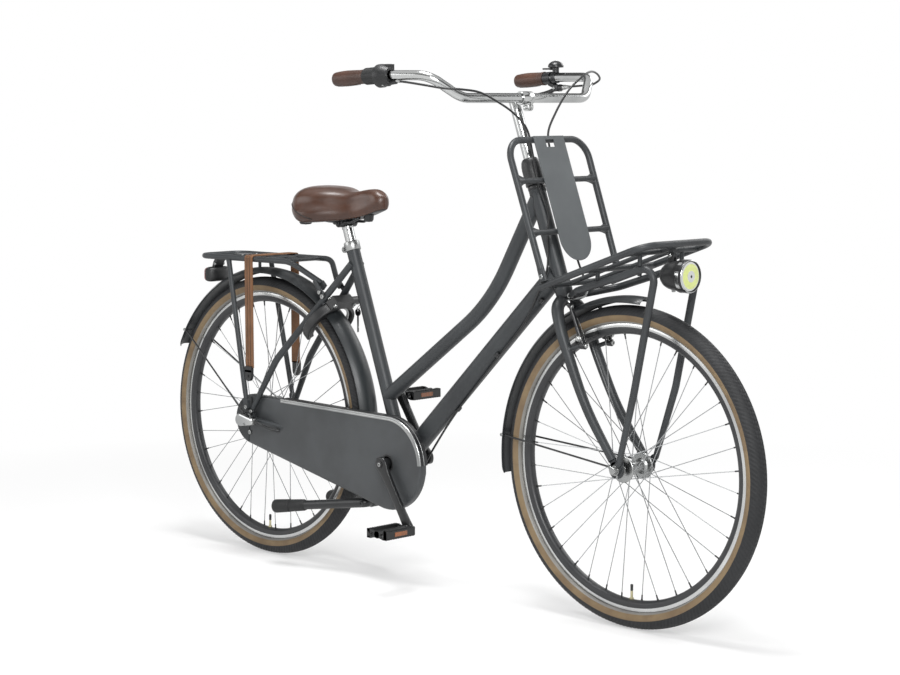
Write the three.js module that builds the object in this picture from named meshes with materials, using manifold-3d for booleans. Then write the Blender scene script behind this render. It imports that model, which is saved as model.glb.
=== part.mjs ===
// Dutch city bike with a front carrier, a closed chain case and a folding centre stand.
// Millimetres, +X forward, +Y to the rider's left, +Z up. While the pieces are made, X = 0 is the
// rear axle and Z = 0 the ground; the last line moves the origin midway between the axles.
import * as THREE from "three";
import { mergeVertices } from "three/addons/utils/BufferGeometryUtils.js";
import Module from "manifold-3d";

const wasm = await Module();
wasm.setup();

// Driving dimensions

// Fits and cuts
const gap = 0.3; // between pieces that touch
const overrun = 4; // how far a cutting tool passes the faces it cuts
const runningGap = 0.5; // radial room round a turning shaft

// Wheels
const axleSpacing = 1205;
const tyreRadius = 357;
const tyreHalfWidth = 23.5;
const treadHalfWidth = 9;
const tyreShoulderShare = 0.42; // height of the tyre's widest line between rim and tread
const beadRadius = 311;
const rimHalfWidth = 12.2;
const rimDepth = 24;
const rimFlangeHeight = 7;
const rimFlangeThickness = 2;
const spokeCount = 36;
const spokeWidth = 1.9;
const spokeThickness = 1.5;
const spokeStep = 0.86; // how far each spoke lies inside or outside its flange's middle
const hubFlangeThickness = 3.4;
const hubFlangeLip = 5; // flange metal outside the spoke holes
const valveRadius = 3.2;
const valveLength = 34;

// Front hub and axle
const frontFlangeRadius = 25;
const frontSpokeCrossing = 62; // degrees from a spoke's rim hole to its hub hole
const frontFlangeHalf = 34;
const frontHubBody = 12.5;
const frontAxleRadius = 4.6;
const frontAxleHalf = 72;
const frontDropoutHalf = 50;

// Rear hub and axle
const rearFlangeRadius = 42;
const rearSpokeCrossing = 57.6;
const rearFlangeHalf = 29;
const rearHubBody = 37;
const rearAxleRadius = 5;
const rearAxleHalf = 86;
const rearDropoutHalf = 67.5;
const nutRadius = 9.5;
const nutLength = 9;
const washerRadius = 11.5;
const washerThickness = 2;

// Frame
const bracketX = 492;
const bracketHeight = 293;
const bracketShellRadius = 21;
const bossReach = 13;
const bridgeRadius = 6.5;
const bracketShellHalf = 34;
const bracketBore = 17.6;
const seatTubeTilt = 19.4; // degrees from the vertical
const seatTubeRadius = 16.6;
const seatTubeLength = 552;
const steeringTilt = 19.7; // degrees from the vertical
const forkOffset = 62.8;
const headTubeBase = 752;
const headTubeTop = 958;
const headTubeRadius = 18.4;
const headTubeWall = 2.6;
const downTubeRadius = 24;
const downTubeTop = 776;
const downTubeNose = 12; // how far the down tube reaches ahead of the steering axis
const topTubeRadius = 17.8;
const topTubeStart = 446;
const topTubeCornerX = 783;
const topTubeCornerHeight = 694;
const topTubeEnd = 944;
const topTubeBend = 450;
const seatStayRadius = 8.6;
const seatStayTop = 764;
const seatStaySpread = 15;
const seatStayKneeX = 90;
const seatStayKneeHeight = 512;
const seatStayKneeSpread = 57;
const seatStayBend = 120;
const chainStayRadius = 8.4;
const chainStaySpread = 27;
const chainStayKneeX = 128;
const chainStayKneeSpread = 48.5;
const chainStayBend = 90;
const dropoutThickness = 6;
const dropoutRadius = 19;
const stayBridgeHeight = 666.5;
const seatpostRadius = 13.4;
const seatpostRise = 33.3; // of the saddle clamp above the seat tube's top
const seatpostInsertion = 190;
const collarRadius = 19.6;
const collarHeight = 21;
const collarLip = 2;
const collarSides = 10;
const carrierBossX = 247;

// Fork, headset and stem
const steererRadius = 14.1;
const crownHeight = 738;
const bladeRadiusTop = 14.2;
const bladeRadiusEnd = 9.6;
const headsetCupRadius = 20.5;
const headsetCupHeight = 9;
const headsetCoverRadius = 23;
const headsetCoverHeight = 72;
const steererRise = 24; // of the steerer inside the cover
const quillRadius = 12.6;
const quillBase = 930;
const barCentreX = 886;
const barHeight = 1163;
const clampRadius = 15.2;
const clampHalf = 18;

// Handlebar and what is on it
const barRadius = 11.1;
const barHalfSpread = 302;
const barEndX = 574;
const barEndRise = 42; // of the grip's end above the bar's middle
const barKneeX = 846;
const barKneeSpread = 290;
const barKneeRise = 58;
const barElbowSpread = 230;
const barKneeBend = 48;
const barElbowBend = 42;
const gripRadius = 15.6;
const gripPalm = 17.4;
const gripLength = 106;
const gripEndWall = 4;
const shifterRingLength = 40;
const shifterRingRadius = 19;
const shifterBodyLength = 34;
const shifterBodyRadius = 24;
const perchLength = 22;
const perchRadius = 15;
const leverDrop = 36;
const leverLength = 118;
const leverBarrelEnd = 46;
const bellRadius = 19;
const bellHeight = 15;
const bellFoot = 12;

// Front carrier
const carrierTubeRadius = 7.6;
const hoopHalfWidth = 131;
const hoopTop = 1070;
const hoopForward = 62; // from the steering axis, square to it
const hoopBase = 792;
const hoopBend = 46;
const upperBarHeight = 981;
const lowerBarHeight = 869;
const crossBarRadius = 6.4;
const platformHalfWidth = 122;
const platformRearX = 1040;
const platformRearHeight = 750;
const platformFrontX = 1334;
const platformFrontHeight = 853;
const platformBend = 40;
const strutRadius = 8.2;
const strutSpread = 71;
const strutKneeX = 1328;
const strutKneeHeight = 812;
const crownPlateHeight = 716;
const crownPlateHalf = 18;
const strutSides = 6;
const strutEyeThickness = 3;
const strutFootForward = 14; // of the strut's lower end from the front axle
const strutFootRise = 16;
const strutLowerForward = 62;
const strutLowerRise = 176;
const strutLowerBend = 200;
const strutKneeBend = 26;
const strutBackBend = 30;
const platformPostRadius = 5;
const strutBackX = 1106;
const strutBackHeight = 744;
const plateHalfWidth = 50;
const plateTopHeight = 1078;
const plateBottomHeight = 804;
const plateThickness = 2.5;
const plateSlotHalf = 14;
const plateSlotHeight = 15;
const plateSlotDrop = 22;

// Headlight
const lampX = 1358;
const lampHeight = 789;
const lampRadius = 33;
const lampLength = 78;
const lampHoodWall = 3;
const lensThickness = 5;
const lampPivotX = 1312;
const lampPivotHeight = 826;
const lampPinRadius = 3;
const lampLugThickness = 6;
const lampCheekThickness = 3.5;
const lampEarHalf = 7;

// Fenders
const fenderRadius = 382;
const frontFenderRadius = 378;
const fenderHalfWidth = 30;
const fenderCrown = 13;
const fenderThickness = 2;
const rearFenderStart = -6.8; // degrees round the rear axle, 0 points forward
const rearFenderEnd = 155;
const frontFenderStart = 84;
const frontFenderEnd = 188;
const fenderWireRadius = 2.2;

// Front rim brake
const brakePivotAngle = 113; // round the front axle
const brakePivotDrop = 24.2; // inwards from the tyre's bead
const brakePivotSpread = 47;
const brakeArmLength = 98;
const brakeArmHalf = 7;
const brakeArmLean = -3; // the arm's top lies this far outside its pivot
const brakeArmKneeShare = 0.45;
const brakePadLength = 62;
const brakePadHeight = 10;
const brakePadRoom = 2.2;
const brakePadDepth = 11;
const brakePadForward = 2;
const brakeArmForward = 9;
const brakeTrackRise = 17; // from the arm's pivot out to the pad's middle, clear of the tyre
const bossRadius = 5;

// Rear carrier and strap
const rackHeight = 763;
const rackHalfWidth = 69;
const rackRearX = -188;
const rackBendX = 134;
const rackTubeRadius = 7;
const rackFrontSpread = 27;
const rackFrontHeight = 712;
const rackCornerBend = 34;
const rackRodRadius = 3;
const rackPostRadius = 4;
const legTopX = -76;
const legBottomX = -4;
const legBottomHeight = 402;
const legRadius = 6.6;
const legFootHalf = 9;
const strapX = 11;
const strapWidth = 30;
const strapThickness = 3;
const strapHookLength = 34;

// Tail light
const tailLightX = -207;
const tailLightHalfWidth = 41;
const tailLightDepth = 30;
const tailLightHeight = 40;
const tailLightTop = 731;

// Chain drive and case
const chainPlane = 47;
const chainringTeeth = 40;
const sprocketTeeth = 20;
const chainPitch = 12.7;
const toothHeight = 3.4;
const chainringThickness = 3;
const chainWidth = 7.4;
const chainThickness = 8;
const driverRadius = 17;
const caseRearRadius = 57;
const caseFrontRadius = 113;
const caseInnerFace = 37;
const caseOuterFace = 59.5;
const caseWall = 1.6;
const stayRoom = 1.2; // between the case and the tubes that pass through it
const caseCrankHole = 17;
const caseAxleHole = 14;
const trimWidth = 9;
const trimThickness = 1.2;
const trimEndX = 108;
const trimLip = 4; // depth of the trim over the inner edge

// Cranks and pedals
const crankLength = 170;
const crankAngle = -57.5; // degrees, of the right crank from forward
const crankInnerFace = 71;
const crankThickness = 13;
const crankEyeRadius = 14;
const crankHubRadius = 18;
const spindleRadius = 8.5;
const pedalAxleRadius = 5;
const pedalGap = 5;
const pedalLength = 94;
const pedalWidth = 66;
const pedalHeight = 22;
const pedalRail = 10;
const pedalCore = 9.5;

// Saddle
const saddleNoseX = 440;
const saddleRearX = 172;
const saddleHalfWidth = 104;
const saddleNoseHalf = 24;
const saddleLift = 17; // of the rear lower edge above the clamp
const saddleDepth = 90; // from that edge up to the top line
const saddleEdgeClimb = 34; // of the lower edge, from rear to nose
const saddleBaseThickness = 4;
const shellStart = 0.13;
const shellEnd = 0.93;
const railLift = 3;
const railRadius = 3.5;
const railSpread = 22;

// Ring lock
const lockAngle = 48.5; // degrees round the rear axle
const lockRadius = 338; // ring centre from the rear axle
const shackleRing = 56;
const shackleRadius = 4;
const shackleRoom = 1.2;
const lockThickness = 26;
const lockBossHeight = 667;
const lockWall = 13;
const lockBarrelRadius = 10;
const lockBarrelReach = 62;
const keyBow = 11;
const keyThickness = 2.4;
const keyNeck = 14;

// Centre stand
const standPivotX = 394;
const standPivotHeight = 183;
const standTubeRadius = 8;
const standLegRadius = 11.5;
const standLegSpread = 42;
const standFootX = 112;
const standFootHeight = 148;
const standFootSpread = 82;
const standFootRadius = 15;
const standFootLength = 62;
const standEyeHalf = 16;
const standEyeWall = 5;
const standPlateHalf = 26;
const standPlateThickness = 8;

// Cables
const cableRadius = 2.5;
const cableRoom = 0.8;
const shiftBoxFront = 50;
const shiftBoxY = -98;
const shiftBoxThickness = 22;

// Places worked out from the driving dimensions
const degree = Math.PI / 180;
const axleHeight = tyreRadius;
const frontAxleX = axleSpacing;
const steerTan = Math.tan(steeringTilt * degree);
const steerCos = Math.cos(steeringTilt * degree);
const steerSin = Math.sin(steeringTilt * degree);
const seatTan = Math.tan(seatTubeTilt * degree);
const seatCos = Math.cos(seatTubeTilt * degree);
const rimInnerRadius = beadRadius + rimFlangeHeight - rimDepth;
const lathSteps = spokeCount;
const barEndHeight = barHeight + barEndRise;
const barKneeHeight = barHeight + barKneeRise;
const brakePivotReach = beadRadius - brakePivotDrop;
const brakePivotX = frontAxleX + brakePivotReach * Math.cos(brakePivotAngle * degree);
const brakePivotHeight = axleHeight + brakePivotReach * Math.sin(brakePivotAngle * degree);

// The ring lock's plane holds the wheel's radius and the axle's direction.
const lockOut = at(Math.cos(lockAngle * degree), 0, Math.sin(lockAngle * degree));
const lockNormal = at(-lockOut.z, 0, lockOut.x);
const lockCentre = at(0, 0, axleHeight).addScaledVector(lockOut, lockRadius);

// The steering axis's place at a height.
function steerX(height) {
  return frontAxleX - forkOffset / steerCos - (height - axleHeight) * steerTan;
}

// The fenders' arcs round their axles, in degrees.
const frontFenderArc = { radius: frontFenderRadius, from: frontFenderStart, to: frontFenderEnd, steps: 10 };
const rearFenderArc = { radius: fenderRadius, from: rearFenderStart, to: rearFenderEnd, steps: 15 };

// The seat tube axis's place at a height.
function seatX(height) {
  return bracketX - (height - bracketHeight) * seatTan;
}

function at(x, y, z) {
  return new THREE.Vector3(x, y, z);
}

// A point beside the steering axis: a height on the axis, then how far forward and to the left.
function bySteering(height, forward, left) {
  const alongX = steerX(height) + forward * steerCos;
  return at(alongX, left, height + forward * steerSin);
}

// Solids

// A closed mesh as a solid for joining and cutting.
function solid(geometry) {
  const bare = geometry.index ? geometry.toNonIndexed() : geometry.clone();
  bare.deleteAttribute("normal");
  bare.deleteAttribute("uv");
  const merged = mergeVertices(bare, 1e-4);
  const mesh = new wasm.Mesh({
    numProp: 3,
    vertProperties: new Float32Array(merged.attributes.position.array),
    triVerts: new Uint32Array(merged.index.array),
  });
  return new wasm.Manifold(mesh);
}

// A solid as a flat-shaded geometry.
function geometryOf(body) {
  const mesh = body.getMesh();
  const geometry = new THREE.BufferGeometry();
  const places = new Float32Array(mesh.numVert * 3);
  for (let i = 0; i < mesh.numVert; i++) {
    places.set(mesh.vertProperties.subarray(i * mesh.numProp, i * mesh.numProp + 3), i * 3);
  }
  geometry.setAttribute("position", new THREE.BufferAttribute(places, 3));
  geometry.setIndex(new THREE.BufferAttribute(new Uint32Array(mesh.triVerts), 1));
  const faceted = geometry.toNonIndexed();
  faceted.computeVertexNormals();
  return faceted;
}

function join(geometries) {
  return geometries.map(solid).reduce((whole, next) => whole.add(next));
}

function cutFrom(body, tools) {
  return tools.map(solid).reduce((left, tool) => left.subtract(tool), body);
}

// A cylinder between two points.
function rod(from, to, radius, sides = 12) {
  const length = from.distanceTo(to);
  const geometry = new THREE.CylinderGeometry(radius, radius, length, sides);
  geometry.rotateY(Math.PI / sides);
  const turn = new THREE.Quaternion();
  turn.setFromUnitVectors(at(0, 1, 0), to.clone().sub(from).normalize());
  geometry.applyQuaternion(turn);
  const middle = from.clone().add(to).multiplyScalar(1 / 2);
  return geometry.translate(middle.x, middle.y, middle.z);
}

// The radius of a many-sided hole that clears a shaft all round.
function holeRadius(shaftRadius, room, sides) {
  return (shaftRadius + room) / Math.cos(Math.PI / sides);
}

// A cylinder across the bike, from one y to another.
function crossRod(x, z, fromY, toY, radius, sides = 16) {
  return rod(at(x, fromY, z), at(x, toY, z), radius, sides);
}

function block(low, high) {
  const size = high.clone().sub(low);
  const middle = low.clone().add(high).multiplyScalar(1 / 2);
  return new THREE.BoxGeometry(size.x, size.y, size.z).translate(middle.x, middle.y, middle.z);
}

// A closed profile's points, in the order that makes its surface of revolution face outwards.
function outwardProfile(profile) {
  const points = profile.map(([radius, along]) => new THREE.Vector2(radius, along));
  if (THREE.ShapeUtils.area(points) < 0) points.reverse();
  points.push(points[0].clone());
  return points;
}

// A three-sided bar between two points, with its flat side facing a given way.
function spokeBar(from, to, flatWay) {
  const along = to.clone().sub(from);
  const length = along.length();
  along.normalize();
  const sideways = along.clone().cross(flatWay).normalize();
  const facing = sideways.clone().cross(along);
  const shape = shapeOf([
    [-spokeWidth / 2, spokeThickness / 2],
    [0, -spokeThickness / 2],
    [spokeWidth / 2, spokeThickness / 2],
  ]);
  const geometry = new THREE.ExtrudeGeometry(shape, { depth: length, bevelEnabled: false });
  const frame = new THREE.Matrix4().makeBasis(sideways, facing, along.clone());
  if (frame.determinant() < 0) frame.makeBasis(sideways.negate(), facing, along);
  return geometry.applyMatrix4(frame.setPosition(from));
}

// A surface of revolution about the line across the bike through x, z. Profile: [radius, y] pairs.
function turned(profile, x, z, steps = lathSteps) {
  return new THREE.LatheGeometry(outwardProfile(profile), steps).translate(x, 0, z);
}

// A turned shape on an axis between a base point and a direction. Profile: [radius, distance] pairs.
function turnedOn(base, direction, profile, steps = 20) {
  const geometry = new THREE.LatheGeometry(outwardProfile(profile), steps);
  const turn = new THREE.Quaternion();
  turn.setFromUnitVectors(at(0, 1, 0), direction.clone().normalize());
  return geometry.applyQuaternion(turn).translate(base.x, base.y, base.z);
}

// A path of straight runs with round bends at its corners. It hands out its own stations, so that
// a tube spends its rings on the bends.
class BentPath extends THREE.Curve {
  constructor(corners, radii, stepsPerBend = 5) {
    super();
    this.stations = [];
    this.tangents = [];
    const last = corners.length - 1;
    const first = corners[1].clone().sub(corners[0]).normalize();
    this.add(corners[0], first);
    for (let i = 1; i < last; i++) {
      const before = corners[i - 1].clone().sub(corners[i]).normalize();
      const after = corners[i + 1].clone().sub(corners[i]).normalize();
      const half = before.angleTo(after) / 2;
      const reach = radii[i - 1] / Math.tan(half);
      const centre = before.clone().add(after).normalize();
      centre.multiplyScalar(radii[i - 1] / Math.sin(half)).add(corners[i]);
      const start = before.clone().multiplyScalar(reach).add(corners[i]).sub(centre);
      const axis = before.clone().cross(after).normalize().negate();
      const sweep = Math.PI - 2 * half;
      for (let step = 0; step <= stepsPerBend; step++) {
        const angle = (sweep * step) / stepsPerBend;
        const place = start.clone().applyAxisAngle(axis, angle).add(centre);
        this.add(place, before.clone().negate().applyAxisAngle(axis, angle));
      }
    }
    this.add(corners[last], corners[last].clone().sub(corners[last - 1]).normalize());
  }
  add(place, tangent) {
    this.stations.push(place.clone());
    this.tangents.push(tangent.clone());
  }
  get steps() {
    return this.stations.length - 1;
  }
  getPointAt(share) {
    return this.stations[Math.round(share * this.steps)].clone();
  }
  getTangentAt(share) {
    return this.tangents[Math.round(share * this.steps)].clone();
  }
  getPoint(share) {
    return this.getPointAt(share);
  }
  getLengths() {
    return this.stations.map((place, i) => i);
  }
}

function circleSection(radius, sides) {
  const shape = new THREE.Shape();
  for (let i = 0; i < sides; i++) {
    const angle = (2 * Math.PI * (i + 1 / 2)) / sides;
    const place = [radius * Math.cos(angle), radius * Math.sin(angle)];
    if (i) shape.lineTo(...place);
    else shape.moveTo(...place);
  }
  shape.closePath();
  return shape;
}

// A round tube, solid inside, along a bent path.
function bentTube(corners, radii, radius, sides = 10, stepsPerBend = 5) {
  const path = new BentPath(corners, radii, stepsPerBend);
  const options = { steps: path.steps, extrudePath: path, curveSegments: 1 };
  return new THREE.ExtrudeGeometry(circleSection(radius, sides), options);
}

// A round tube along a smooth curve through points. It narrows evenly to its end radius.
function curvedTube(points, steps, startRadius, endRadius = startRadius, sides = 10) {
  const path = new THREE.CatmullRomCurve3(points, false, "centripetal");
  const options = { steps, extrudePath: path, curveSegments: 1 };
  const geometry = new THREE.ExtrudeGeometry(circleSection(startRadius, sides), options);
  if (endRadius === startRadius) return geometry;
  const stations = path.getSpacedPoints(steps);
  const places = geometry.getAttribute("position");
  const place = new THREE.Vector3();
  for (let i = 0; i < places.count; i++) {
    place.fromBufferAttribute(places, i);
    let nearest = 0;
    stations.forEach((station, k) => {
      if (station.distanceTo(place) < stations[nearest].distanceTo(place)) nearest = k;
    });
    const scale = 1 + ((endRadius / startRadius - 1) * nearest) / steps;
    place.sub(stations[nearest]).multiplyScalar(scale).add(stations[nearest]);
    places.setXYZ(i, place.x, place.y, place.z);
  }
  return geometry;
}

// A flat plate in the bike's side plane: an outline in x, z pushed from one y to another.
function sidePlate(shape, fromY, toY, curveSegments = 10) {
  const depth = Math.abs(toY - fromY);
  const geometry = new THREE.ExtrudeGeometry(shape, { depth, bevelEnabled: false, curveSegments });
  geometry.rotateX(Math.PI / 2);
  return geometry.translate(0, Math.max(fromY, toY), 0);
}

// The outline round two circles, as a pulley belt lies on them.
function beltShape(xA, zA, radiusA, xB, zB, radiusB, segments = 16) {
  const distance = Math.hypot(xB - xA, zB - zA);
  const heading = Math.atan2(zB - zA, xB - xA);
  const lean = Math.acos((radiusA - radiusB) / distance);
  const points = [];
  for (let i = 0; i <= segments; i++) {
    const angle = heading + lean + ((2 * Math.PI - 2 * lean) * i) / segments;
    points.push([xA + radiusA * Math.cos(angle), zA + radiusA * Math.sin(angle)]);
  }
  for (let i = 0; i <= segments; i++) {
    const angle = heading - lean + (2 * lean * i) / segments;
    points.push([xB + radiusB * Math.cos(angle), zB + radiusB * Math.sin(angle)]);
  }
  return points;
}

function shapeOf(points) {
  const shape = new THREE.Shape();
  points.forEach(([x, y], i) => (i ? shape.lineTo(x, y) : shape.moveTo(x, y)));
  shape.closePath();
  return shape;
}

// Finishes
const finishes = {
  frame: { color: 0x4a5257, roughness: 0.55, metalness: 0.3 },
  chrome: { color: 0xc9ccce, roughness: 0.18, metalness: 1 },
  alloy: { color: 0xaeb1b3, roughness: 0.35, metalness: 0.9 },
  black: { color: 0x17181a, roughness: 0.5, metalness: 0.1 },
  blackMetal: { color: 0x202224, roughness: 0.4, metalness: 0.5 },
  rubber: { color: 0x1b1b1c, roughness: 0.85, metalness: 0 },
  leather: { color: 0x5b4034, roughness: 0.6, metalness: 0 },
  strap: { color: 0x7a4a2c, roughness: 0.8, metalness: 0 },
  lens: { color: 0xdfe7b0, roughness: 0.1, metalness: 0 },
  chain: { color: 0x5c554c, roughness: 0.45, metalness: 0.8 },
};

const bike = new THREE.Group();

function addPiece(name, geometry, finish) {
  const mesh = new THREE.Mesh(geometry, new THREE.MeshStandardMaterial(finishes[finish]));
  mesh.name = name;
  bike.add(mesh);
  return mesh;
}

function addSolid(name, body, finish) {
  return addPiece(name, geometryOf(body), finish);
}

// Wheels

// A tyre filled to the rim bed, as a closed ring.
function tyreProfile() {
  const beadHalf = rimHalfWidth - rimFlangeThickness - gap;
  const bead = beadRadius + gap;
  const lip = beadRadius + rimFlangeHeight + gap;
  const height = tyreRadius - lip;
  const right = [
    [bead, beadHalf],
    [lip, beadHalf],
    [lip + height * tyreShoulderShare, tyreHalfWidth],
    [tyreRadius, treadHalfWidth],
  ];
  const left = right.map(([radius, y]) => [radius, -y]).reverse();
  return [...right, ...left];
}

// A box-section rim with two brake tracks and a bed for the tyre.
function rimProfile() {
  const flangeTop = beadRadius + rimFlangeHeight;
  const bed = rimHalfWidth - rimFlangeThickness;
  const track = flangeTop - rimDepth / 2;
  const half = [
    [rimInnerRadius, rimHalfWidth / 2],
    [track - rimFlangeHeight, rimHalfWidth],
    [flangeTop, rimHalfWidth],
    [beadRadius, bed],
  ];
  const mirrored = half.map(([radius, y]) => [radius, -y]).reverse();
  return [...half, ...mirrored];
}

// The hub shell with its spokes laced over three others on each side.
function spokedHub(axleX, hub, phase) {
  const lip = hub.flange + hubFlangeLip;
  const inner = hub.half - hubFlangeThickness;
  const end = hub.half + hub.nose;
  const right = [
    [hub.bore, end],
    [hub.body * hub.noseShare, end],
    [hub.body * hub.noseShare, hub.half],
    [lip, hub.half],
    [lip, inner],
    [hub.body, inner - hub.taper],
  ];
  const left = right.map(([radius, y]) => [radius, -y]).reverse();
  const shell = turned([...right, ...left], 0, 0, hub.steps).rotateY(-phase);
  shell.translate(axleX, 0, axleHeight);
  const reach = rimInnerRadius * Math.cos(Math.PI / lathSteps) - gap;
  const spokes = [];
  for (let i = 0; i < spokeCount; i++) {
    const side = i % 2 ? 1 : -1;
    const trailing = Math.floor(i / 2) % 2 ? 1 : -1;
    const rimAngle = phase + (2 * Math.PI * i) / spokeCount;
    const hubAngle = rimAngle + trailing * hub.crossing * degree;
    const flangeY = side * (hub.half - hubFlangeThickness / 2) + side * trailing * spokeStep;
    const rimY = (side * rimHalfWidth) / 4 + side * trailing * spokeStep;
    const from = at(
      axleX + hub.flange * Math.cos(hubAngle),
      flangeY,
      axleHeight + hub.flange * Math.sin(hubAngle),
    );
    const to = at(
      axleX + reach * Math.cos(rimAngle),
      rimY,
      axleHeight + reach * Math.sin(rimAngle),
    );
    spokes.push(spokeBar(from, to, at(0, -side * trailing, 0)));
  }
  return join([shell, ...spokes]);
}

function addWheel(prefix, axleX, hub, phase, valveAngle) {
  addPiece(prefix + "_tyre", turned(tyreProfile(), axleX, axleHeight), "rubber");
  const valveFrom = rimInnerRadius + rimDepth / 4;
  const valveTo = rimInnerRadius - valveLength;
  const along = at(Math.cos(valveAngle), 0, Math.sin(valveAngle));
  const centre = at(axleX, 0, axleHeight);
  const valve = rod(
    centre.clone().addScaledVector(along, valveFrom),
    centre.clone().addScaledVector(along, valveTo),
    valveRadius,
    6,
  );
  const rim = turned(rimProfile(), axleX, axleHeight);
  addSolid(prefix + "_rim", join([rim, valve]), "alloy");
  addSolid(prefix + "_hub", spokedHub(axleX, hub, phase), "alloy");
}

const frontHub = {
  flange: frontFlangeRadius,
  half: frontFlangeHalf,
  body: frontHubBody,
  bore: frontAxleRadius + runningGap,
  nose: 7,
  noseShare: 0.8,
  taper: 6,
  crossing: frontSpokeCrossing,
  steps: spokeCount / 3,
};
const rearHub = {
  flange: rearFlangeRadius,
  half: rearFlangeHalf,
  body: rearHubBody,
  bore: rearAxleRadius + runningGap,
  nose: 9,
  noseShare: 0.55,
  taper: 5,
  crossing: rearSpokeCrossing,
  steps: spokeCount / 3,
};
const spokePitch = (2 * Math.PI) / spokeCount;
const lockPhase = lockAngle * degree + spokePitch / 2;
const rearValveAngle = lockPhase - Math.round((lockPhase + Math.PI / 2) / spokePitch) * spokePitch;
addWheel("front", frontAxleX, frontHub, spokePitch / 2, -9 * spokePitch);
addWheel("rear", 0, rearHub, lockPhase, rearValveAngle - spokePitch / 2);

// An axle with a washer and a nut outside each dropout.
function axleWithNuts(axleX, radius, half, dropoutOuter, steps) {
  const pieces = [crossRod(axleX, axleHeight, -half, half, radius, steps)];
  [-1, 1].forEach((side) => {
    const face = dropoutOuter + gap;
    const seat = face + washerThickness;
    pieces.push(crossRod(axleX, axleHeight, side * face, side * seat, washerRadius, 10));
    pieces.push(crossRod(axleX, axleHeight, side * seat, side * (seat + nutLength), nutRadius, 6));
  });
  return join(pieces);
}

// Frame

// A dropout plate with an axle slot that opens downwards and forwards.
function dropoutPlate(axleX, side, innerFace, axleRadius, arms) {
  const slotHalf = axleRadius + gap;
  const outline = new THREE.Shape();
  outline.absarc(axleX, axleHeight, dropoutRadius, 0, 2 * Math.PI);
  const outer = innerFace + dropoutThickness;
  const plate = join([
    sidePlate(outline, side * innerFace, side * outer, 5),
    ...arms.map((end) => {
      const direction = end.clone().sub(at(axleX, end.y, axleHeight));
      const length = direction.length();
      const arm = new THREE.BoxGeometry(length, dropoutThickness, dropoutRadius);
      arm.translate(length / 2, 0, 0);
      arm.rotateY(-Math.atan2(direction.z, direction.x));
      return arm.translate(axleX, (side * (innerFace + outer)) / 2, axleHeight);
    }),
  ]);
  const slot = block(
    at(axleX - slotHalf, -outer - overrun, axleHeight - dropoutRadius - overrun),
    at(axleX + slotHalf, outer + overrun, axleHeight),
  );
  const eye = crossRod(axleX, axleHeight, -outer - overrun, outer + overrun, holeRadius(axleRadius, gap, 8), 8);
  return cutFrom(plate, [slot, eye]);
}

const seatTubeTopHeight = bracketHeight + seatTubeLength * seatCos;
const seatAxis = at(seatX(seatTubeTopHeight) - bracketX, 0, seatTubeTopHeight - bracketHeight).normalize();
const bracketCentre = at(bracketX, 0, bracketHeight);
const seatTubeTopPoint = at(seatX(seatTubeTopHeight), 0, seatTubeTopHeight);
const seatpostTop = seatTubeTopHeight + seatpostRise;
const steerAxis = at(-steerSin, 0, steerCos);

function seatPoint(height) {
  return at(seatX(height), 0, height);
}

function steerPoint(height) {
  return at(steerX(height), 0, height);
}

// Half the head tube's section, with the headset's cups at both ends.
function headTubeProfile() {
  const bore = headTubeRadius - headTubeWall;
  const length = (headTubeTop - headTubeBase) / steerCos;
  return [
    [bore, -headsetCupHeight],
    [headsetCupRadius, -headsetCupHeight],
    [headsetCupRadius, 0],
    [headTubeRadius, gap],
    [headTubeRadius, length - gap],
    [headsetCupRadius, length],
    [headsetCupRadius, length + headsetCupHeight],
    [bore, length + headsetCupHeight],
  ];
}

// The bore through the head tube, and the room for the fork's crown below it.
function headBores() {
  const low = steerPoint(headTubeBase - headsetCupHeight);
  const lowest = steerPoint(headTubeBase - downTubeRadius * 2);
  const high = steerPoint(headTubeTop + overrun);
  return [
    rod(low, high, headTubeRadius - headTubeWall, 12),
    rod(lowest, low, headsetCupRadius + headTubeWall, 12),
  ];
}

function mainFrame() {
  const topTube = bentTube(
    [
      seatPoint(topTubeStart),
      at(topTubeCornerX, 0, topTubeCornerHeight),
      steerPoint(topTubeEnd),
    ],
    [topTubeBend],
    topTubeRadius,
    12,
    3,
  );
  const pieces = [
    rod(bracketCentre, seatTubeTopPoint, seatTubeRadius, 10),
    crossRod(bracketX, bracketHeight, -bracketShellHalf, bracketShellHalf, bracketShellRadius, 12),
    topTube,
  ];
  const postBase = seatTubeTopPoint.clone().addScaledVector(seatAxis, -seatpostInsertion - overrun);
  const postMouth = seatTubeTopPoint.clone().addScaledVector(seatAxis, overrun);
  const big = axleSpacing;
  const ahead = block(at(downTubeNose, -big, -big), at(big, big, big));
  ahead.rotateY(-steeringTilt * degree).translate(steerX(downTubeTop), 0, downTubeTop);
  const down = rod(bracketCentre, steerPoint(downTubeTop), downTubeRadius, 12);
  const shellOver = bracketShellHalf + overrun;
  const tubes = join(pieces).add(cutFrom(solid(down), [ahead]));
  const head = solid(turnedOn(steerPoint(headTubeBase), steerAxis, headTubeProfile(), 14));
  return cutFrom(cutFrom(tubes, headBores()).add(head), [
    rod(postBase, postMouth, holeRadius(seatpostRadius, gap, 10), 10),
    crossRod(bracketX, bracketHeight, -shellOver, shellOver, bracketBore, 12),
  ]);
}

function seatStayCorners(side) {
  const top = seatPoint(seatStayTop);
  const rootX = top.x;
  const knee = at(seatStayKneeX, side * seatStayKneeSpread, seatStayKneeHeight);
  const end = at(dropoutRadius * 0.7, side * (rearDropoutHalf + dropoutThickness / 2), axleHeight + dropoutRadius * 1.4);
  return [at(rootX, side * seatStaySpread, seatStayTop), knee, end];
}

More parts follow.
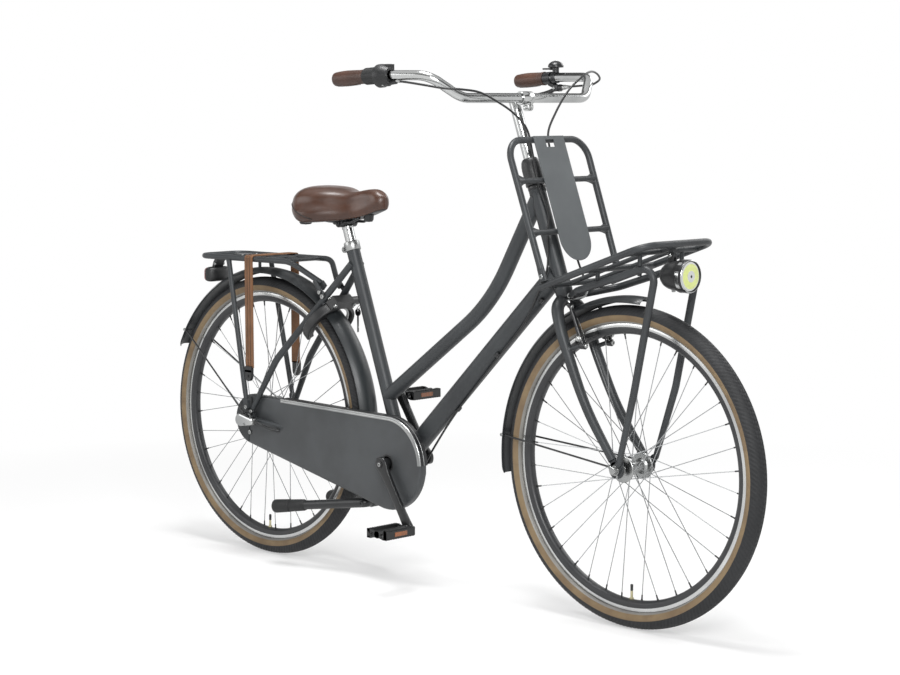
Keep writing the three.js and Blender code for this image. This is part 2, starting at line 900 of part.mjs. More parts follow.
function chainStayCorners(side) {
  const front = at(bracketX - bracketShellRadius / 2, side * chainStaySpread, bracketHeight);
  const end = at(
    dropoutRadius * 1.6,
    side * (rearDropoutHalf + dropoutThickness / 2),
    axleHeight - dropoutRadius / 4,
  );
  const share = (front.x - chainStayKneeX) / (front.x - end.x);
  const kneeHeight = front.z + (end.z - front.z) * share;
  return [front, at(chainStayKneeX, side * chainStayKneeSpread, kneeHeight), end];
}

function chainStay(side, radius, sides) {
  return bentTube(chainStayCorners(side), [chainStayBend], radius, sides, 2);
}

function seatStay(side, radius, sides) {
  return bentTube(seatStayCorners(side), [seatStayBend], radius, sides, 2);
}


// The point of a straight run at a given x.
function onRun(from, to, x) {
  return from.clone().lerp(to, (from.x - x) / (from.x - to.x));
}

function rearTriangle() {
  const pieces = [];
  [-1, 1].forEach((side) => {
    pieces.push(seatStay(side, seatStayRadius, 7));
    pieces.push(chainStay(side, chainStayRadius, 7));
    const onStay = onRun(...seatStayCorners(side).slice(0, 2), carrierBossX);
    const tip = onStay.clone().add(at(0, side * bossReach, 0));
    pieces.push(rod(onStay, tip, bossRadius, 6));
  });
  const bridgeAt = (side) => {
    const [top, knee] = seatStayCorners(side);
    return top.lerp(knee, (top.z - stayBridgeHeight) / (top.z - knee.z));
  };
  pieces.push(rod(bridgeAt(-1), bridgeAt(1), bridgeRadius, 6));
  [-1, 1].forEach((side) => {
    const [top, knee] = seatStayCorners(side);
    const root = top.lerp(knee, (top.z - lockBossHeight) / (top.z - knee.z));
    const away = root.clone().sub(lockCentre).dot(lockNormal) - lockThickness / 2 - gap;
    pieces.push(rod(root, root.clone().addScaledVector(lockNormal, -away), bossRadius, 6));
  });
  const stayAt = onRun(...chainStayCorners(1).slice(0, 2), standPivotX);
  pieces.push(
    block(
      at(standPivotX - standPlateHalf, -stayAt.y, stayAt.z - standPlateThickness / 2),
      at(standPivotX + standPlateHalf, stayAt.y, stayAt.z + standPlateThickness / 2),
    ),
  );
  const eyeOuter = standTubeRadius + gap + standEyeWall;
  pieces.push(crossRod(standPivotX, standPivotHeight, -standEyeHalf, standEyeHalf, eyeOuter, 12));
  pieces.push(
    block(
      at(standPivotX - standEyeHalf, -standEyeHalf * 0.7, standPivotHeight),
      at(standPivotX + standEyeHalf, standEyeHalf * 0.7, stayAt.z),
    ),
  );
  let whole = join(pieces);
  [-1, 1].forEach((side) => {
    const stay = seatStayCorners(side)[2];
    const chain = chainStayCorners(side)[2];
    whole = whole.add(dropoutPlate(0, side, rearDropoutHalf, rearAxleRadius, [stay, chain]));
  });
  const shellEnd = bracketShellHalf + overrun;
  return cutFrom(whole, [
    rod(bracketCentre, seatTubeTopPoint, seatTubeRadius + gap, 10),
    crossRod(bracketX, bracketHeight, -shellEnd, shellEnd, bracketShellRadius + gap, 12),
    rod(bracketCentre, steerPoint(downTubeTop), downTubeRadius + gap, 12),
    crossRod(
      standPivotX,
      standPivotHeight,
      -standEyeHalf - overrun,
      standEyeHalf + overrun,
      holeRadius(standTubeRadius, gap, 12),
      12,
    ),
  ]);
}

addSolid("main_frame", mainFrame(), "frame");
addSolid("rear_triangle", rearTriangle(), "frame");
const frontNutFace = frontDropoutHalf + dropoutThickness + gap + strutEyeThickness;
addSolid(
  "front_axle",
  axleWithNuts(frontAxleX, frontAxleRadius, frontAxleHalf, frontNutFace, 8),
  "alloy",
);
addSolid(
  "rear_axle",
  axleWithNuts(0, rearAxleRadius, rearAxleHalf, rearDropoutHalf + dropoutThickness, 8),
  "alloy",
);

// Seat tube collar, seatpost and saddle

const collarBase = seatTubeTopPoint.clone().addScaledVector(seatAxis, -collarHeight);

function seatCollar() {
  const ring = turnedOn(
    collarBase,
    seatAxis,
    [
      [holeRadius(seatTubeRadius, gap, collarSides), 0],
      [collarRadius, 0],
      [collarRadius, collarHeight + collarLip],
      [holeRadius(seatpostRadius, gap, collarSides), collarHeight + collarLip],
      [holeRadius(seatpostRadius, gap, collarSides), collarHeight + gap],
      [holeRadius(seatTubeRadius, gap, collarSides), collarHeight + gap],
    ],
    collarSides,
  );
  const ear = block(at(-collarRadius - 13, -7, collarHeight * 0.2), at(-collarRadius + 2, 7, collarHeight * 0.8));
  const bolt = rod(at(-collarRadius - 6, -11, collarHeight / 2), at(-collarRadius - 6, 11, collarHeight / 2), 3.6, 8);
  const turn = new THREE.Quaternion().setFromUnitVectors(at(0, 0, 1), seatAxis);
  [ear, bolt].forEach((piece) => {
    piece.applyQuaternion(turn).translate(collarBase.x, 0, collarBase.z);
  });
  return join([ring, ear, bolt]);
}

const clampCentre = seatPoint(seatpostTop);
const saddleLength = saddleNoseX - saddleRearX;
const saddleEdgeHeight = seatpostTop + saddleLift;
const saddleTopHeight = saddleEdgeHeight + saddleDepth;

// Half width of the saddle at a share of its length from the rear.
function saddleHalfAt(share) {
  const rearRound = Math.sqrt(Math.max(0, 1 - Math.pow(1 - Math.min(share / 0.3, 1), 2.4)));
  const flank = 1 / (1 + Math.exp((share - 0.5) * 13));
  const noseRound = Math.sqrt(Math.max(0, 1 - Math.pow(Math.max(0, (share - 0.9) / 0.1), 2)));
  const wide = saddleNoseHalf + (saddleHalfWidth - saddleNoseHalf) * flank;
  return wide * rearRound * noseRound;
}

// Height of the saddle's top line at a share of its length from the rear.
function saddleTopAt(share) {
  const dip = Math.exp(-Math.pow((share - 0.62) / 0.16, 2)) * 12;
  const rearDrop = Math.pow(Math.max(0, 0.25 - share) / 0.25, 2) * 24;
  const noseDrop = Math.pow(Math.max(0, share - 0.86) / 0.14, 2) * 18;
  return saddleTopHeight - dip - rearDrop - noseDrop;
}

// Height of the saddle's lower edge at a share of its length from the rear.
function saddleEdgeAt(share) {
  return saddleEdgeHeight + Math.pow(share, 2) * saddleEdgeClimb;
}

function saddleCover() {
  const rows = 14;
  const around = 16;
  const places = [];
  const faces = [];
  for (let i = 0; i <= rows; i++) {
    const share = 0.5 - Math.cos((Math.PI * i) / rows) / 2;
    const x = saddleRearX + saddleLength * share;
    const half = Math.max(saddleHalfAt(Math.min(Math.max(share, 0.004), 0.996)), 1);
    const top = saddleTopAt(share);
    const edge = saddleEdgeAt(share);
    const middle = (top + edge) / 2;
    for (let k = 0; k < around; k++) {
      const angle = (2 * Math.PI * k) / around;
      const sx = Math.cos(angle);
      const sz = Math.sin(angle);
      const squareness = sz < 0 ? 0.35 : 0.8;
      const y = half * Math.sign(sx) * Math.pow(Math.abs(sx), squareness);
      const crown = sz < 0 ? middle + (middle - edge) * sz : middle + (top - middle) * Math.pow(sz, 0.7);
      places.push(x, y, crown);
    }
  }
  const capRear = places.length / 3;
  places.push(saddleRearX - 1, 0, (saddleTopAt(0) + saddleEdgeAt(0)) / 2);
  const capNose = capRear + 1;
  places.push(saddleNoseX + 1, 0, (saddleTopAt(1) + saddleEdgeAt(1)) / 2);
  for (let k = 0; k < around; k++) {
    const next = (k + 1) % around;
    for (let i = 0; i < rows; i++) {
      const a = i * around + k;
      const b = i * around + next;
      const c = a + around;
      const d = b + around;
      faces.push(a, b, c, b, d, c);
    }
    faces.push(capRear, next, k);
    faces.push(capNose, rows * around + k, rows * around + next);
  }
  const geometry = new THREE.BufferGeometry();
  geometry.setAttribute("position", new THREE.BufferAttribute(new Float32Array(places), 3));
  geometry.setIndex(faces);
  return geometry;
}

function seatpost() {
  const base = seatTubeTopPoint.clone().addScaledVector(seatAxis, -seatpostInsertion);
  const head = crossRod(clampCentre.x, clampCentre.z, -railSpread - 6, railSpread + 6, 11, 10);
  const rails = [-1, 1].map((side) =>
    rod(
      at(clampCentre.x - 30, side * railSpread, clampCentre.z + railLift),
      at(clampCentre.x + 30, side * railSpread, clampCentre.z + railLift),
      railRadius + gap,
      8,
    ),
  );
  return cutFrom(join([rod(base, clampCentre, seatpostRadius, 10), head]), rails);
}

// The saddle's under-shell, which follows the cover's lower edge.
function saddleShell() {
  const rows = 8;
  const places = [];
  const faces = [];
  for (let i = 0; i <= rows; i++) {
    const share = shellStart + ((shellEnd - shellStart) * i) / rows;
    const x = saddleRearX + saddleLength * share;
    const half = saddleHalfAt(share) * 0.72;
    const top = saddleEdgeAt(share) - 2 * gap;
    const low = top - saddleBaseThickness;
    places.push(x, -half, low, x, half, low, x, half, top, x, -half, top);
  }
  for (let i = 0; i < rows; i++) {
    for (let k = 0; k < 4; k++) {
      const a = i * 4 + k;
      const b = i * 4 + ((k + 1) % 4);
      faces.push(a, b, a + 4, b, b + 4, a + 4);
    }
  }
  const last = rows * 4;
  faces.push(0, 2, 1, 0, 3, 2, last, last + 1, last + 2, last, last + 2, last + 3);
  const geometry = new THREE.BufferGeometry();
  geometry.setAttribute("position", new THREE.BufferAttribute(new Float32Array(places), 3));
  geometry.setIndex(faces);
  return geometry;
}

// The under-shell with its two rails and the bumpers at the rear.
function saddleBase() {
  const railZ = clampCentre.z + railLift;
  const under = (x) => saddleEdgeAt((x - saddleRearX) / saddleLength) - saddleBaseThickness;
  const pieces = [saddleShell()];
  [-1, 1].forEach((side) => {
    const y = side * railSpread;
    const rear = saddleRearX + 48;
    const front = clampCentre.x + 96;
    pieces.push(
      bentTube(
        [
          at(rear, y * 1.6, under(rear)),
          at(rear + 26, y, railZ),
          at(clampCentre.x + 46, y, railZ),
          at(front, y * 0.6, under(front)),
        ],
        [12, 20],
        railRadius,
        5,
        2,
      ),
    );
    const bumper = saddleRearX + 52;
    pieces.push(
      rod(at(bumper, y * 2.5, under(bumper) + 2), at(bumper, y * 2.5, under(bumper) - 14), 12, 6),
    );
  });
  return join(pieces);
}

addSolid("seat_collar", seatCollar(), "chrome");
addSolid("seatpost", seatpost(), "chrome");
addSolid("saddle_base", saddleBase(), "black");
addPiece("saddle_cover", saddleCover(), "leather");

// Headset, fork, stem

const bladePoints = (side) => [
  at(steerX(crownHeight) + 2, side * 8, crownHeight - 14),
  at(steerX(crownHeight) + 12, side * 35, crownHeight - 26),
  at(steerX(crownHeight) + 28, side * 46, crownHeight - 62),
  at(steerX(crownHeight) + 60, side * 48, crownHeight - 146),
  at(steerX(crownHeight) + 115, side * 50.5, crownHeight - 255),
  at(frontAxleX - 12, side * (frontDropoutHalf + dropoutThickness / 2), axleHeight + 20),
];

function fork() {
  const steererTop = headTubeTop + headsetCupHeight + steererRise * steerCos - overrun;
  const pieces = [
    rod(steerPoint(crownHeight - 12), steerPoint(steererTop), steererRadius, 12),
    turnedOn(
      steerPoint(headTubeBase - headsetCupHeight).addScaledVector(steerAxis, -gap),
      steerAxis,
      [
        [0, 0],
        [headsetCupRadius - 3, 0],
        [headsetCupRadius, -5],
        [headsetCupRadius - 2, -26],
        [0, -26],
      ],
      10,
    ),
  ];
  const axisFoot = at(frontAxleX - forkOffset * steerCos, 0, axleHeight - forkOffset * steerSin);
  const fenderAngle = 180 + steeringTilt - Math.acos(forkOffset / frontFenderRadius) / degree;
  const fenderReach = arcReach(frontFenderArc, fenderAngle) + gap;
  const lean = Math.asin(forkOffset / fenderReach);
  const meet = fenderReach * Math.cos(lean) + bossRadius * Math.tan(lean);
  const boltEnd = axisFoot.clone().addScaledVector(steerAxis, meet);
  pieces.push(rod(steerPoint(crownHeight), boltEnd, bossRadius, 6));
  [-1, 1].forEach((side) => {
    pieces.push(curvedTube(bladePoints(side), 7, bladeRadiusTop, bladeRadiusEnd, 7));
    const boss = at(brakePivotX, side * brakePivotSpread, brakePivotHeight);
    pieces.push(rod(at(boss.x - 34, boss.y, boss.z - 12), boss, bossRadius, 8));
  });
  let whole = join(pieces);
  [-1, 1].forEach((side) => {
    const end = bladePoints(side)[5];
    whole = whole.add(dropoutPlate(frontAxleX, side, frontDropoutHalf, frontAxleRadius, [end]));
  });
  return cutFrom(whole, [
    rod(steerPoint(quillBase - 12), steerPoint(steererTop + overrun), holeRadius(quillRadius, gap, 12), 12),
  ]);
}

addSolid("fork", fork(), "frame");
function headsetCover() {
  const base = steerPoint(headTubeTop + headsetCupHeight).addScaledVector(steerAxis, gap);
  const sides = 10;
  const bore = holeRadius(steererRadius, gap, sides);
  const quillBore = holeRadius(quillRadius, gap, sides);
  const r = headsetCoverRadius;
  const h = headsetCoverHeight - headsetCupHeight;
  return turnedOn(
    base,
    steerAxis,
    [
      [bore, 0],
      [r, 0],
      [r, h * 0.5],
      [r * 0.78, h * 0.94],
      [quillBore + 2, h],
      [quillBore, h],
      [quillBore, steererRise],
      [bore, steererRise],
    ],
    sides,
  );
}
addPiece("headset_cover", headsetCover(), "black");

const clampCentreBar = at(barCentreX, 0, barHeight);

function stem() {
  const quillTop = steerPoint(barHeight + 4);
  const pieces = [
    rod(steerPoint(quillBase), quillTop, quillRadius, 12),
    crossRod(barCentreX, barHeight, -clampHalf, clampHalf, clampRadius, 12),
    rod(steerPoint(barHeight - 12), at(barCentreX, 0, barHeight - 2), quillRadius * 0.9, 8),
    rod(quillTop, steerPoint(barHeight + 9), quillRadius * 0.75, 6),
  ];
  const earLow = at(barCentreX + 2, -10, barHeight - clampRadius - 13);
  const earHigh = at(barCentreX + 15, 10, barHeight - clampRadius + 6);
  pieces.push(block(earLow, earHigh));
  pieces.push(rod(at(barCentreX + 9, -14, barHeight - clampRadius - 6), at(barCentreX + 9, 14, barHeight - clampRadius - 6), 4.4, 8));
  return cutFrom(join(pieces), [
    crossRod(barCentreX, barHeight, -clampHalf - overrun, clampHalf + overrun, holeRadius(barRadius, gap, 12), 12),
  ]);
}
addSolid("stem", stem(), "chrome");

// Handlebar, grips and controls

function barCorners() {
  const half = (side) => [
    at(barEndX, side * barHalfSpread, barEndHeight),
    at(barKneeX, side * barKneeSpread, barKneeHeight),
    at(barCentreX, side * barElbowSpread, barHeight),
  ];
  return [...half(-1), ...half(1).reverse()];
}
addPiece(
  "handlebar",
  bentTube(barCorners(), [barKneeBend, barElbowBend, barElbowBend, barKneeBend], barRadius, 8, 3),
  "chrome",
);

// Direction of the straight grip run, from its rear end forwards.
function gripFrame(side) {
  const end = at(barEndX, side * barHalfSpread, barEndHeight);
  const knee = at(barKneeX, side * barKneeSpread, barKneeHeight);
  return { end, along: knee.sub(end).normalize() };
}

function onGrip(side, distance) {
  const { end, along } = gripFrame(side);
  return end.clone().addScaledVector(along, distance);
}

function addGrip(name, side) {
  const { along } = gripFrame(side);
  const bore = holeRadius(barRadius, gap, 10);
  const profile = [
    [0, -gripEndWall - gap],
    [gripRadius * 0.75, -gripEndWall - gap],
    [gripRadius, -gap],
    [gripPalm, gripLength * 0.35],
    [gripRadius, gripLength * 0.85],
    [gripRadius * 1.06, gripLength],
    [bore, gripLength],
    [bore, -gap],
    [0, -gap],
  ];
  addPiece(name, turnedOn(onGrip(side, 0), along, profile, 10), "leather");
}
addGrip("grip_right", -1);
addGrip("grip_left", 1);

const ringStart = gripLength + gap * 2;

// The twist ring, with finger flutes round it.
function shifterRing() {
  const { along } = gripFrame(-1);
  const flutes = 9;
  const points = [];
  for (let i = 0; i < flutes * 2; i++) {
    const angle = (Math.PI * i) / flutes;
    const radius = i % 2 ? shifterRingRadius - 2 : shifterRingRadius;
    points.push([radius * Math.cos(angle), radius * Math.sin(angle)]);
  }
  const shape = shapeOf(points);
  const hole = new THREE.Path();
  hole.absarc(0, 0, barRadius + runningGap, 0, 2 * Math.PI, true);
  shape.holes.push(hole);
  const depth = shifterRingLength;
  const geometry = new THREE.ExtrudeGeometry(shape, { depth, bevelEnabled: false, curveSegments: 12 });
  const turn = new THREE.Quaternion().setFromUnitVectors(at(0, 0, 1), along);
  const base = onGrip(-1, ringStart);
  return geometry.applyQuaternion(turn).translate(base.x, base.y, base.z);
}
addPiece("shifter_ring", shifterRing(), "black");

// Where the gear cable leaves the shifter.
function shifterNose() {
  const base = onGrip(-1, ringStart + shifterRingLength + gap * 2);
  return base.add(at(shifterBodyLength + 14, 6, -shifterBodyRadius * 0.55));
}

function shifterBody() {
  const { along } = gripFrame(-1);
  const base = onGrip(-1, ringStart + shifterRingLength + gap * 2);
  const bore = holeRadius(barRadius, gap, 12);
  const length = shifterBodyLength;
  const r = shifterBodyRadius;
  const ring = turnedOn(
    base,
    along,
    [
      [0, 0],
      [r, 0],
      [r, length * 0.35],
      [r * 0.7, length],
      [0, length],
    ],
    12,
  );
  const window = block(
    at(base.x + 3, base.y - 4, base.z + r * 0.45),
    at(base.x + length * 0.85, base.y + r * 0.9, base.z + r * 1.15),
  );
  const nose = rod(at(base.x + length * 0.3, base.y + 2, base.z - r * 0.62), shifterNose(), 4.6, 8);
  return cutFrom(join([ring, window, nose]), [
    rod(onGrip(-1, ringStart), onGrip(-1, ringStart + 120), bore, 12),
  ]);
}
addSolid("shifter_body", shifterBody(), "black");

// Brake lever perch on the left, with the lever under the grip
const perchStart = gripLength + gap * 2;
const leverDown = at(0, 0.26, -0.966).normalize();

function brakePerch() {
  const { along } = gripFrame(1);
  const base = onGrip(1, perchStart);
  const bore = holeRadius(barRadius, gap, 12);
  const ring = rod(base, onGrip(1, perchStart + perchLength), perchRadius, 12);
  const hinge = leverPivot();
  const arm = rod(
    onGrip(1, perchStart + perchLength / 2).addScaledVector(leverDown, perchRadius - 2),
    hinge.clone().addScaledVector(along, 6),
    7,
    8,
  );
  const barrel = rod(
    hinge.clone().addScaledVector(along, 12),
    hinge.clone().addScaledVector(along, leverBarrelEnd),
    4.4,
    8,
  );
  const fork = block(
    at(hinge.x - 6, hinge.y - 9, hinge.z - 9),
    at(hinge.x + 16, hinge.y + 9, hinge.z + 9),
  );
  const slot = block(
    at(hinge.x - 20, hinge.y - 5.4, hinge.z - 20),
    at(hinge.x + 9, hinge.y + 5.4, hinge.z + 12),
  );
  return cutFrom(cutFrom(join([arm, fork]), [slot]).add(join([ring])).add(solid(barrel)), [
    rod(onGrip(1, perchStart - 5), onGrip(1, perchStart + 60), bore, 12),
  ]);
}

function leverPivot() {
  return onGrip(1, perchStart + perchLength + 8).addScaledVector(leverDown, leverDrop * 0.72);
}

// Where the cable leaves the brake's noodle on the left arm.
function brakeNoodleEnd() {
  return armPoint(-1, brakeArmLength + gap * 3, brakeArmLean, brakeArmForward);
}

function brakeLever() {
  const { along } = gripFrame(1);
  const pivot = leverPivot();
  const back = pivot.clone().addScaledVector(along, -24).addScaledVector(leverDown, 8);
  const tip = pivot.clone().addScaledVector(along, -leverLength).addScaledVector(leverDown, leverDrop * 0.5);
  return join([
    rod(at(pivot.x, pivot.y - 4.6, pivot.z), at(pivot.x, pivot.y + 4.6, pivot.z), 5, 12),
    curvedTube([pivot.clone(), back, tip], 5, 4.4, 4.4, 6),
    rod(tip, tip.clone().addScaledVector(along, -9), 5.6, 8),
  ]);
}
addSolid("brake_perch", brakePerch(), "blackMetal");
addSolid("brake_lever", brakeLever(), "blackMetal");

// Bell on top of the bar, in front of the perch
const bellStart = perchStart + perchLength + 6;

function bell() {
  const { along } = gripFrame(1);
  const base = onGrip(1, bellStart);
  const bore = holeRadius(barRadius, gap, 12);
  const band = rod(base, onGrip(1, bellStart + 13), perchRadius - 1, 12);
  const foot = onGrip(1, bellStart + 6.5).add(at(0, 0, perchRadius - 3));
  const dome = turnedOn(
    foot,
    at(0, 0, 1),
    [
      [0, 0],
      [8, 0],
      [8, bellFoot],
      [bellRadius, bellFoot],
      [bellRadius, bellFoot + 4],
      [bellRadius * 0.7, bellFoot + bellHeight * 0.85],
      [0, bellFoot + bellHeight + 1],
    ],
    10,
  );
  const tool = rod(onGrip(1, bellStart - 5), onGrip(1, bellStart + 30), bore, 12);
  return cutFrom(join([band, dome]), [tool]);
}
addSolid("bell", bell(), "black");

function bellPivot() {
  return onGrip(1, bellStart + 6.5).add(at(-15, 0, perchRadius + 5.7));
}

function bellThumb() {
  const pivot = bellPivot();
  return join([
    rod(pivot.clone().add(at(0, 0, -3)), pivot.clone().add(at(0, 0, 3)), 4, 10),
    block(at(pivot.x - 26, pivot.y - 5, pivot.z - 2), at(pivot.x - 1, pivot.y + 5, pivot.z + 2)),
  ]);
}
addSolid("bell_thumb", bellThumb(), "black");

// Front carrier

// A point in the upright hoop's plane.
function onHoop(height, left, forward = hoopForward) {
  const base = steerX(height) + forward / steerCos;
  return at(base, left, height);
}

function carrierHoop() {
  const corners = [
    onHoop(hoopBase, -hoopHalfWidth + 4),
    onHoop(hoopTop, -hoopHalfWidth),
    onHoop(hoopTop, hoopHalfWidth),
    onHoop(hoopBase, hoopHalfWidth - 4),
  ];
  const pieces = [bentTube(corners, [hoopBend, hoopBend], carrierTubeRadius, 6, 3)];
  [upperBarHeight, lowerBarHeight].forEach((height) => {
    pieces.push(rod(onHoop(height, -hoopHalfWidth + 2), onHoop(height, hoopHalfWidth - 2), crossBarRadius, 6));
  });
  [-1, 1].forEach((side) => {
    const y = side * (hoopHalfWidth - 4);
    const low = onHoop(hoopBase, y);
    const foot = platformPoint(0.06, y);
    pieces.push(rod(low.clone().add(at(0, 0, 6)), at(foot.x, y, foot.z + carrierTubeRadius + 3 * gap), 6, 8));
  });
  return join(pieces);
}

const platformSlope = (platformFrontHeight - platformRearHeight) / (platformFrontX - platformRearX);

// A point on the platform's plane, at a share of its length.
function platformPoint(share, left, drop = 0) {
  return at(
    platformRearX + (platformFrontX - platformRearX) * share,
    left,
    platformRearHeight + (platformFrontHeight - platformRearHeight) * share - drop,
  );
}

function carrierPlatform() {
  const w = platformHalfWidth;
  const outer = bentTube(
    [platformPoint(0, -w), platformPoint(1, -w), platformPoint(1, w), platformPoint(0, w)],
    [platformBend, platformBend],
    carrierTubeRadius,
    6,
    3,
  );
  const pieces = [outer];
  const crossShares = [0.06, 0.42, 0.82];
  crossShares.forEach((share) => {
    pieces.push(rod(platformPoint(share, -w), platformPoint(share, w), crossBarRadius, 6));
  });
  [-1, 1].forEach((side) => {
    const y = (side * w) / 3;
    pieces.push(rod(platformPoint(0.06, y), platformPoint(0.82, y), crossBarRadius * 0.8, 4));
  });
  const ear = platformPoint(0.82, 0);
  pieces.push(rod(ear, platformPoint(1, 0), crossBarRadius * 0.9, 6));
  const lugHalf = lampLugThickness / 2;
  const lampRod = platformPoint((lampPivotX - platformRearX) / (platformFrontX - platformRearX), 0);
  pieces.push(
    block(
      at(lampPivotX - lampEarHalf, -lugHalf, lampPivotHeight - lampEarHalf / 2),
      at(lampPivotX + lampEarHalf, lugHalf, lampRod.z),
    ),
  );
  const pinHalf = lugHalf + gap + lampCheekThickness;
  pieces.push(crossRod(lampPivotX, lampPivotHeight, -pinHalf, pinHalf, lampPinRadius, 8));
  const postShares = crossShares.slice(1);
  const slope = Math.atan2(strutKneeHeight - strutBackHeight, strutKneeX - strutBackX);
  const postSeat = (strutRadius + platformPostRadius * Math.sin(slope)) / Math.cos(slope) + gap;
  [-1, 1].forEach((side) => {
    postShares.forEach((share) => {
      const head = platformPoint(share, side * strutSpread);
      const along = (head.x - strutBackX) / (strutKneeX - strutBackX);
      const strut = strutBackHeight + (strutKneeHeight - strutBackHeight) * along;
      const foot = at(head.x, head.y, strut + postSeat);
      pieces.push(rod(foot, head, platformPostRadius, 5));
    });
  });
  return join(pieces);
}

// One side's strut, from the axle up round the carrier's front and back to the fork crown.
function strutTube(side, radius) {
  const y = side * strutSpread;
  const eyeOuter = frontDropoutHalf + dropoutThickness + strutEyeThickness + gap;
  return bentTube(
    [
      at(frontAxleX + strutFootForward, side * (eyeOuter + strutRadius / 2), axleHeight + strutFootRise),
      at(frontAxleX + strutLowerForward, y, axleHeight + strutLowerRise),
      at(strutKneeX, y, strutKneeHeight),
      at(strutBackX, y, strutBackHeight),
      at(crownPlate.x, side * crownPlateHalf * 0.6, crownPlate.z),
    ],
    [strutLowerBend, strutKneeBend, strutBackBend],
    radius,
    strutSides,
    2,
  );
}

// Where the carrier's struts meet in front of the fork crown.
const crownPlate = bySteering(crownPlateHeight, headsetCupRadius + strutRadius + gap, 0);

function carrierStruts() {
  const pieces = [-1, 1].map((side) => strutTube(side, strutRadius));
  const eyes = [-1, 1].map((side) => {
    const inner = side * (frontDropoutHalf + dropoutThickness + gap);
    const outline = beltShape(
      frontAxleX + strutFootForward,
      axleHeight + strutFootRise,
      strutRadius,
      frontAxleX,
      axleHeight,
      washerRadius,
      5,
    );
    return sidePlate(shapeOf(outline), inner, inner + side * strutEyeThickness);
  });
  pieces.push(
    crossRod(crownPlate.x, crownPlate.z, -crownPlateHalf, crownPlateHalf, strutRadius, 8),
  );
  const reach = frontAxleHalf + overrun;
  const hole = crossRod(frontAxleX, axleHeight, -reach, reach, holeRadius(frontAxleRadius, gap, 8), 8);
  return cutFrom(join([...pieces, ...eyes]), [hole]);
}

function namePlate() {
  const length = (plateTopHeight - plateBottomHeight) / steerCos;
  const shape = new THREE.Shape();
  shape.moveTo(-plateHalfWidth, length);
  shape.lineTo(-plateHalfWidth, plateHalfWidth);
  shape.absarc(0, plateHalfWidth, plateHalfWidth, Math.PI, 2 * Math.PI);
  shape.lineTo(plateHalfWidth, length);
  shape.closePath();
  const slot = new THREE.Path();
  const slotTop = length - plateSlotDrop;
  slot.moveTo(-plateSlotHalf, slotTop);
  slot.lineTo(plateSlotHalf, slotTop);
  slot.lineTo(plateSlotHalf, slotTop - plateSlotHeight);
  slot.lineTo(-plateSlotHalf, slotTop - plateSlotHeight);
  slot.closePath();
  shape.holes.push(slot);
  const geometry = new THREE.ExtrudeGeometry(shape, {
    depth: plateThickness,
    bevelEnabled: false,
    curveSegments: 8,
  });
  geometry.rotateX(Math.PI / 2).rotateZ(Math.PI / 2);
  geometry.rotateY(-steeringTilt * degree);
  const foot = onHoop(plateBottomHeight, 0, hoopForward + carrierTubeRadius);
  return geometry.translate(foot.x, 0, foot.z);
}

addSolid("carrier_hoop", carrierHoop(), "frame");
addSolid("carrier_platform", carrierPlatform(), "frame");
addSolid("carrier_struts", carrierStruts(), "frame");
addPiece("name_plate", namePlate(), "frame");

// Headlight under the front edge of the platform

function headlightBody() {
  const r = lampRadius;
  const back = at(lampX - lampLength, 0, lampHeight);
  const shell = turnedOn(
    back,
    at(1, 0, 0),
    [
      [0, 0],
      [r * 0.4, 2],
      [r * 0.78, 14],
      [r * 0.95, 32],
      [r, lampLength * 0.6],
      [r + lampHoodWall, lampLength * 0.66],
      [r + lampHoodWall, lampLength],
      [r, lampLength],
      [r * 0.96, lampLength - lensThickness - 2],
      [0, lampLength - lensThickness - 2],
    ],
    12,
  );
  const cheekInner = lampLugThickness / 2 + gap;
  const cheeks = [-1, 1].map((side) => {
    const faces = [side * cheekInner, side * (cheekInner + lampCheekThickness)];
    return block(
      at(lampPivotX - lampEarHalf, Math.min(...faces), lampHeight + r * 0.7),
      at(lampPivotX + lampEarHalf, Math.max(...faces), lampPivotHeight + lampEarHalf / 2),
    );
  });
  const reach = cheekInner + lampCheekThickness + overrun;
  const pinRoom = holeRadius(lampPinRadius, gap, 8);
  return cutFrom(join([shell, ...cheeks]), [
    crossRod(lampPivotX, lampPivotHeight, -reach, reach, pinRoom, 8),
  ]);
}
addSolid("headlight_body", headlightBody(), "black");
const lensFace = at(lampX - lensThickness - 2 + gap, 0, lampHeight);
addPiece(
  "headlight_lens",
  turnedOn(
    lensFace,
    at(1, 0, 0),
    [
      [0, 0],
      [lampRadius * 0.96 - gap, 0],
      [lampRadius * 0.96 - gap, lensThickness],
      [0, lensThickness + 2],
    ],
    12,
  ),
  "lens",
);

// Fenders

// A crowned strip bent round an axle, with a wire stay from dropout to dropout.
function fender(axleX, { radius, from, to, steps }) {
  const section = new THREE.Shape();
  const count = 4;
  const rise = (y) => fenderCrown * (1 - Math.pow(Math.abs(y) / fenderHalfWidth, 2.2));
  const outer = [];
  for (let i = 0; i <= count; i++) {
    const y = -fenderHalfWidth + (2 * fenderHalfWidth * i) / count;
    outer.push([y, rise(y) - fenderCrown]);
  }
  const inner = outer.map(([y, up]) => [y * (1 - fenderThickness / fenderHalfWidth), up - fenderThickness]);
  [...outer, ...inner.reverse()].forEach(([y, up], i) => {
    if (i) section.lineTo(up, y);
    else section.moveTo(up, y);
  });
  section.closePath();
  const path = new ArcPath(axleX, radius, from * degree, to * degree, steps);
  return new THREE.ExtrudeGeometry(section, { steps, extrudePath: path, curveSegments: 1 });
}

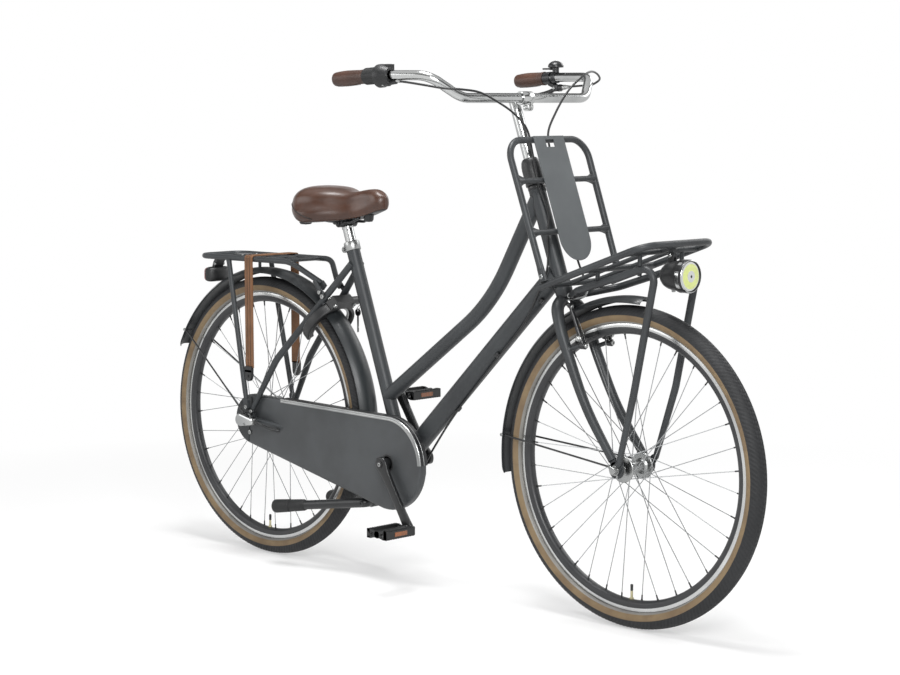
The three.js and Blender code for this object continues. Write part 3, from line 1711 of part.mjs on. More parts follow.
// An arc in the bike's side plane, with frames that keep the section's x pointing away from its centre.
class ArcPath extends THREE.Curve {
  constructor(centreX, radius, from, to, steps) {
    super();
    Object.assign(this, { centreX, radius, from, to, steps });
  }
  getPoint(share) {
    const angle = this.from + (this.to - this.from) * share;
    return at(
      this.centreX + this.radius * Math.cos(angle),
      0,
      axleHeight + this.radius * Math.sin(angle),
    );
  }
  computeFrenetFrames(steps) {
    const tangents = [];
    const normals = [];
    const binormals = [];
    for (let i = 0; i <= steps; i++) {
      const angle = this.from + ((this.to - this.from) * i) / steps;
      normals.push(at(Math.cos(angle), 0, Math.sin(angle)));
      binormals.push(at(0, 1, 0));
      tangents.push(at(-Math.sin(angle), 0, Math.cos(angle)));
    }
    return { tangents, normals, binormals };
  }
}

// How far a fender's underside lies below its crown line at a distance from the middle.
function fenderDrop(y) {
  const quarter = fenderHalfWidth / 2;
  const rise = (place) => fenderCrown * (1 - Math.pow(place / fenderHalfWidth, 2.2));
  const share = (Math.abs(y) - quarter) / quarter;
  return fenderCrown - rise(quarter) * (1 - share) + fenderThickness;
}

// The distance from the axle to a many-sided arc, at an angle in degrees.
function arcReach(arc, angle) {
  const step = (arc.to - arc.from) / arc.steps;
  const middle = (Math.floor((angle - arc.from) / step) + 1 / 2) * step + arc.from;
  return (arc.radius * Math.cos((step * degree) / 2)) / Math.cos((angle - middle) * degree);
}

// A wire that runs from one dropout up over the fender's edges and down to the other dropout.
function fenderWire(axleX, arc, angle, foot, footY) {
  const direction = at(Math.cos(angle * degree), 0, Math.sin(angle * degree));
  const y = fenderHalfWidth - fenderWireRadius * 2;
  const reach = arcReach(arc, angle) - fenderDrop(y) - fenderWireRadius - gap;
  const edge = at(axleX, 0, axleHeight).addScaledVector(direction, reach);
  return bentTube(
    [
      at(foot.x, -footY, foot.z),
      at(edge.x, -y, edge.z),
      at(edge.x, y, edge.z),
      at(foot.x, footY, foot.z),
    ],
    [7, 7],
    fenderWireRadius,
    6,
    2,
  );
}

addPiece("front_fender", fender(frontAxleX, frontFenderArc), "frame");
const stayDents = [-1, 1].flatMap((side) => [
  seatStay(side, holeRadius(seatStayRadius, gap * 2, 6), 6),
  chainStay(side, holeRadius(chainStayRadius, gap * 2, 6), 6),
]);
const rearFender = solid(fender(0, rearFenderArc));
addSolid("rear_fender", cutFrom(rearFender, stayDents), "frame");
const frontEyeY = frontDropoutHalf + dropoutThickness + fenderWireRadius + gap * 2;
addPiece(
  "front_fender_stay",
  fenderWire(frontAxleX, frontFenderArc, 174, at(frontAxleX - dropoutRadius * 0.7, 0, axleHeight + 6), frontEyeY),
  "blackMetal",
);
const rearEyeY = rearDropoutHalf + dropoutThickness + fenderWireRadius + gap * 2;
addPiece(
  "rear_fender_stay",
  fenderWire(0, rearFenderArc, 147, at(-dropoutRadius * 0.7, 0, axleHeight + 8), rearEyeY),
  "blackMetal",
);

// Front rim brake

const armDirection = at(brakePivotX - frontAxleX, 0, brakePivotHeight - axleHeight).normalize();

// A point on a brake arm: along it from the pivot, inwards and forwards.
function armPoint(side, distance, inward, forward) {
  const pivot = at(brakePivotX, side * (brakePivotSpread - 2), brakePivotHeight);
  return pivot.addScaledVector(armDirection, distance).add(at(forward, -side * inward, 0));
}

function brakeArm(side) {
  const hub = rod(armPoint(side, 0, 0, 2), armPoint(side, 0, 0, 15), 8, 10);
  const arm = bentTube(
    [
      armPoint(side, 0, 0, brakeArmForward),
      armPoint(side, brakeArmLength * brakeArmKneeShare, -2, brakeArmForward),
      armPoint(side, brakeArmLength, brakeArmLean, brakeArmForward),
    ],
    [60],
    brakeArmHalf,
    6,
    2,
  );
  const padFace = brakePivotSpread - 2 - rimHalfWidth - brakePadRoom;
  const tangent = at(-armDirection.z, 0, armDirection.x);
  const pad = new THREE.BoxGeometry(brakePadLength, brakePadDepth, brakePadHeight);
  pad.rotateY(-Math.atan2(tangent.z, tangent.x));
  const padCentre = armPoint(side, brakeTrackRise, padFace - brakePadDepth / 2, brakePadForward);
  pad.translate(padCentre.x, padCentre.y, padCentre.z);
  const post = rod(
    armPoint(side, brakeTrackRise, 0, brakeArmForward),
    armPoint(side, brakeTrackRise, padFace - brakePadDepth, brakePadForward),
    3.4,
    8,
  );
  return join([hub, arm, pad, post]);
}
addSolid("brake_arm_right", brakeArm(-1), "black");
addSolid("brake_arm_left", brakeArm(1), "black");

// Chain drive

function pitchRadius(teeth) {
  return chainPitch / 2 / Math.sin(Math.PI / teeth);
}

function toothedWheel(teeth, x, z, boreRadius, thickness) {
  const pitch = pitchRadius(teeth);
  const points = [];
  for (let i = 0; i < teeth; i++) {
    const angle = (2 * Math.PI * i) / teeth;
    const step = Math.PI / teeth;
    const root = pitch - toothHeight;
    const tip = pitch + toothHeight / 2;
    points.push([x + root * Math.cos(angle), z + root * Math.sin(angle)]);
    points.push([x + tip * Math.cos(angle + step), z + tip * Math.sin(angle + step)]);
  }
  const shape = shapeOf(points);
  const hole = new THREE.Path();
  hole.absarc(x, z, boreRadius, 0, 2 * Math.PI, true);
  shape.holes.push(hole);
  const y = -chainPlane;
  return sidePlate(shape, y - thickness / 2, y + thickness / 2, 6);
}

// The chain as one closed loop that lies just outside both toothed wheels.
function chainLoop() {
  const room = toothHeight / 2 + 4 * gap;
  const innerRing = [pitchRadius(sprocketTeeth) + room, pitchRadius(chainringTeeth) + room];
  const outerRing = innerRing.map((radius) => radius + chainThickness);
  const outline = (radii) => beltShape(0, axleHeight, radii[0], bracketX, bracketHeight, radii[1], 14);
  const shape = shapeOf(outline(outerRing));
  const hole = new THREE.Path();
  outline(innerRing).forEach(([x, y], i) => (i ? hole.lineTo(x, y) : hole.moveTo(x, y)));
  hole.closePath();
  shape.holes.push(hole);
  return sidePlate(shape, -chainPlane - chainWidth / 2, -chainPlane + chainWidth / 2, 1);
}

function chainring() {
  return toothedWheel(chainringTeeth, bracketX, bracketHeight, spindleRadius + gap, chainringThickness);
}

const driverInner = rearHub.half + rearHub.nose + gap;

function rearSprocket() {
  const bore = rearAxleRadius + runningGap;
  const wheel = toothedWheel(sprocketTeeth, 0, axleHeight, bore + 4, chainringThickness);
  const driver = crossRod(0, axleHeight, -driverInner, chainringThickness / 2 - chainPlane, driverRadius, 10);
  const outer = overrun - driverInner;
  return cutFrom(join([wheel, driver]), [crossRod(0, axleHeight, outer, -2 * chainPlane, bore, 8)]);
}

addPiece("chain", chainLoop(), "chain");
addPiece("chainring", chainring(), "blackMetal");
addSolid("rear_sprocket", rearSprocket(), "blackMetal");

// Chain case: an outer dish, an inner dish and a bright edge strip

function caseShape(inset, segments = 12) {
  return shapeOf(
    beltShape(0, axleHeight, caseRearRadius - inset, bracketX, bracketHeight, caseFrontRadius - inset, segments),
  );
}

// Room in the case for the chain stay and for the gear cable beneath it.
function caseClearances() {
  return [
    chainStay(-1, holeRadius(chainStayRadius, stayRoom, 6), 6),
    seatStay(-1, holeRadius(seatStayRadius, stayRoom, 6), 6),
    gearCableTube(cableRadius + stayRoom, 5),
  ];
}

function caseOuter() {
  const split = -(caseInnerFace + caseWall + gap);
  const shell = solid(sidePlate(caseShape(0), split, -caseOuterFace));
  const hollow = sidePlate(caseShape(caseWall), split + overrun, -caseOuterFace + caseWall);
  return cutFrom(shell, [
    hollow,
    crossRod(bracketX, bracketHeight, split, -caseOuterFace - overrun, caseCrankHole, 16),
    crossRod(0, axleHeight, split, -caseOuterFace - overrun, caseAxleHole, 12),
    ...caseClearances(),
  ]);
}

function caseInner() {
  const plate = solid(sidePlate(caseShape(caseWall + gap), -caseInnerFace, -caseInnerFace - caseWall));
  return cutFrom(plate, [
    crossRod(bracketX, bracketHeight, 0, -caseOuterFace, bracketShellRadius + 3, 14),
    crossRod(0, axleHeight, 0, -caseOuterFace, rearHubBody * 0.75, 14),
    ...caseClearances(),
  ]);
}

// The bright strip over the case's upper edge, folded over both of its sides.
function caseTrim() {
  const outer = caseShape(-trimThickness - gap);
  const face = -caseOuterFace - gap - trimThickness;
  const back = -caseInnerFace + gap + trimThickness;
  const band = solid(sidePlate(outer, back, face));
  const core = sidePlate(caseShape(-gap), -caseInnerFace + gap, -caseOuterFace - gap);
  const frontLip = sidePlate(caseShape(trimWidth), -caseOuterFace, face - overrun);
  const backLip = sidePlate(caseShape(trimLip), back + overrun, -caseInnerFace);
  const big = 2 * axleSpacing;
  const behind = block(at(-big, -big, 0), at(trimEndX, big, big));
  const below = block(at(-big, -big, -big), at(big, big, bracketHeight));
  return cutFrom(band, [core, frontLip, backLip, behind, below]);
}

// Cables

// A point beside the down tube: its x, how far below the axis and how far to the left.
function underDownTube(x, below, left) {
  const top = steerPoint(downTubeTop);
  const slope = Math.atan2(top.z - bracketHeight, top.x - bracketX);
  const axisHeight = bracketHeight + (x - bracketX) * Math.tan(slope);
  return at(x + below * Math.sin(slope), left, axisHeight - below * Math.cos(slope));
}

// A point just under the right chain stay.
function underChainStay(x) {
  const [front, knee, end] = chainStayCorners(-1);
  const place = x > knee.x ? onRun(front, knee, x) : onRun(knee, end, x);
  return place.add(at(0, 0, -(chainStayRadius + cableRadius + cableRoom)));
}

function gearCableTube(radius, sides) {
  const below = downTubeRadius + cableRadius + cableRoom;
  const points = [
    bySteering(862, 13, -headTubeRadius),
    bySteering(815, 2, -headTubeRadius - cableRadius - cableRoom - 1),
    at(steerX(780) - 10, -downTubeRadius - cableRadius - cableRoom, 780),
    underDownTube(936, below * 0.42, -below * 0.93),
    underDownTube(880, below * 0.86, -below * 0.55),
    underDownTube(800, below * 0.92, -below * 0.44),
    underDownTube(640, below * 1.04, -below * 0.12),
    at(588, 0, 330),
    at(560, 0, 292),
    at(528, -3, 264),
    at(497, -9, 263),
    underChainStay(458),
    underChainStay(400),
    underChainStay(260),
    underChainStay(140),
    at(104, -57, 331),
    at(84, -78, 338),
    at(shiftBoxFront + 16, shiftBoxY, axleHeight - 6),
    at(shiftBoxFront + gap * 2, shiftBoxY, axleHeight - 3),
  ];
  return curvedTube(points, 28, radius, radius, sides);
}
addPiece("gear_cable_frame", gearCableTube(cableRadius, 5), "black");

// The gear cable's run that turns with the bars, from the shifter to the head tube.
function gearCableBar() {
  const start = shifterNose();
  const points = [
    start.clone().add(at(gap, 0, 0)),
    start.clone().add(at(30, 2, -3)),
    at(846, -281, 1191),
    at(888, -265, 1184),
    at(913, -232, 1181),
    at(923, -188, 1175),
    at(924, -130, 1154),
    at(926, -76, 1126),
    at(930, -42, 1093),
    at(936, -30, 1040),
    at(950, -25, 970),
    bySteering(892, 26, -15),
    bySteering(866, 17, -19),
  ];
  return curvedTube(points, 16, cableRadius, cableRadius, 5);
}
addPiece("gear_cable_bar", gearCableBar(), "black");

// The front brake's cable, from the lever to the bent metal guide over the brake arms.
function brakeCable() {
  const noodleEnd = brakeNoodleEnd();
  const hinge = leverPivot();
  const { along: grip } = gripFrame(1);
  const start = hinge.clone().addScaledVector(grip, leverBarrelEnd + gap);
  const points = [
    start,
    start.clone().addScaledVector(grip, 36),
    at(834, 291, 1193),
    at(872, 284, 1205),
    at(890, 261, 1214),
    at(904, 230, 1222),
    at(918, 194, 1223),
    at(932, 146, 1213),
    at(930, 98, 1180),
    at(924, 58, 1126),
    at(920, 40, 1084),
    at(934, 36, 1030),
    at(955, 34, 960),
    at(988, 33, 872),
    at(1018, 29, 804),
    at(1040, 25, 766),
    at(1055, 19, 743),
    at(1066, 2, 727),
    at(1066, -26, 721),
    noodleEnd.clone().addScaledVector(armDirection, cableRadius * 3),
    noodleEnd,
  ];
  return curvedTube(points, 23, cableRadius, cableRadius, 5);
}
addPiece("brake_cable", brakeCable(), "black");

// The chromed box on the right end of the rear axle that takes the gear cable's pull.
function shiftBox() {
  const z = axleHeight - 3;
  const shape = shapeOf(beltShape(-4, z, 16, shiftBoxFront - 9, z, 9, 8));
  const half = shiftBoxThickness / 2;
  return solid(sidePlate(shape, shiftBoxY - half, shiftBoxY + half));
}
addSolid("shift_box", shiftBox(), "chrome");

addSolid("chain_case_outer", caseOuter(), "frame");
addSolid("chain_case_inner", caseInner(), "frame");
addSolid("chain_case_trim", caseTrim(), "chrome");

// Bottom bracket, cranks and pedals

addSolid(
  "bottom_bracket",
  cutFrom(
    join([crossRod(bracketX, bracketHeight, -bracketShellHalf - 2, bracketShellHalf + 2, bracketBore - gap, 12)]),
    [crossRod(bracketX, bracketHeight, -bracketShellHalf - overrun, bracketShellHalf + overrun, holeRadius(spindleRadius, runningGap, 12), 12)],
  ),
  "blackMetal",
);

// A crank arm. The left one carries the spindle that joins both.
function crank(side) {
  const angle = (crankAngle + (side > 0 ? 180 : 0)) * degree;
  const inner = side * crankInnerFace;
  const outer = side * (crankInnerFace + crankThickness);
  const eye = at(
    bracketX + crankLength * Math.cos(angle),
    0,
    bracketHeight + crankLength * Math.sin(angle),
  );
  const shape = shapeOf(
    beltShape(bracketX, bracketHeight, crankHubRadius, eye.x, eye.z, crankEyeRadius, 7),
  );
  const waist = solid(sidePlate(shape, inner, outer));
  const pieces = [
    crossRod(bracketX, bracketHeight, outer, outer + side * 3, 8, 12),
    crossRod(eye.x, eye.z, outer - side * 2, outer + side * (pedalGap + pedalLength - 8), pedalAxleRadius, 10),
  ];
  let body = waist.add(join(pieces));
  if (side > 0) {
    const spindle = crossRod(bracketX, bracketHeight, inner, -crankInnerFace + gap, spindleRadius, 10);
    body = body.add(solid(spindle));
  } else {
    body = body.add(
      solid(crossRod(bracketX, bracketHeight, -crankInnerFace, -chainPlane - chainringThickness / 2 - gap, spindleRadius + 5, 12)),
    );
    body = cutFrom(body, [
      crossRod(bracketX, bracketHeight, -crankInnerFace, 0, holeRadius(spindleRadius, gap, 10), 10),
    ]);
  }
  return { body, eye };
}

// A block pedal: two long rubber rails between end plates, on a core that turns on the crank's pin.
function pedal(eye, side) {
  const start = side * (crankInnerFace + crankThickness + pedalGap);
  const end = start + side * pedalLength;
  const plate = 5;
  const low = eye.z - pedalHeight / 2;
  const high = eye.z + pedalHeight / 2;
  const pieces = [crossRod(eye.x, eye.z, start, end, pedalCore, 12)];
  [start, end - side * plate].forEach((y) => {
    pieces.push(
      block(
        at(eye.x - pedalWidth / 2, Math.min(y, y + side * plate), low),
        at(eye.x + pedalWidth / 2, Math.max(y, y + side * plate), high),
      ),
    );
  });
  [-1, 1].forEach((way) => {
    const x = eye.x + (way * (pedalWidth - pedalRail)) / 2;
    pieces.push(
      block(
        at(x - pedalRail / 2, Math.min(start, end), low),
        at(x + pedalRail / 2, Math.max(start, end), high),
      ),
    );
  });
  return cutFrom(join(pieces), [
    crossRod(eye.x, eye.z, start - side * overrun, end - side * 5, pedalAxleRadius + runningGap, 12),
  ]);
}

const rightCrank = crank(-1);
const leftCrank = crank(1);
addSolid("crank_right", rightCrank.body, "blackMetal");
addSolid("crank_left", leftCrank.body, "blackMetal");
addSolid("pedal_right", pedal(rightCrank.eye, -1), "black");
addSolid("pedal_left", pedal(leftCrank.eye, 1), "black");

// Rear carrier with its legs

function rackCorners() {
  const w = rackHalfWidth;
  const run = (side) => [
    at(carrierBossX - 20, side * rackFrontSpread, rackFrontHeight),
    at(rackBendX + 26, side * w, rackHeight),
    at(rackRearX, side * w, rackHeight),
  ];
  return [...run(-1), ...run(1).reverse()];
}

function rearCarrier() {
  const pieces = [
    bentTube(rackCorners(), [60, rackCornerBend, rackCornerBend, 60], rackTubeRadius, 6, 2),
  ];
  const crossPlaces = [rackRearX + 70, strapX + 24, rackBendX - 12];
  crossPlaces.forEach((x) => {
    pieces.push(rod(at(x, -rackHalfWidth, rackHeight), at(x, rackHalfWidth, rackHeight), rackTubeRadius * 0.7, 4));
  });
  const rodTop = rackHeight + rackTubeRadius * 0.7;
  [-1, 1].forEach((side) => {
    const y = (side * rackHalfWidth) / 3;
    pieces.push(rod(at(rackRearX + 60, y, rackHeight), at(rackBendX - 8, y, rackHeight), rackRodRadius, 4));
  });
  pieces.push(
    block(at(rackRearX + 66, -rackHalfWidth / 3, rackHeight), at(rackRearX + 108, rackHalfWidth / 3, rodTop)),
  );
  [-1, 1].forEach((side) => {
    const y = side * (rackHalfWidth + 1);
    const footY = side * (rearDropoutHalf + dropoutThickness + gap + legFootHalf / 2);
    const foot = at(legBottomX, footY, legBottomHeight);
    pieces.push(rod(at(legTopX, y, rackHeight - 2), foot, legRadius, 5));
    pieces.push(
      block(
        at(foot.x - legFootHalf, footY - legFootHalf / 2, axleHeight + 22),
        at(foot.x + legFootHalf, footY + legFootHalf / 2, foot.z + 4),
      ),
    );
  });
  const postX = legTopX + 40;
  const postTop = rackHeight;
  const postAngle = Math.acos(postX / fenderRadius);
  const postReach = arcReach(rearFenderArc, postAngle / degree) + gap;
  const postFoot = at(postX, 0, axleHeight + postReach * Math.sin(postAngle) - rackPostRadius / Math.tan(postAngle));
  pieces.push(rod(postFoot, at(postX, 0, postTop), rackPostRadius, 6));
  const postHalf = rackHalfWidth / 3;
  pieces.push(rod(at(postX, -postHalf, postTop), at(postX, postHalf, postTop), rackPostRadius, 6));
  return join(pieces);
}
addSolid("rear_carrier", rearCarrier(), "frame");

// One strap over the deck, hooked near the foot of each leg
function luggageStrap() {
  const top = rackHeight + rackTubeRadius + strapThickness + gap;
  const y = rackHalfWidth + rackTubeRadius + strapThickness + gap;
  const low = axleHeight + 130;
  const centreTop = top - strapThickness / 2;
  const bend = rackTubeRadius;
  const pieces = [
    block(at(strapX - strapWidth / 2, -y + bend, centreTop - strapThickness / 2), at(strapX + strapWidth / 2, y - bend, top)),
  ];
  [-1, 1].forEach((side) => {
    const outer = side * y;
    const inner = side * (y - strapThickness);
    pieces.push(
      block(at(strapX - strapWidth / 2, Math.min(outer, inner), low), at(strapX + strapWidth / 2, Math.max(outer, inner), top - bend)),
    );
    const corner = crossCorner(side, y, top, bend);
    pieces.push(corner);
    const hookOut = side * (y + 5);
    pieces.push(
      block(
        at(strapX - strapWidth * 0.4, Math.min(inner, hookOut), low - strapHookLength),
        at(strapX + strapWidth * 0.4, Math.max(inner, hookOut), low + 4),
      ),
    );
  });
  return join(pieces);
}

// The round turn of the strap over the carrier's edge.
function crossCorner(side, y, top, bend) {
  const shape = new THREE.Shape();
  const centreY = side * (y - bend);
  const centreZ = top - bend;
  const start = side > 0 ? 0 : Math.PI / 2;
  shape.absarc(centreY, centreZ, bend, start, start + Math.PI / 2, false);
  shape.absarc(centreY, centreZ, bend - strapThickness, start + Math.PI / 2, start, true);
  shape.closePath();
  const geometry = new THREE.ExtrudeGeometry(shape, {
    depth: strapWidth,
    bevelEnabled: false,
    curveSegments: 3,
  });
  geometry.rotateX(Math.PI / 2).rotateZ(Math.PI / 2);
  return geometry.translate(strapX - strapWidth / 2, 0, 0);
}
addSolid("luggage_strap", luggageStrap(), "strap");

// Tail light under the rear of the deck
function tailLight() {
  const top = tailLightTop;
  const low = top - tailLightHeight;
  const body = block(at(tailLightX - tailLightDepth / 2, -tailLightHalfWidth, low), at(tailLightX + tailLightDepth / 2, tailLightHalfWidth, top));
  const bracket = block(
    at(tailLightX - 6, -14, top - 2),
    at(rackRearX + 3, 14, rackHeight - rackTubeRadius - gap),
  );
  return join([body, bracket]);
}
addSolid("tail_light", tailLight(), "black");

// Ring lock over the rear wheel

// Moves a shape drawn in the lock's plane (x across, y outwards) into place.
function inLockPlane(geometry) {
  const frame = new THREE.Matrix4().makeBasis(at(0, 1, 0), lockOut.clone(), lockNormal.clone().negate());
  frame.setPosition(lockCentre);
  if (frame.determinant() < 0) throw new Error("the lock's frame is left-handed");
  return geometry.applyMatrix4(frame);
}

function arcBand(inner, outer, from, to, depth, segments = 14) {
  const shape = new THREE.Shape();
  shape.absarc(0, 0, outer, from, to, false);
  shape.absarc(0, 0, inner, to, from, true);
  shape.closePath();
  const geometry = new THREE.ExtrudeGeometry(shape, { depth, bevelEnabled: false, curveSegments: segments });
  return geometry.translate(0, 0, -depth / 2);
}

function ringLockBody() {
  const inner = shackleRing - shackleRadius - shackleRoom - 2;
  const outer = shackleRing + lockWall;
  const shell = arcBand(inner, outer, -40 * degree, 220 * degree, lockThickness, 7);
  const housing = new THREE.BoxGeometry(74, 24, lockThickness).translate(0, outer + 4, 0);
  const channel = arcBand(
    shackleRing - shackleRadius - shackleRoom,
    shackleRing + shackleRadius + shackleRoom,
    -60 * degree,
    240 * degree,
    2 * (shackleRadius + shackleRoom),
    8,
  );
  const barrel = new THREE.CylinderGeometry(lockBarrelRadius, lockBarrelRadius, lockBarrelReach, 10);
  barrel.rotateZ(Math.PI / 2).translate(lockBarrelReach / 2 + 8, outer - 1, -6);
  return cutFrom(join([inLockPlane(shell), inLockPlane(housing), inLockPlane(barrel)]), [inLockPlane(channel)]);
}

function lockShackle() {
  const ring = arcBand(
    shackleRing - shackleRadius,
    shackleRing + shackleRadius,
    -30 * degree,
    130 * degree,
    2 * shackleRadius,
    6,
  );
  return inLockPlane(ring);
}
// The key in the end of the lock's barrel: a round bow on a short neck.
function lockKey() {
  const outer = shackleRing + lockWall;
  const start = lockBarrelReach + 8 + gap;
  const neck = new THREE.BoxGeometry(keyNeck, 6, keyThickness).translate(start + keyNeck / 2, outer - 1, -6);
  const bow = new THREE.CylinderGeometry(keyBow, keyBow, keyThickness, 14).rotateX(Math.PI / 2);
  bow.translate(start + keyNeck + keyBow * 0.8, outer - 1, -6);
  return join([inLockPlane(neck), inLockPlane(bow)]);
}
addSolid("ring_lock_body", ringLockBody(), "black");
addPiece("lock_shackle", lockShackle(), "blackMetal");
addSolid("lock_key", lockKey(), "blackMetal");

// Centre stand

// Both legs on one cross shaft, each with a rubber foot.
function standLegs() {
  const inner = standEyeHalf + gap;
  const pieces = [
    crossRod(standPivotX, standPivotHeight, -standLegSpread, standLegSpread, standTubeRadius, 12),
  ];
  [-1, 1].forEach((side) => {
    const knee = at(standPivotX, side * standLegSpread, standPivotHeight);
    const foot = at(standFootX, side * standFootSpread, standFootHeight);
    const along = knee.clone().sub(foot).normalize();
    pieces.push(rod(foot, knee.clone().addScaledVector(along, 3), standLegRadius, 7));
    pieces.push(rod(foot.clone().addScaledVector(along, -5), foot.clone().addScaledVector(along, standFootLength), standFootRadius, 8));
    const from = side * inner;
    const to = side * (standLegSpread + 4);
    pieces.push(crossRod(standPivotX, standPivotHeight, from, to, standLegRadius, 8));
  });
  return join(pieces);
}
addSolid("kickstand_legs", standLegs(), "black");

// Origin: on the ground, midway between the axles.
bike.position.x = -axleSpacing / 2;

export default bike;
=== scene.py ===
"""A dutch city bike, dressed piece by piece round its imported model.

Lengths in the classes are millimetres, with x from the rear axle, y to the rider's left and z from
the ground. The Piece class turns them into the frame's metres when it makes a mesh. A profile is a
list of radius and place along an axis; an outline is a list of two places in a plane.
"""
import logging
import math
from dataclasses import dataclass, field
from enum import Enum
from typing import Callable, Sequence

import bmesh
import bpy
from mathutils import Matrix, Vector
from mathutils.geometry import tessellate_polygon


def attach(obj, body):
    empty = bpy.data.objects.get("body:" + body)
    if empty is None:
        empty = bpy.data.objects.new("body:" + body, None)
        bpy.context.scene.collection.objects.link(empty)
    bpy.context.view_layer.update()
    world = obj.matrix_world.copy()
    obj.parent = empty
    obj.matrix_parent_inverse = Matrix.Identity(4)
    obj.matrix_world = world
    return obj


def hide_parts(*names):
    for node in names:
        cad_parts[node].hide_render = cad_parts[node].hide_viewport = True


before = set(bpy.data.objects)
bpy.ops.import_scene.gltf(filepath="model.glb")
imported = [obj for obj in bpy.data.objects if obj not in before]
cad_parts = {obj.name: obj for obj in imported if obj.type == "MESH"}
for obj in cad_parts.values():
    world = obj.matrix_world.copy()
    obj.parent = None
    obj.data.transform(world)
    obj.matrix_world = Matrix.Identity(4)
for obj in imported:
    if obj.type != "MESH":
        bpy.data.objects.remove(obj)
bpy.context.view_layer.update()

log = logging.getLogger("city_bike")

WHEELBASE = 1205.0
AXLE_HEIGHT = 357.0
BRACKET = Vector((492.0, 0.0, 293.0))
STEER_TILT = math.radians(19.7)
STEER_COS, STEER_SIN = math.cos(STEER_TILT), math.sin(STEER_TILT)
STEER_FOOT = 1138.3
SEAT_TILT = math.radians(19.4)
SEAT_TUBE_LENGTH = 552.0
STEER_AXIS = Vector((-STEER_SIN, 0.0, STEER_COS))
SEAT_AXIS = Vector((-math.sin(SEAT_TILT), 0.0, math.cos(SEAT_TILT)))
SEAT_TUBE_TOP = BRACKET + SEAT_AXIS * SEAT_TUBE_LENGTH
UP = Vector((0.0, 0.0, 1.0))
LEFT = Vector((0.0, 1.0, 0.0))
AHEAD = Vector((1.0, 0.0, 0.0))
SIDES = (-1, 1)
NAMED_SIDES = ((-1, "right"), (1, "left"))
FULL_TURN = 2 * math.pi
METRE = 1000.0

Line = list[Vector]
Mark = int | Sequence[int] | Callable[[int, int], int]
Profile = Sequence[tuple[float, float]]
Outline = list[tuple[float, float]]


def vec(x: float, y: float, z: float) -> Vector:
    """The point at x, y, z."""
    return Vector((x, y, z))


def seat_point(height: float, left: float = 0.0) -> Vector:
    """The seat tube axis's point at a height."""
    return vec(BRACKET.x - (height - BRACKET.z) * math.tan(SEAT_TILT), left, height)


def steer_point(height: float, left: float = 0.0) -> Vector:
    """The steering axis's point at a height."""
    return vec(STEER_FOOT - (height - AXLE_HEIGHT) * math.tan(STEER_TILT), left, height)


def by_steering(height: float, forward: float, left: float) -> Vector:
    """A point beside the steering axis: ahead of it, square to it, and to the left."""
    return steer_point(height, left) + vec(STEER_COS, 0.0, STEER_SIN) * forward


def wheel_point(axle_x: float, reach: float, degrees: float, left: float = 0.0) -> Vector:
    """A point round an axle, at a reach and an angle from forwards."""
    angle = math.radians(degrees)
    return vec(axle_x + reach * math.cos(angle), left, AXLE_HEIGHT + reach * math.sin(angle))


def span(side: int, near: float, far: float) -> tuple[float, float]:
    """The lower and the higher of two distances from the middle, on one side."""
    low, high = sorted((side * near, side * far))
    return low, high


def at_x(start: Vector, end: Vector, x: float) -> Vector:
    """The point of a straight run where it passes x."""
    return start.lerp(end, (start.x - x) / (start.x - end.x))


def at_z(start: Vector, end: Vector, z: float) -> Vector:
    """The point of a straight run where it passes the height z."""
    return start.lerp(end, (start.z - z) / (start.z - end.z))


def bent(corners: Line, bends: Sequence[float], steps: int = 10) -> Line:
    """A line of straight runs whose corners are rounded.

    Args:
        corners: The ends and the corners.
        bends: The bend radius at each corner.
        steps: Points in each bend.

    Returns:
        The rounded line.
    """
    longest_cut = 0.48
    path = [corners[0].copy()]
    for before, corner, after, bend in zip(corners, corners[1:], corners[2:], bends):
        back, on = before - corner, after - corner
        half = back.angle(on) / 2
        cut = min(bend / math.tan(half), back.length * longest_cut, on.length * longest_cut)
        radius = cut * math.tan(half)
        back.normalize()
        on.normalize()
        centre = corner + (back + on).normalized() * (radius / math.sin(half))
        start, end = corner + back * cut - centre, corner + on * cut - centre
        turn = start.angle(end)
        for i in range(steps + 1):
            share = i / steps
            first = math.sin((1 - share) * turn) / math.sin(turn)
            second = math.sin(share * turn) / math.sin(turn)
            path.append(centre + start * first + end * second)
    path.append(corners[-1].copy())
    return path


def curved(points: Line, steps: int = 8) -> Line:
    """A smooth line through points, by the centripetal rule.

    Args:
        points: The points it passes.
        steps: Steps between two points.

    Returns:
        The smooth line.
    """
    row = [points[0] * 2 - points[1], *points, points[-1] * 2 - points[-2]]
    path: Line = []
    for a, b, c, d in zip(row, row[1:], row[2:], row[3:]):
        t1 = math.sqrt((b - a).length)
        t2 = t1 + math.sqrt((c - b).length)
        t3 = t2 + math.sqrt((d - c).length)
        for i in range(steps):
            t = t1 + (t2 - t1) * i / steps
            ab = a.lerp(b, t / t1)
            bc = b.lerp(c, (t - t1) / (t2 - t1))
            cd = c.lerp(d, (t - t2) / (t3 - t2))
            abc = ab.lerp(bc, t / t2)
            bcd = bc.lerp(cd, (t - t1) / (t3 - t1))
            path.append(abc.lerp(bcd, (t - t1) / (t2 - t1)))
    path.append(points[-1].copy())
    return path


def even(points: Line, gap: float) -> Line:
    """The points of a line at even gaps."""
    path = [points[0].copy()]
    rest = gap
    for before, after in zip(points, points[1:]):
        length = (after - before).length
        while rest <= length:
            path.append(before.lerp(after, rest / length))
            rest += gap
        rest -= length
    return path


def spread_radii(values: Sequence[float], count: int) -> list[float]:
    """Values spread evenly over a count of places, smooth between them."""
    radii = []
    for i in range(count):
        place = (len(values) - 1) * i / (count - 1)
        low = min(int(place), len(values) - 2)
        share = place - low
        share = share * share * (3 - 2 * share)
        radii.append(values[low] + (values[low + 1] - values[low]) * share)
    return radii


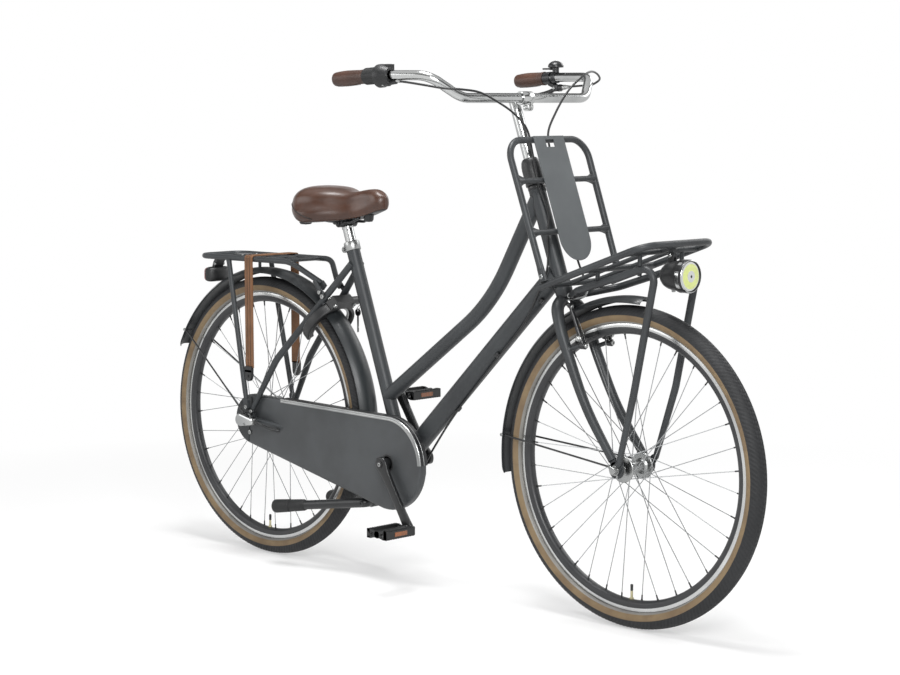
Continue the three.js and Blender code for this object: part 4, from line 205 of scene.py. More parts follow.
def belt(x_a: float, z_a: float, r_a: float, x_b: float, z_b: float, r_b: float,
         steps: int = 24) -> Outline:
    """The outline of a belt round two circles, the first behind the second.

    Args:
        x_a, z_a, r_a: The rear circle.
        x_b, z_b, r_b: The front circle.
        steps: Points on each round end.

    Returns:
        The outline.
    """
    gap = math.hypot(x_b - x_a, z_b - z_a)
    base = math.atan2(z_b - z_a, x_b - x_a)
    lean = math.acos((r_a - r_b) / gap)
    outline = []
    for i in range(steps + 1):
        angle = base - lean + 2 * lean * i / steps
        outline.append((x_b + r_b * math.cos(angle), z_b + r_b * math.sin(angle)))
    for i in range(steps + 1):
        angle = base + lean + (FULL_TURN - 2 * lean) * i / steps
        outline.append((x_a + r_a * math.cos(angle), z_a + r_a * math.sin(angle)))
    return outline


def arc(x: float, z: float, radius: float, start: float, end: float, steps: int) -> Outline:
    """The points of an arc from one angle to another, both ends among them."""
    turns = [start + (end - start) * i / steps for i in range(steps + 1)]
    return [(x + radius * math.cos(t), z + radius * math.sin(t)) for t in turns]


def circle(x: float, z: float, radius: float, steps: int = 32) -> Outline:
    """A round outline."""
    return arc(x, z, radius, 0.0, FULL_TURN, steps)[:-1]


def squared(steps: int, wide: float, tall: float, wide_power: float, tall_power: float) -> Outline:
    """A round outline drawn out towards four corners.

    Args:
        steps: Its points.
        wide, tall: Its half sizes.
        wide_power, tall_power: How far it is drawn out in each direction: 1 is round, 0 is square.

    Returns:
        The outline.
    """
    outline = []
    for a, b in circle(0.0, 0.0, 1.0, steps):
        across = wide * math.copysign(abs(a) ** wide_power, a)
        outline.append((across, tall * math.copysign(abs(b) ** tall_power, b)))
    return outline


class Piece:
    """Gathers faces in millimetres and makes one piece of them in the frame."""

    SMOOTH_BELOW = math.radians(38)
    ROUNDED_ABOVE = math.radians(42)
    JOINED_WITHIN = 2e-6
    SOCKET_SHARES = (0.52, 0.45)
    HEAD_SHARES = (0.82, 0.7)
    NUT_SHARES = (0.84, 0.8)
    THREAD_STEPS = (1.6, 2.4)

    def __init__(self) -> None:
        """Starts with no faces."""
        self.points: Line = []
        self.faces: list[tuple[int, ...]] = []
        self.marks: list[int] = []

    def loft(self, rings: list[Line], mark: Mark = 0, loop: bool = False, wrap: bool = True,
             caps: bool = True) -> None:
        """Joins rings of points by faces.

        Args:
            rings: Rings with the same count of points.
            mark: The finish's number, or one for each face round a ring, or a function of both.
            loop: Whether the last ring joins the first.
            wrap: Whether each ring is closed.
            caps: Whether the end rings are filled.
        """
        base, count = len(self.points), len(rings[0])
        for ring in rings:
            self.points.extend(ring)
        for i in range(len(rings) if loop else len(rings) - 1):
            low, high = base + i * count, base + (i + 1) % len(rings) * count
            for k in range(count if wrap else count - 1):
                after = (k + 1) % count
                self.faces.append((low + k, low + after, high + after, high + k))
                if callable(mark):
                    self.marks.append(mark(i, k))
                else:
                    self.marks.append(mark if isinstance(mark, int) else mark[k])
        if caps and wrap and not loop:
            last = base + (len(rings) - 1) * count
            end_mark = mark if isinstance(mark, int) else 0
            self.faces.append(tuple(range(base, base + count)))
            self.faces.append(tuple(range(last, last + count)))
            self.marks.extend([end_mark, end_mark])

    def tube(self, path: Line, radius: float | Sequence[float], sides: int = 20, mark: int = 0,
             loop: bool = False, flat: float = 1.0, hint: Vector = LEFT) -> None:
        """A round bar along a line.

        Args:
            path: The line.
            radius: One radius, or one for each point.
            sides: Faces round it.
            mark: The finish's number.
            loop: Whether the line is closed.
            flat: Share of the radius across the hint's direction.
            hint: The direction that the first ring starts towards.
        """
        rings: list[Line] = []
        side = hint.copy()
        count = len(path)
        for i, point in enumerate(path):
            before = path[i - 1] if i or loop else point
            after = path[(i + 1) % count] if i < count - 1 or loop else point
            along = (after - before).normalized()
            side = side - along * side.dot(along)
            if side.length < 1e-3:
                side = along.orthogonal()
            side.normalize()
            other = along.cross(side)
            reach = radius if isinstance(radius, (int, float)) else radius[i]
            rings.append([point + (side * (a * flat) + other * b) * reach
                          for a, b in circle(0.0, 0.0, 1.0, sides)])
        self.loft(rings, mark, loop=loop)

    def rod(self, start: Vector, end: Vector, radius: float, sides: int = 20, mark: int = 0) -> None:
        """A straight round bar."""
        self.tube([start, end], radius, sides, mark)

    def lathe(self, profile: Profile, base: Vector, axis: Vector, sides: int = 32,
              mark: Mark = 0) -> None:
        """A turned form.

        Args:
            profile: Radius and place along the axis, point by point.
            base: Where the axis starts.
            axis: The axis's direction.
            sides: Faces round it.
            mark: The finish's number, or one for each step of the profile.
        """
        axis = axis.normalized()
        side = axis.orthogonal().normalized()
        other = axis.cross(side)
        rings = []
        for a, b in circle(0.0, 0.0, 1.0, sides):
            out = side * a + other * b
            rings.append([base + axis * along + out * radius for radius, along in profile])
        self.loft(rings, mark, loop=True, wrap=False)

    def slab(self, outline: Outline, start: Vector, across: Vector, up: Vector, depth: Vector,
             holes: Sequence[Outline] = (), mark: int = 0) -> None:
        """A flat form of even thickness.

        Args:
            outline: Its edge, in the directions across and up.
            start: Where the outline's own zero lies.
            across, up: The plane's directions.
            depth: The thickness as a vector.
            holes: The edges of holes through it.
            mark: The finish's number.
        """
        loops = [[start + across * u + up * v for u, v in edge] for edge in (outline, *holes)]
        base = len(self.points)
        flat = [point for loop in loops for point in loop]
        self.points.extend(flat)
        self.points.extend(point + depth for point in flat)
        for corners in tessellate_polygon(loops):
            for layer in (base, base + len(flat)):
                self.faces.append(tuple(layer + corner for corner in corners))
                self.marks.append(mark)
        first = base
        for loop in loops:
            for k in range(len(loop)):
                low, after = first + k, first + (k + 1) % len(loop)
                self.faces.append((low, after, after + len(flat), low + len(flat)))
                self.marks.append(mark)
            first += len(loop)

    def side_plate(self, outline: Outline, y_from: float, y_to: float, holes: Sequence[Outline] = (),
                   mark: int = 0) -> None:
        """A plate drawn from the bike's side, between two places across it."""
        self.slab(outline, vec(0.0, y_from, 0.0), AHEAD, UP, LEFT * (y_to - y_from), holes, mark)

    def bar(self, low: Vector, high: Vector, mark: int = 0) -> None:
        """A square-edged block between two corners, whose edges are rounded later."""
        outline = [(low.x, low.z), (high.x, low.z), (high.x, high.z), (low.x, high.z)]
        self.side_plate(outline, low.y, high.y, mark=mark)

    def flat_bar(self, start: Vector, end: Vector, width: float, y_half: float, mark: int = 0) -> None:
        """A flat bar between two points, its width in the bike's side plane."""
        along = end - start
        across = along.cross(LEFT).normalized() * (width / 2)
        outline = [(p.x, p.z) for p in (start - across, end - across, end + across, start + across)]
        self.side_plate(outline, start.y - y_half, start.y + y_half, mark=mark)

    def bolt(self, face: Vector, axis: Vector, radius: float, height: float, mark: int = 0,
             socket: int | None = None) -> None:
        """A round bolt head with a socket.

        Args:
            face: The point it sits on.
            axis: Where it points.
            radius: The head's radius.
            height: The head's height.
            mark: The finish's number.
            socket: The socket's finish, or the head's own.
        """
        inner, floor = radius * self.SOCKET_SHARES[0], height * self.SOCKET_SHARES[1]
        edge, shoulder = radius * self.HEAD_SHARES[0], height * self.HEAD_SHARES[1]
        self.lathe([(0, -1), (radius, -1), (radius, shoulder), (edge, height), (inner, height),
                    (inner, floor)],
                   face, axis, 18, mark)
        self.lathe([(inner, floor), (0, floor)], face, axis, 18, mark if socket is None else socket)

    def hex_nut(self, face: Vector, axis: Vector, radius: float, height: float, mark: int = 0,
                thread: float = 0.0) -> None:
        """A hexagon nut with a chamfer, and the thread's end through it."""
        edge, shoulder = radius * self.NUT_SHARES[0], height * self.NUT_SHARES[1]
        self.lathe([(0, 0), (radius, 0), (radius, shoulder), (edge, height), (0, height)], face, axis, 6,
                   mark)
        if thread:
            shank, end = (height + step for step in self.THREAD_STEPS)
            self.lathe([(0, height), (thread, height), (thread, shank), (thread * 0.7, end), (0, end)],
                       face, axis, 18, mark)

    def weld(self, root: Vector, main_axis: Vector, main_radius: float, way: Vector, radius: float,
             size: float = 1.9, mark: int = 0) -> None:
        """A weld bead where one tube leaves another.

        Args:
            root: A point on both tubes' axes.
            main_axis: The main tube's direction.
            main_radius: The main tube's radius.
            way: The direction in which the branch leaves.
            radius: The branch's radius.
            size: The bead's radius.
            mark: The finish's number.
        """
        ripple, ripple_step, steps = 0.16, 2.4, 40
        main_axis, way = main_axis.normalized(), way.normalized()
        side = way.orthogonal().normalized()
        other = way.cross(side)
        path = []
        for u, v in circle(0.0, 0.0, 1.0, steps):
            start = (side * u + other * v) * radius
            flat = start - main_axis * start.dot(main_axis)
            drift = way - main_axis * way.dot(main_axis)
            a, b, c = drift.dot(drift), flat.dot(drift), flat.dot(flat) - main_radius ** 2
            reach = (-b + math.sqrt(max(b * b - a * c, 0.0))) / a
            path.append(root + start + way * reach)
        sizes = [size * (1 + ripple * math.sin(k * ripple_step)) for k in range(steps)]
        self.tube(path, sizes, 8, mark, loop=True)

    def make(self, name: str, finishes: "Finish | Sequence[Finish]", body: str,
             stands_for: Sequence[str] = (), edge: float = 0.5) -> bpy.types.Object:
        """Makes the piece's mesh, dresses it and lets it ride on its body.

        Args:
            name: The piece's name.
            finishes: Its finishes, in the order of the marks.
            body: The body that it moves with.
            stands_for: The CAD nodes that it replaces.
            edge: How wide sharp edges are rounded, or 0.

        Returns:
            The new object.
        """
        mesh = bpy.data.meshes.new(name)
        shift = vec(WHEELBASE / 2, 0.0, 0.0)
        mesh.from_pydata([(p - shift) / METRE for p in self.points], [], self.faces)
        mesh.polygons.foreach_set("material_index", self.marks)
        shape = bmesh.new()
        shape.from_mesh(mesh)
        bmesh.ops.remove_doubles(shape, verts=shape.verts, dist=self.JOINED_WITHIN)
        bmesh.ops.recalc_face_normals(shape, faces=shape.faces)
        for face in shape.faces:
            face.smooth = True
        shape.to_mesh(mesh)
        shape.free()
        mesh.set_sharp_from_angle(angle=self.SMOOTH_BELOW)
        made = bpy.data.objects.new(name, mesh)
        bpy.context.collection.objects.link(made)
        for finish in [finishes] if isinstance(finishes, Finish) else finishes:
            mesh.materials.append(finish.material())
        if edge:
            rounding = made.modifiers.new("rounded edges", "BEVEL")
            rounding.width = edge / METRE
            rounding.segments = 2
            rounding.harden_normals = True
            rounding.limit_method = "ANGLE"
            rounding.angle_limit = self.ROUNDED_ABOVE
        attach(made, body)
        if stands_for:
            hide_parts(*stands_for)
        log.info("%s: %d faces on %s", name, len(mesh.polygons), body)
        return made


def feed(tree: bpy.types.NodeTree, node: bpy.types.Node, inputs: dict[str | int, object]) -> None:
    """Fills a node's inputs, each with a value or with a link from another node's socket."""
    for name, value in inputs.items():
        if isinstance(value, bpy.types.NodeSocket):
            tree.links.new(value, node.inputs[name])
        else:
            node.inputs[name].default_value = value


def add_node(tree: bpy.types.NodeTree, kind: str, inputs: dict[str | int, object],
             **settings: object) -> bpy.types.Node:
    """Adds a shader node.

    Args:
        tree: The tree that it joins.
        kind: Its kind.
        inputs: What goes into its inputs, by name.
        settings: Its own settings.

    Returns:
        The node.
    """
    node = tree.nodes.new(kind)
    for name, value in settings.items():
        setattr(node, name, value)
    feed(tree, node, inputs)
    return node


class Surface(Enum):
    """The kinds of surface that a finish can have."""

    POWDER = "powder"
    BRUSHED = "brushed"
    HIDE = "hide"
    MOULDED = "moulded"
    KNITTED = "knitted"
    CELLS = "cells"


@dataclass(frozen=True)
class Finish:
    """One finish: its two colours, its gloss, the relief of its surface and, where it has one, its
    painted edge shade.
    """

    name: str
    colour: str
    shade: str
    rough: tuple[float, float] = (0.4, 0.55)
    surface: Surface = Surface.POWDER
    scale: float = 900.0
    relief: float = 0.12
    metallic: float = 0.0
    coat: float = 0.0
    glow: float = 0.0
    patches: float = 9.0
    worn: str = ""
    # turned: painted shade at grazing edges, and on metals a painted dark reflection there
    turned: str = ""
    specular: float = 0.5

    @staticmethod
    def linear(text: str) -> tuple[float, float, float, float]:
        """The shader's colour for a written colour."""
        parts = [int(text[i:i + 2], 16) / 255 for i in (0, 2, 4)]
        return (*[c / 12.92 if c <= 0.04045 else ((c + 0.055) / 1.055) ** 2.4 for c in parts], 1.0)

    def material(self) -> bpy.types.Material:
        """The finish's material, made once and then shared."""
        known = bpy.data.materials.get(self.name)
        if known:
            return known
        made = bpy.data.materials.new(self.name)
        made.use_nodes = True
        tree = made.node_tree
        shader = tree.nodes["Principled BSDF"]
        place = tree.nodes.new("ShaderNodeTexCoord").outputs["Object"]
        cloudy = self.noise(tree, place, self.patches, 5.0)
        stops = [(0.34, self.shade), (0.62, self.colour)] + ([(0.82, self.worn)] if self.worn else [])
        colour = self.ramp(tree, cloudy, stops)
        low, high = self.rough
        gloss = add_node(tree, "ShaderNodeMapRange", {
            "To Min": low, "To Max": high, "Value": self.noise(tree, place, self.patches * 7, 6.0)})
        # the base colour carries the painted edge shade of the turned colour
        feed(tree, shader, {
            "Metallic": self.metallic, "Coat Weight": self.coat, "Coat Roughness": 0.12,
            "Specular IOR Level": self.specular, "Base Color": self.with_painted_edge_shade(tree, cloudy, colour),
            "Roughness": gloss.outputs["Result"]})
        if self.glow:
            feed(tree, shader, {"Emission Color": colour, "Emission Strength": self.glow})
        if self.relief:
            bump = add_node(tree, "ShaderNodeBump", {
                "Strength": self.relief, "Distance": 0.0006, "Height": self.grain(tree, place)})
            feed(tree, shader, {"Normal": bump.outputs["Normal"]})
        return made

    def ramp(self, tree: bpy.types.NodeTree, factor: bpy.types.NodeSocket,
             colours: list[tuple[float, str]]) -> bpy.types.NodeSocket:
        """A blend of written colours at their places, led by a factor."""
        node = add_node(tree, "ShaderNodeValToRGB", {"Fac": factor})
        stops = node.color_ramp.elements
        for i, (position, text) in enumerate(colours):
            stop = stops[i] if i < 2 else stops.new(position)
            stop.position, stop.color = position, self.linear(text)
        return node.outputs["Color"]

    def with_painted_edge_shade(self, tree: bpy.types.NodeTree, cloudy: bpy.types.NodeSocket,
                    colour: bpy.types.NodeSocket) -> bpy.types.NodeSocket:
        """The colour, darker where the surface turns away from the eye: a painted shade, and on metals a
        painted dark reflection.
        """
        if not self.turned:
            return colour
        # painted shade: the turned colour is mixed in as the surface faces away from the eye
        facing = add_node(tree, "ShaderNodeLayerWeight", {"Blend": 0.6}).outputs["Facing"]
        edge = self.ramp(tree, cloudy, [(0.0, self.turned), (1.0, self.shade)])
        mix = add_node(tree, "ShaderNodeMix", {}, data_type="RGBA")
        feed(tree, mix, {"Factor": facing, 6: colour, 7: edge})
        return mix.outputs[2]

    @staticmethod
    def noise(tree: bpy.types.NodeTree, place: bpy.types.NodeSocket, scale: float,
              detail: float) -> bpy.types.NodeSocket:
        """A noise at a scale and with a detail, in the object's own space."""
        inputs = {"Scale": scale, "Detail": detail, "Vector": place}
        return add_node(tree, "ShaderNodeTexNoise", inputs).outputs["Fac"]

    def grain(self, tree: bpy.types.NodeTree, place: bpy.types.NodeSocket) -> bpy.types.NodeSocket:
        """The height of the surface's relief."""
        if self.surface in (Surface.HIDE, Surface.CELLS):
            form = "F1" if self.surface is Surface.CELLS else "SMOOTH_F1"
            inputs = {"Scale": self.scale, "Vector": place}
            return add_node(tree, "ShaderNodeTexVoronoi", inputs, feature=form).outputs["Distance"]
        if self.surface is Surface.KNITTED:
            rows = []
            for way in ("X", "Z"):
                inputs = {"Scale": self.scale, "Distortion": 0.6, "Vector": place}
                wave = add_node(tree, "ShaderNodeTexWave", inputs, bands_direction=way)
                rows.append(wave.outputs["Fac"])
            both = add_node(tree, "ShaderNodeMath", {0: rows[0], 1: rows[1]}, operation="MAXIMUM")
            return both.outputs["Value"]
        if self.surface is Surface.BRUSHED:
            stretch = add_node(tree, "ShaderNodeMapping", {"Scale": (0.08, 1.0, 1.0), "Vector": place})
            return self.noise(tree, stretch.outputs["Vector"], self.scale, 3.0)
        return self.noise(tree, place, self.scale, 6.0 if self.surface is Surface.POWDER else 2.0)


class Finishes:
    """The bike's finishes."""

    # PAINT, CASE and FENDER: their turned colour is painted shade at grazing edges
    PAINT = Finish("slate powder coat", "3f4244", "383a3c", (0.36, 0.46), scale=1500.0, relief=0.10,
                   turned="0c0d0e", specular=0.3)
    CASE = Finish("slate case panel", "4b4e50", "424446", (0.36, 0.46), scale=1100.0, relief=0.08,
                  turned="0c0d0e", specular=0.4)
    PLATE = Finish("slate sheet", "54585a", "4b4f51", (0.42, 0.52), scale=1300.0, relief=0.08)
    FENDER = Finish("dark fender enamel", "2f3335", "2a2d2f", (0.30, 0.40), scale=1300.0, relief=0.06,
                    turned="0c0d0e", specular=0.4)
    # CHROME and ALLOY: their turned colour is a painted dark reflection at grazing edges
    CHROME = Finish("polished chrome", "cfd0cf", "bfc1c1", (0.13, 0.22), Surface.BRUSHED, 700.0, 0.03,
                    metallic=1.0, turned="1c1d1e")
    ALLOY = Finish("satin alloy", "b0b1b0", "9c9e9e", (0.24, 0.36), Surface.BRUSHED, 900.0, 0.10,
                   metallic=1.0, turned="2c2d2e")
    STEEL = Finish("zinc steel", "a8a9a8", "8d8f8f", (0.26, 0.40), Surface.MOULDED, 800.0, 0.08,
                   metallic=1.0)
    BLACK = Finish("black anodised metal", "1d1e20", "161718", (0.26, 0.38), scale=1400.0, relief=0.08)
    CRANK = Finish("black forged arm", "18191a", "121314", (0.26, 0.36), scale=1200.0, relief=0.12)
    PLASTIC = Finish("moulded black plastic", "1b1c1d", "151617", (0.36, 0.48), Surface.MOULDED, 1100.0,
                     0.20)
    RUBBER = Finish("black rubber", "191a1b", "131415", (0.55, 0.70), Surface.MOULDED, 1600.0, 0.28)
    TREAD = Finish("tyre tread", "1f2022", "17181a", (0.58, 0.74), Surface.MOULDED, 1500.0, 0.35)
    SIDEWALL = Finish("tan sidewall", "7d6a4e", "6d5a42", (0.55, 0.68), Surface.KNITTED, 420.0, 0.18,
                      patches=26.0)
    STRIPE = Finish("grey reflex stripe", "86847f", "75736f", (0.34, 0.46), Surface.CELLS, 1900.0, 0.14)
    BEAD = Finish("dark bead line", "252423", "1d1c1b", (0.5, 0.62), Surface.MOULDED, 1200.0, 0.16)
    TRACK = Finish("machined brake track", "c9cac9", "b4b5b5", (0.20, 0.32), Surface.BRUSHED, 1600.0,
                   0.16,
                   metallic=1.0)
    RIM = Finish("black rim enamel", "2b2c2e", "242527", (0.34, 0.44), scale=1200.0, relief=0.08)
    SPOKE = Finish("stainless spoke", "a9abac", "97999a", (0.20, 0.30), Surface.BRUSHED, 900.0, 0.06,
                   metallic=1.0)
    BRASS = Finish("nickelled brass", "c4bd9f", "aca585", (0.24, 0.36), Surface.MOULDED, 900.0, 0.08,
                   metallic=1.0)
    LEATHER = Finish("brown saddle leather", "472b1d", "382116", (0.30, 0.42), Surface.HIDE, 1050.0, 0.22,
                     coat=0.12, patches=14.0, worn="4e3629")
    GRIP = Finish("brown grip leather", "45291c", "372015", (0.40, 0.54), Surface.HIDE, 1200.0, 0.26,
                  patches=18.0, worn="503324")
    THREAD = Finish("dark seam thread", "1f130d", "180f0a", (0.6, 0.75), Surface.KNITTED, 900.0, 0.3)
    STRAP = Finish("brown strap band", "7a5334", "684528", (0.50, 0.64), Surface.KNITTED, 520.0, 0.30,
                   patches=22.0)
    STRAP_LINE = Finish("dark strap line", "4f3520", "412b19", (0.55, 0.68), Surface.KNITTED, 520.0, 0.30,
                        patches=22.0)
    RED = Finish("red lamp glass", "8c1218", "640b10", (0.08, 0.14), Surface.CELLS, 420.0, 0.5, coat=0.8)
    AMBER = Finish("amber reflector", "8a4a12", "6b370c", (0.12, 0.2), Surface.CELLS, 480.0, 0.6,
                   coat=0.7)
    PHOSPHOR = Finish("lamp phosphor ring", "d3dc8a", "c6d078", (0.16, 0.24), Surface.CELLS, 300.0, 0.3,
                      coat=0.9, glow=0.08)
    BOWL = Finish("lamp mirror bowl", "d9dad8", "c9cbc9", (0.06, 0.12), Surface.MOULDED, 500.0, 0.05,
                  metallic=1.0)
    CABLE = Finish("black cable sheath", "1a1b1c", "141516", (0.36, 0.48), Surface.MOULDED, 1500.0, 0.12)


F = Finishes


@dataclass
class Wheel:
    """A laced wheel: tyre, rim, spokes, nipples, hub, valve and axle."""

    name: str
    body: str
    axle_x: float
    flange: float
    lip: float
    half: float
    shell: float
    nose_end: float
    nose: float
    crossing: float
    phase: float
    valve_angle: float
    axle: float
    axle_half: float
    nut_face: float
    rider: str
    spokes: int = 36
    tyre_centre: float = 333.5
    tyre_half: float = 23.5
    wall_height: float = 15.1
    bead_half: float = 10.4
    lining: tuple[float, float] = (311.4, 9.9)
    bands: Profile = ((318.6, 3), (322.4, 2), (335.4, 1), (1000.0, 0))
    tread_from: float = 14.0
    tread_to: float = 86.0
    rim_half_section: Profile = (
        (293.4, 0.0), (293.6, 3.0), (294.3, 6.2), (296.2, 9.2), (298.9, 11.4), (301.0, 12.2),
        (308.4, 12.2),
        (308.9, 12.05), (309.5, 12.2), (317.2, 12.2), (318.0, 11.7), (318.0, 10.6), (311.2, 10.4))
    brake_track: tuple[float, float] = (309.2, 318.2)
    rim_floor: float = 293.4
    spoke: float = 0.95
    spoke_elbow: float = 3.6
    spoke_head: Profile = ((0, 0), (2.0, 0), (1.7, 0.9), (0, 1.2))
    spoke_stagger: float = 0.86
    nipple: Profile = ((1.1, 0), (1.75, 0.6), (1.75, 8.5), (2.3, 9.6), (2.3, 12.4), (0, 12.4))
    nipple_length: float = 11.5
    valve_base: float = 295.0
    valve_stem: Profile = ((0, 0), (2.9, 0), (2.9, 19), (2.3, 20), (2.3, 22), (0, 22))
    valve_nut: Profile = ((2.9, 2), (5.2, 2), (5.2, 4.4), (4.4, 5.2), (2.9, 5.2))
    valve_cap: Profile = ((2.9, 20.5), (3.2, 21.2), (3.2, 33.5), (2.4, 35), (0, 35))
    washer: float = 11.5
    washer_thick: float = 2.0
    nut: tuple[float, float] = (9.5, 9.0)
    rim_steps: int = 180
    tread_steps: int = 864

    def build(self) -> None:
        """Builds all of the wheel's pieces."""
        self.tyre()
        self.rim()
        self.hub()
        self.lacing()
        self.valve()
        self.axle_ends()

    def centre(self, left: float = 0.0) -> Vector:
        """The axle's point at a place across the bike."""
        return vec(self.axle_x, left, AXLE_HEIGHT)

    def tyre_profile(self) -> list[tuple[float, float, float]]:
        """The tyre's outer line from one bead to the other, as angle, radius and place across."""
        near = []
        for a in [*range(-90, 0, 6), *range(2, 90, 4), 90]:
            up, out = math.sin(math.radians(a)), math.cos(math.radians(a))
            rise = self.tyre_half if a > 0 else self.wall_height
            foot = 0.0 if a > 0 else self.bead_half
            near.append((float(a), self.tyre_centre + rise * up, foot + (self.tyre_half - foot) * out))
        far = [(a, radius, -left) for a, radius, left in reversed(near[:-1])]
        return near + far

    def groove(self, i: int, angle: float) -> float:
        """How deep the tread is cut at a step round the wheel and an angle round its section."""
        ring_groove, block_groove = 1.1, 1.3
        if angle < self.tread_from or angle > self.tread_to:
            return 0.0
        if 72 < angle < 78:
            return ring_groove
        return block_groove if (i * 2 + int(angle / 4)) % 8 < 2 else 0.0

    def tyre(self) -> None:
        """Builds the tyre, with its tread cut and its sidewall's bands."""
        profile = self.tyre_profile()
        lining_radius, lining_half = self.lining
        rings = []
        for i in range(self.tread_steps):
            degrees = 360 * i / self.tread_steps
            ring = []
            for angle, radius, left in profile:
                depth = self.groove(i, angle)
                turn = math.radians(angle)
                reach = radius - depth * math.sin(turn)
                across = left - math.copysign(depth * math.cos(turn), left)
                ring.append(wheel_point(self.axle_x, reach, degrees, across))
            for side in SIDES:
                ring.append(wheel_point(self.axle_x, lining_radius, degrees, side * lining_half))
            rings.append(ring)
        marks = []
        for (_, low, _), (_, high, _) in zip(profile, profile[1:]):
            marks.append(next(int(mark) for limit, mark in self.bands if (low + high) / 2 < limit))
        marks += [3, 3, 3]
        piece = Piece()
        piece.loft(rings, marks, loop=True)
        piece.make(f"{self.name}_tyre_casing", [F.TREAD, F.SIDEWALL, F.STRIPE, F.BEAD], self.body,
                   [f"{self.name}_tyre"], edge=0)

    def rim(self) -> None:
        """Builds the rim, bright on its brake tracks and dark towards the hub."""
        near = list(self.rim_half_section)
        profile = near + [(radius, -left) for radius, left in reversed(near[1:])]
        track_low, track_high = self.brake_track
        marks = []
        for (low, _), (high, _) in zip(profile, profile[1:] + profile[:1]):
            marks.append(0 if track_low < (low + high) / 2 < track_high else 1)
        marks[len(near) - 1] = 1
        rings = []
        for i in range(self.rim_steps):
            degrees = 360 * i / self.rim_steps
            rings.append([wheel_point(self.axle_x, radius, degrees, left) for radius, left in profile])
        piece = Piece()
        piece.loft(rings, marks, loop=True)
        piece.make(f"{self.name}_rim_hoop", [F.TRACK, F.RIM], self.body, [f"{self.name}_rim"],
                   edge=0)

    def hub(self) -> None:
        """Builds the hub's shell with its two flanges."""
        half, lip, nose, shell, end = self.half, self.lip, self.nose, self.shell, self.nose_end
        side = [(self.axle + 0.8, end), (nose * 0.8, end), (nose, end - 1.2), (nose + 0.8, half + 3.4),
                (lip - 6, half + 1.6), (lip - 0.8, half + 0.9), (lip, half), (lip, half - 2.4),
                (lip - 0.8, half - 3.4), (self.flange - 7, half - 4.0), (shell + 1.6, half - 7.5),
                (shell, half - 11)]
        profile = [(radius, -left) for radius, left in side] + list(reversed(side))
        piece = Piece()
        piece.lathe(profile, self.centre(), LEFT, 64, 0)
        seal = [(nose - 2.2, 0), (nose - 2.2, 1.0), (self.axle + 1, 1.2)]
        for way in SIDES:
            piece.lathe(seal, self.centre(way * (end - 0.9)), LEFT * way, 40, 1)
        piece.make(f"{self.name}_hub_shell", [F.ALLOY, F.PLASTIC], self.body, [f"{self.name}_hub"],
                   edge=0.3)

    def lacing(self) -> None:
        """Builds the spokes with their heads, and the nipples in the rim."""
        piece = Piece()
        flange_inset, stagger_at_hub, rim_half = 1.7, 2.4, 3.05
        for i in range(self.spokes):
            side = 1 if i % 2 else -1
            trailing = 1 if (i // 2) % 2 else -1
            rim_angle = self.phase + i * 360 / self.spokes
            hub_angle = rim_angle + trailing * self.crossing
            step = side * trailing * self.spoke_stagger
            hub_left = side * (self.half - flange_inset) + step * stagger_at_hub
            hub_end = wheel_point(self.axle_x, self.flange, hub_angle, hub_left)
            rim_end = wheel_point(self.axle_x, self.rim_floor, rim_angle, side * rim_half + step)
            along = (rim_end - hub_end).normalized()
            piece.rod(hub_end, rim_end, self.spoke, 8, 0)
            head = hub_end - LEFT * (side * trailing * self.spoke_elbow)
            piece.tube(bent([head, hub_end, hub_end + along * 6], [1.6], 4), 1.0, 8, 0)
            piece.lathe(self.spoke_head, head, LEFT * (-side * trailing), 10, 0)
            piece.lathe(self.nipple, rim_end - along * self.nipple_length, along, 8, 1)
        piece.make(f"{self.name}_spokes", [F.SPOKE, F.BLACK], self.body, [f"{self.name}_hub"],
                   edge=0)

    def valve(self) -> None:
        """Builds the valve with its ring nut and its dust cap."""
        base = wheel_point(self.axle_x, self.valve_base, self.valve_angle)
        inwards = (self.centre() - base).normalized()
        piece = Piece()
        piece.lathe(self.valve_stem, base, inwards, 18, 0)
        piece.lathe(self.valve_nut, base, inwards, 14, 0)
        piece.lathe(self.valve_cap, base, inwards, 18, 1)
        piece.make(f"{self.name}_valve", [F.BRASS, F.PLASTIC], self.body, [f"{self.name}_rim"],
                   edge=0)

    def axle_ends(self) -> None:
        """Builds the axle with its cones, washers and nuts."""
        piece = Piece()
        piece.rod(self.centre(1 - self.axle_half), self.centre(self.axle_half - 1), self.axle, 20)
        thick, radius = self.washer_thick, self.washer
        washer = [(self.axle, 0), (radius, 0), (radius, thick - 0.4), (radius - 0.5, thick),
                  (self.axle, thick)]
        for way in SIDES:
            out = LEFT * way
            piece.lathe(washer, self.centre(way * self.nut_face), out, 28)
            piece.hex_nut(self.centre(way * (self.nut_face + thick)), out, *self.nut)
        piece.make(f"{self.name}_axle_nuts", F.STEEL, self.rider, [f"{self.name}_axle"],
                   edge=0.4)


@dataclass
class Dropout:
    """A plate that holds the axle's end, with its slot open downwards."""

    axle_x: float
    side: int
    inner: float
    axle: float
    radius: float = 19.0
    depth: float = 6.0
    slot_room: float = 0.3
    arm_width: float = 16.0
    arm_start: float = 0.45

    def add_to(self, piece: Piece, arms: Line) -> None:
        """Adds the plate to a piece, with an arm to the end of each tube."""
        slot = self.axle + self.slot_room
        start = math.asin(slot / self.radius)
        low = -math.pi / 2 + start
        outline = arc(self.axle_x, AXLE_HEIGHT, self.radius, low, low + FULL_TURN - 2 * start, 40)
        outline += arc(self.axle_x, AXLE_HEIGHT, slot, math.pi, 0.0, 8)
        piece.side_plate(outline, self.side * self.inner, self.side * (self.inner + self.depth))
        middle = self.side * (self.inner + self.depth / 2)
        for end in arms:
            far = vec(end.x, middle, end.z)
            near = vec(self.axle_x, middle, AXLE_HEIGHT).lerp(far, self.arm_start)
            piece.flat_bar(near, far, self.arm_width, self.depth / 2)


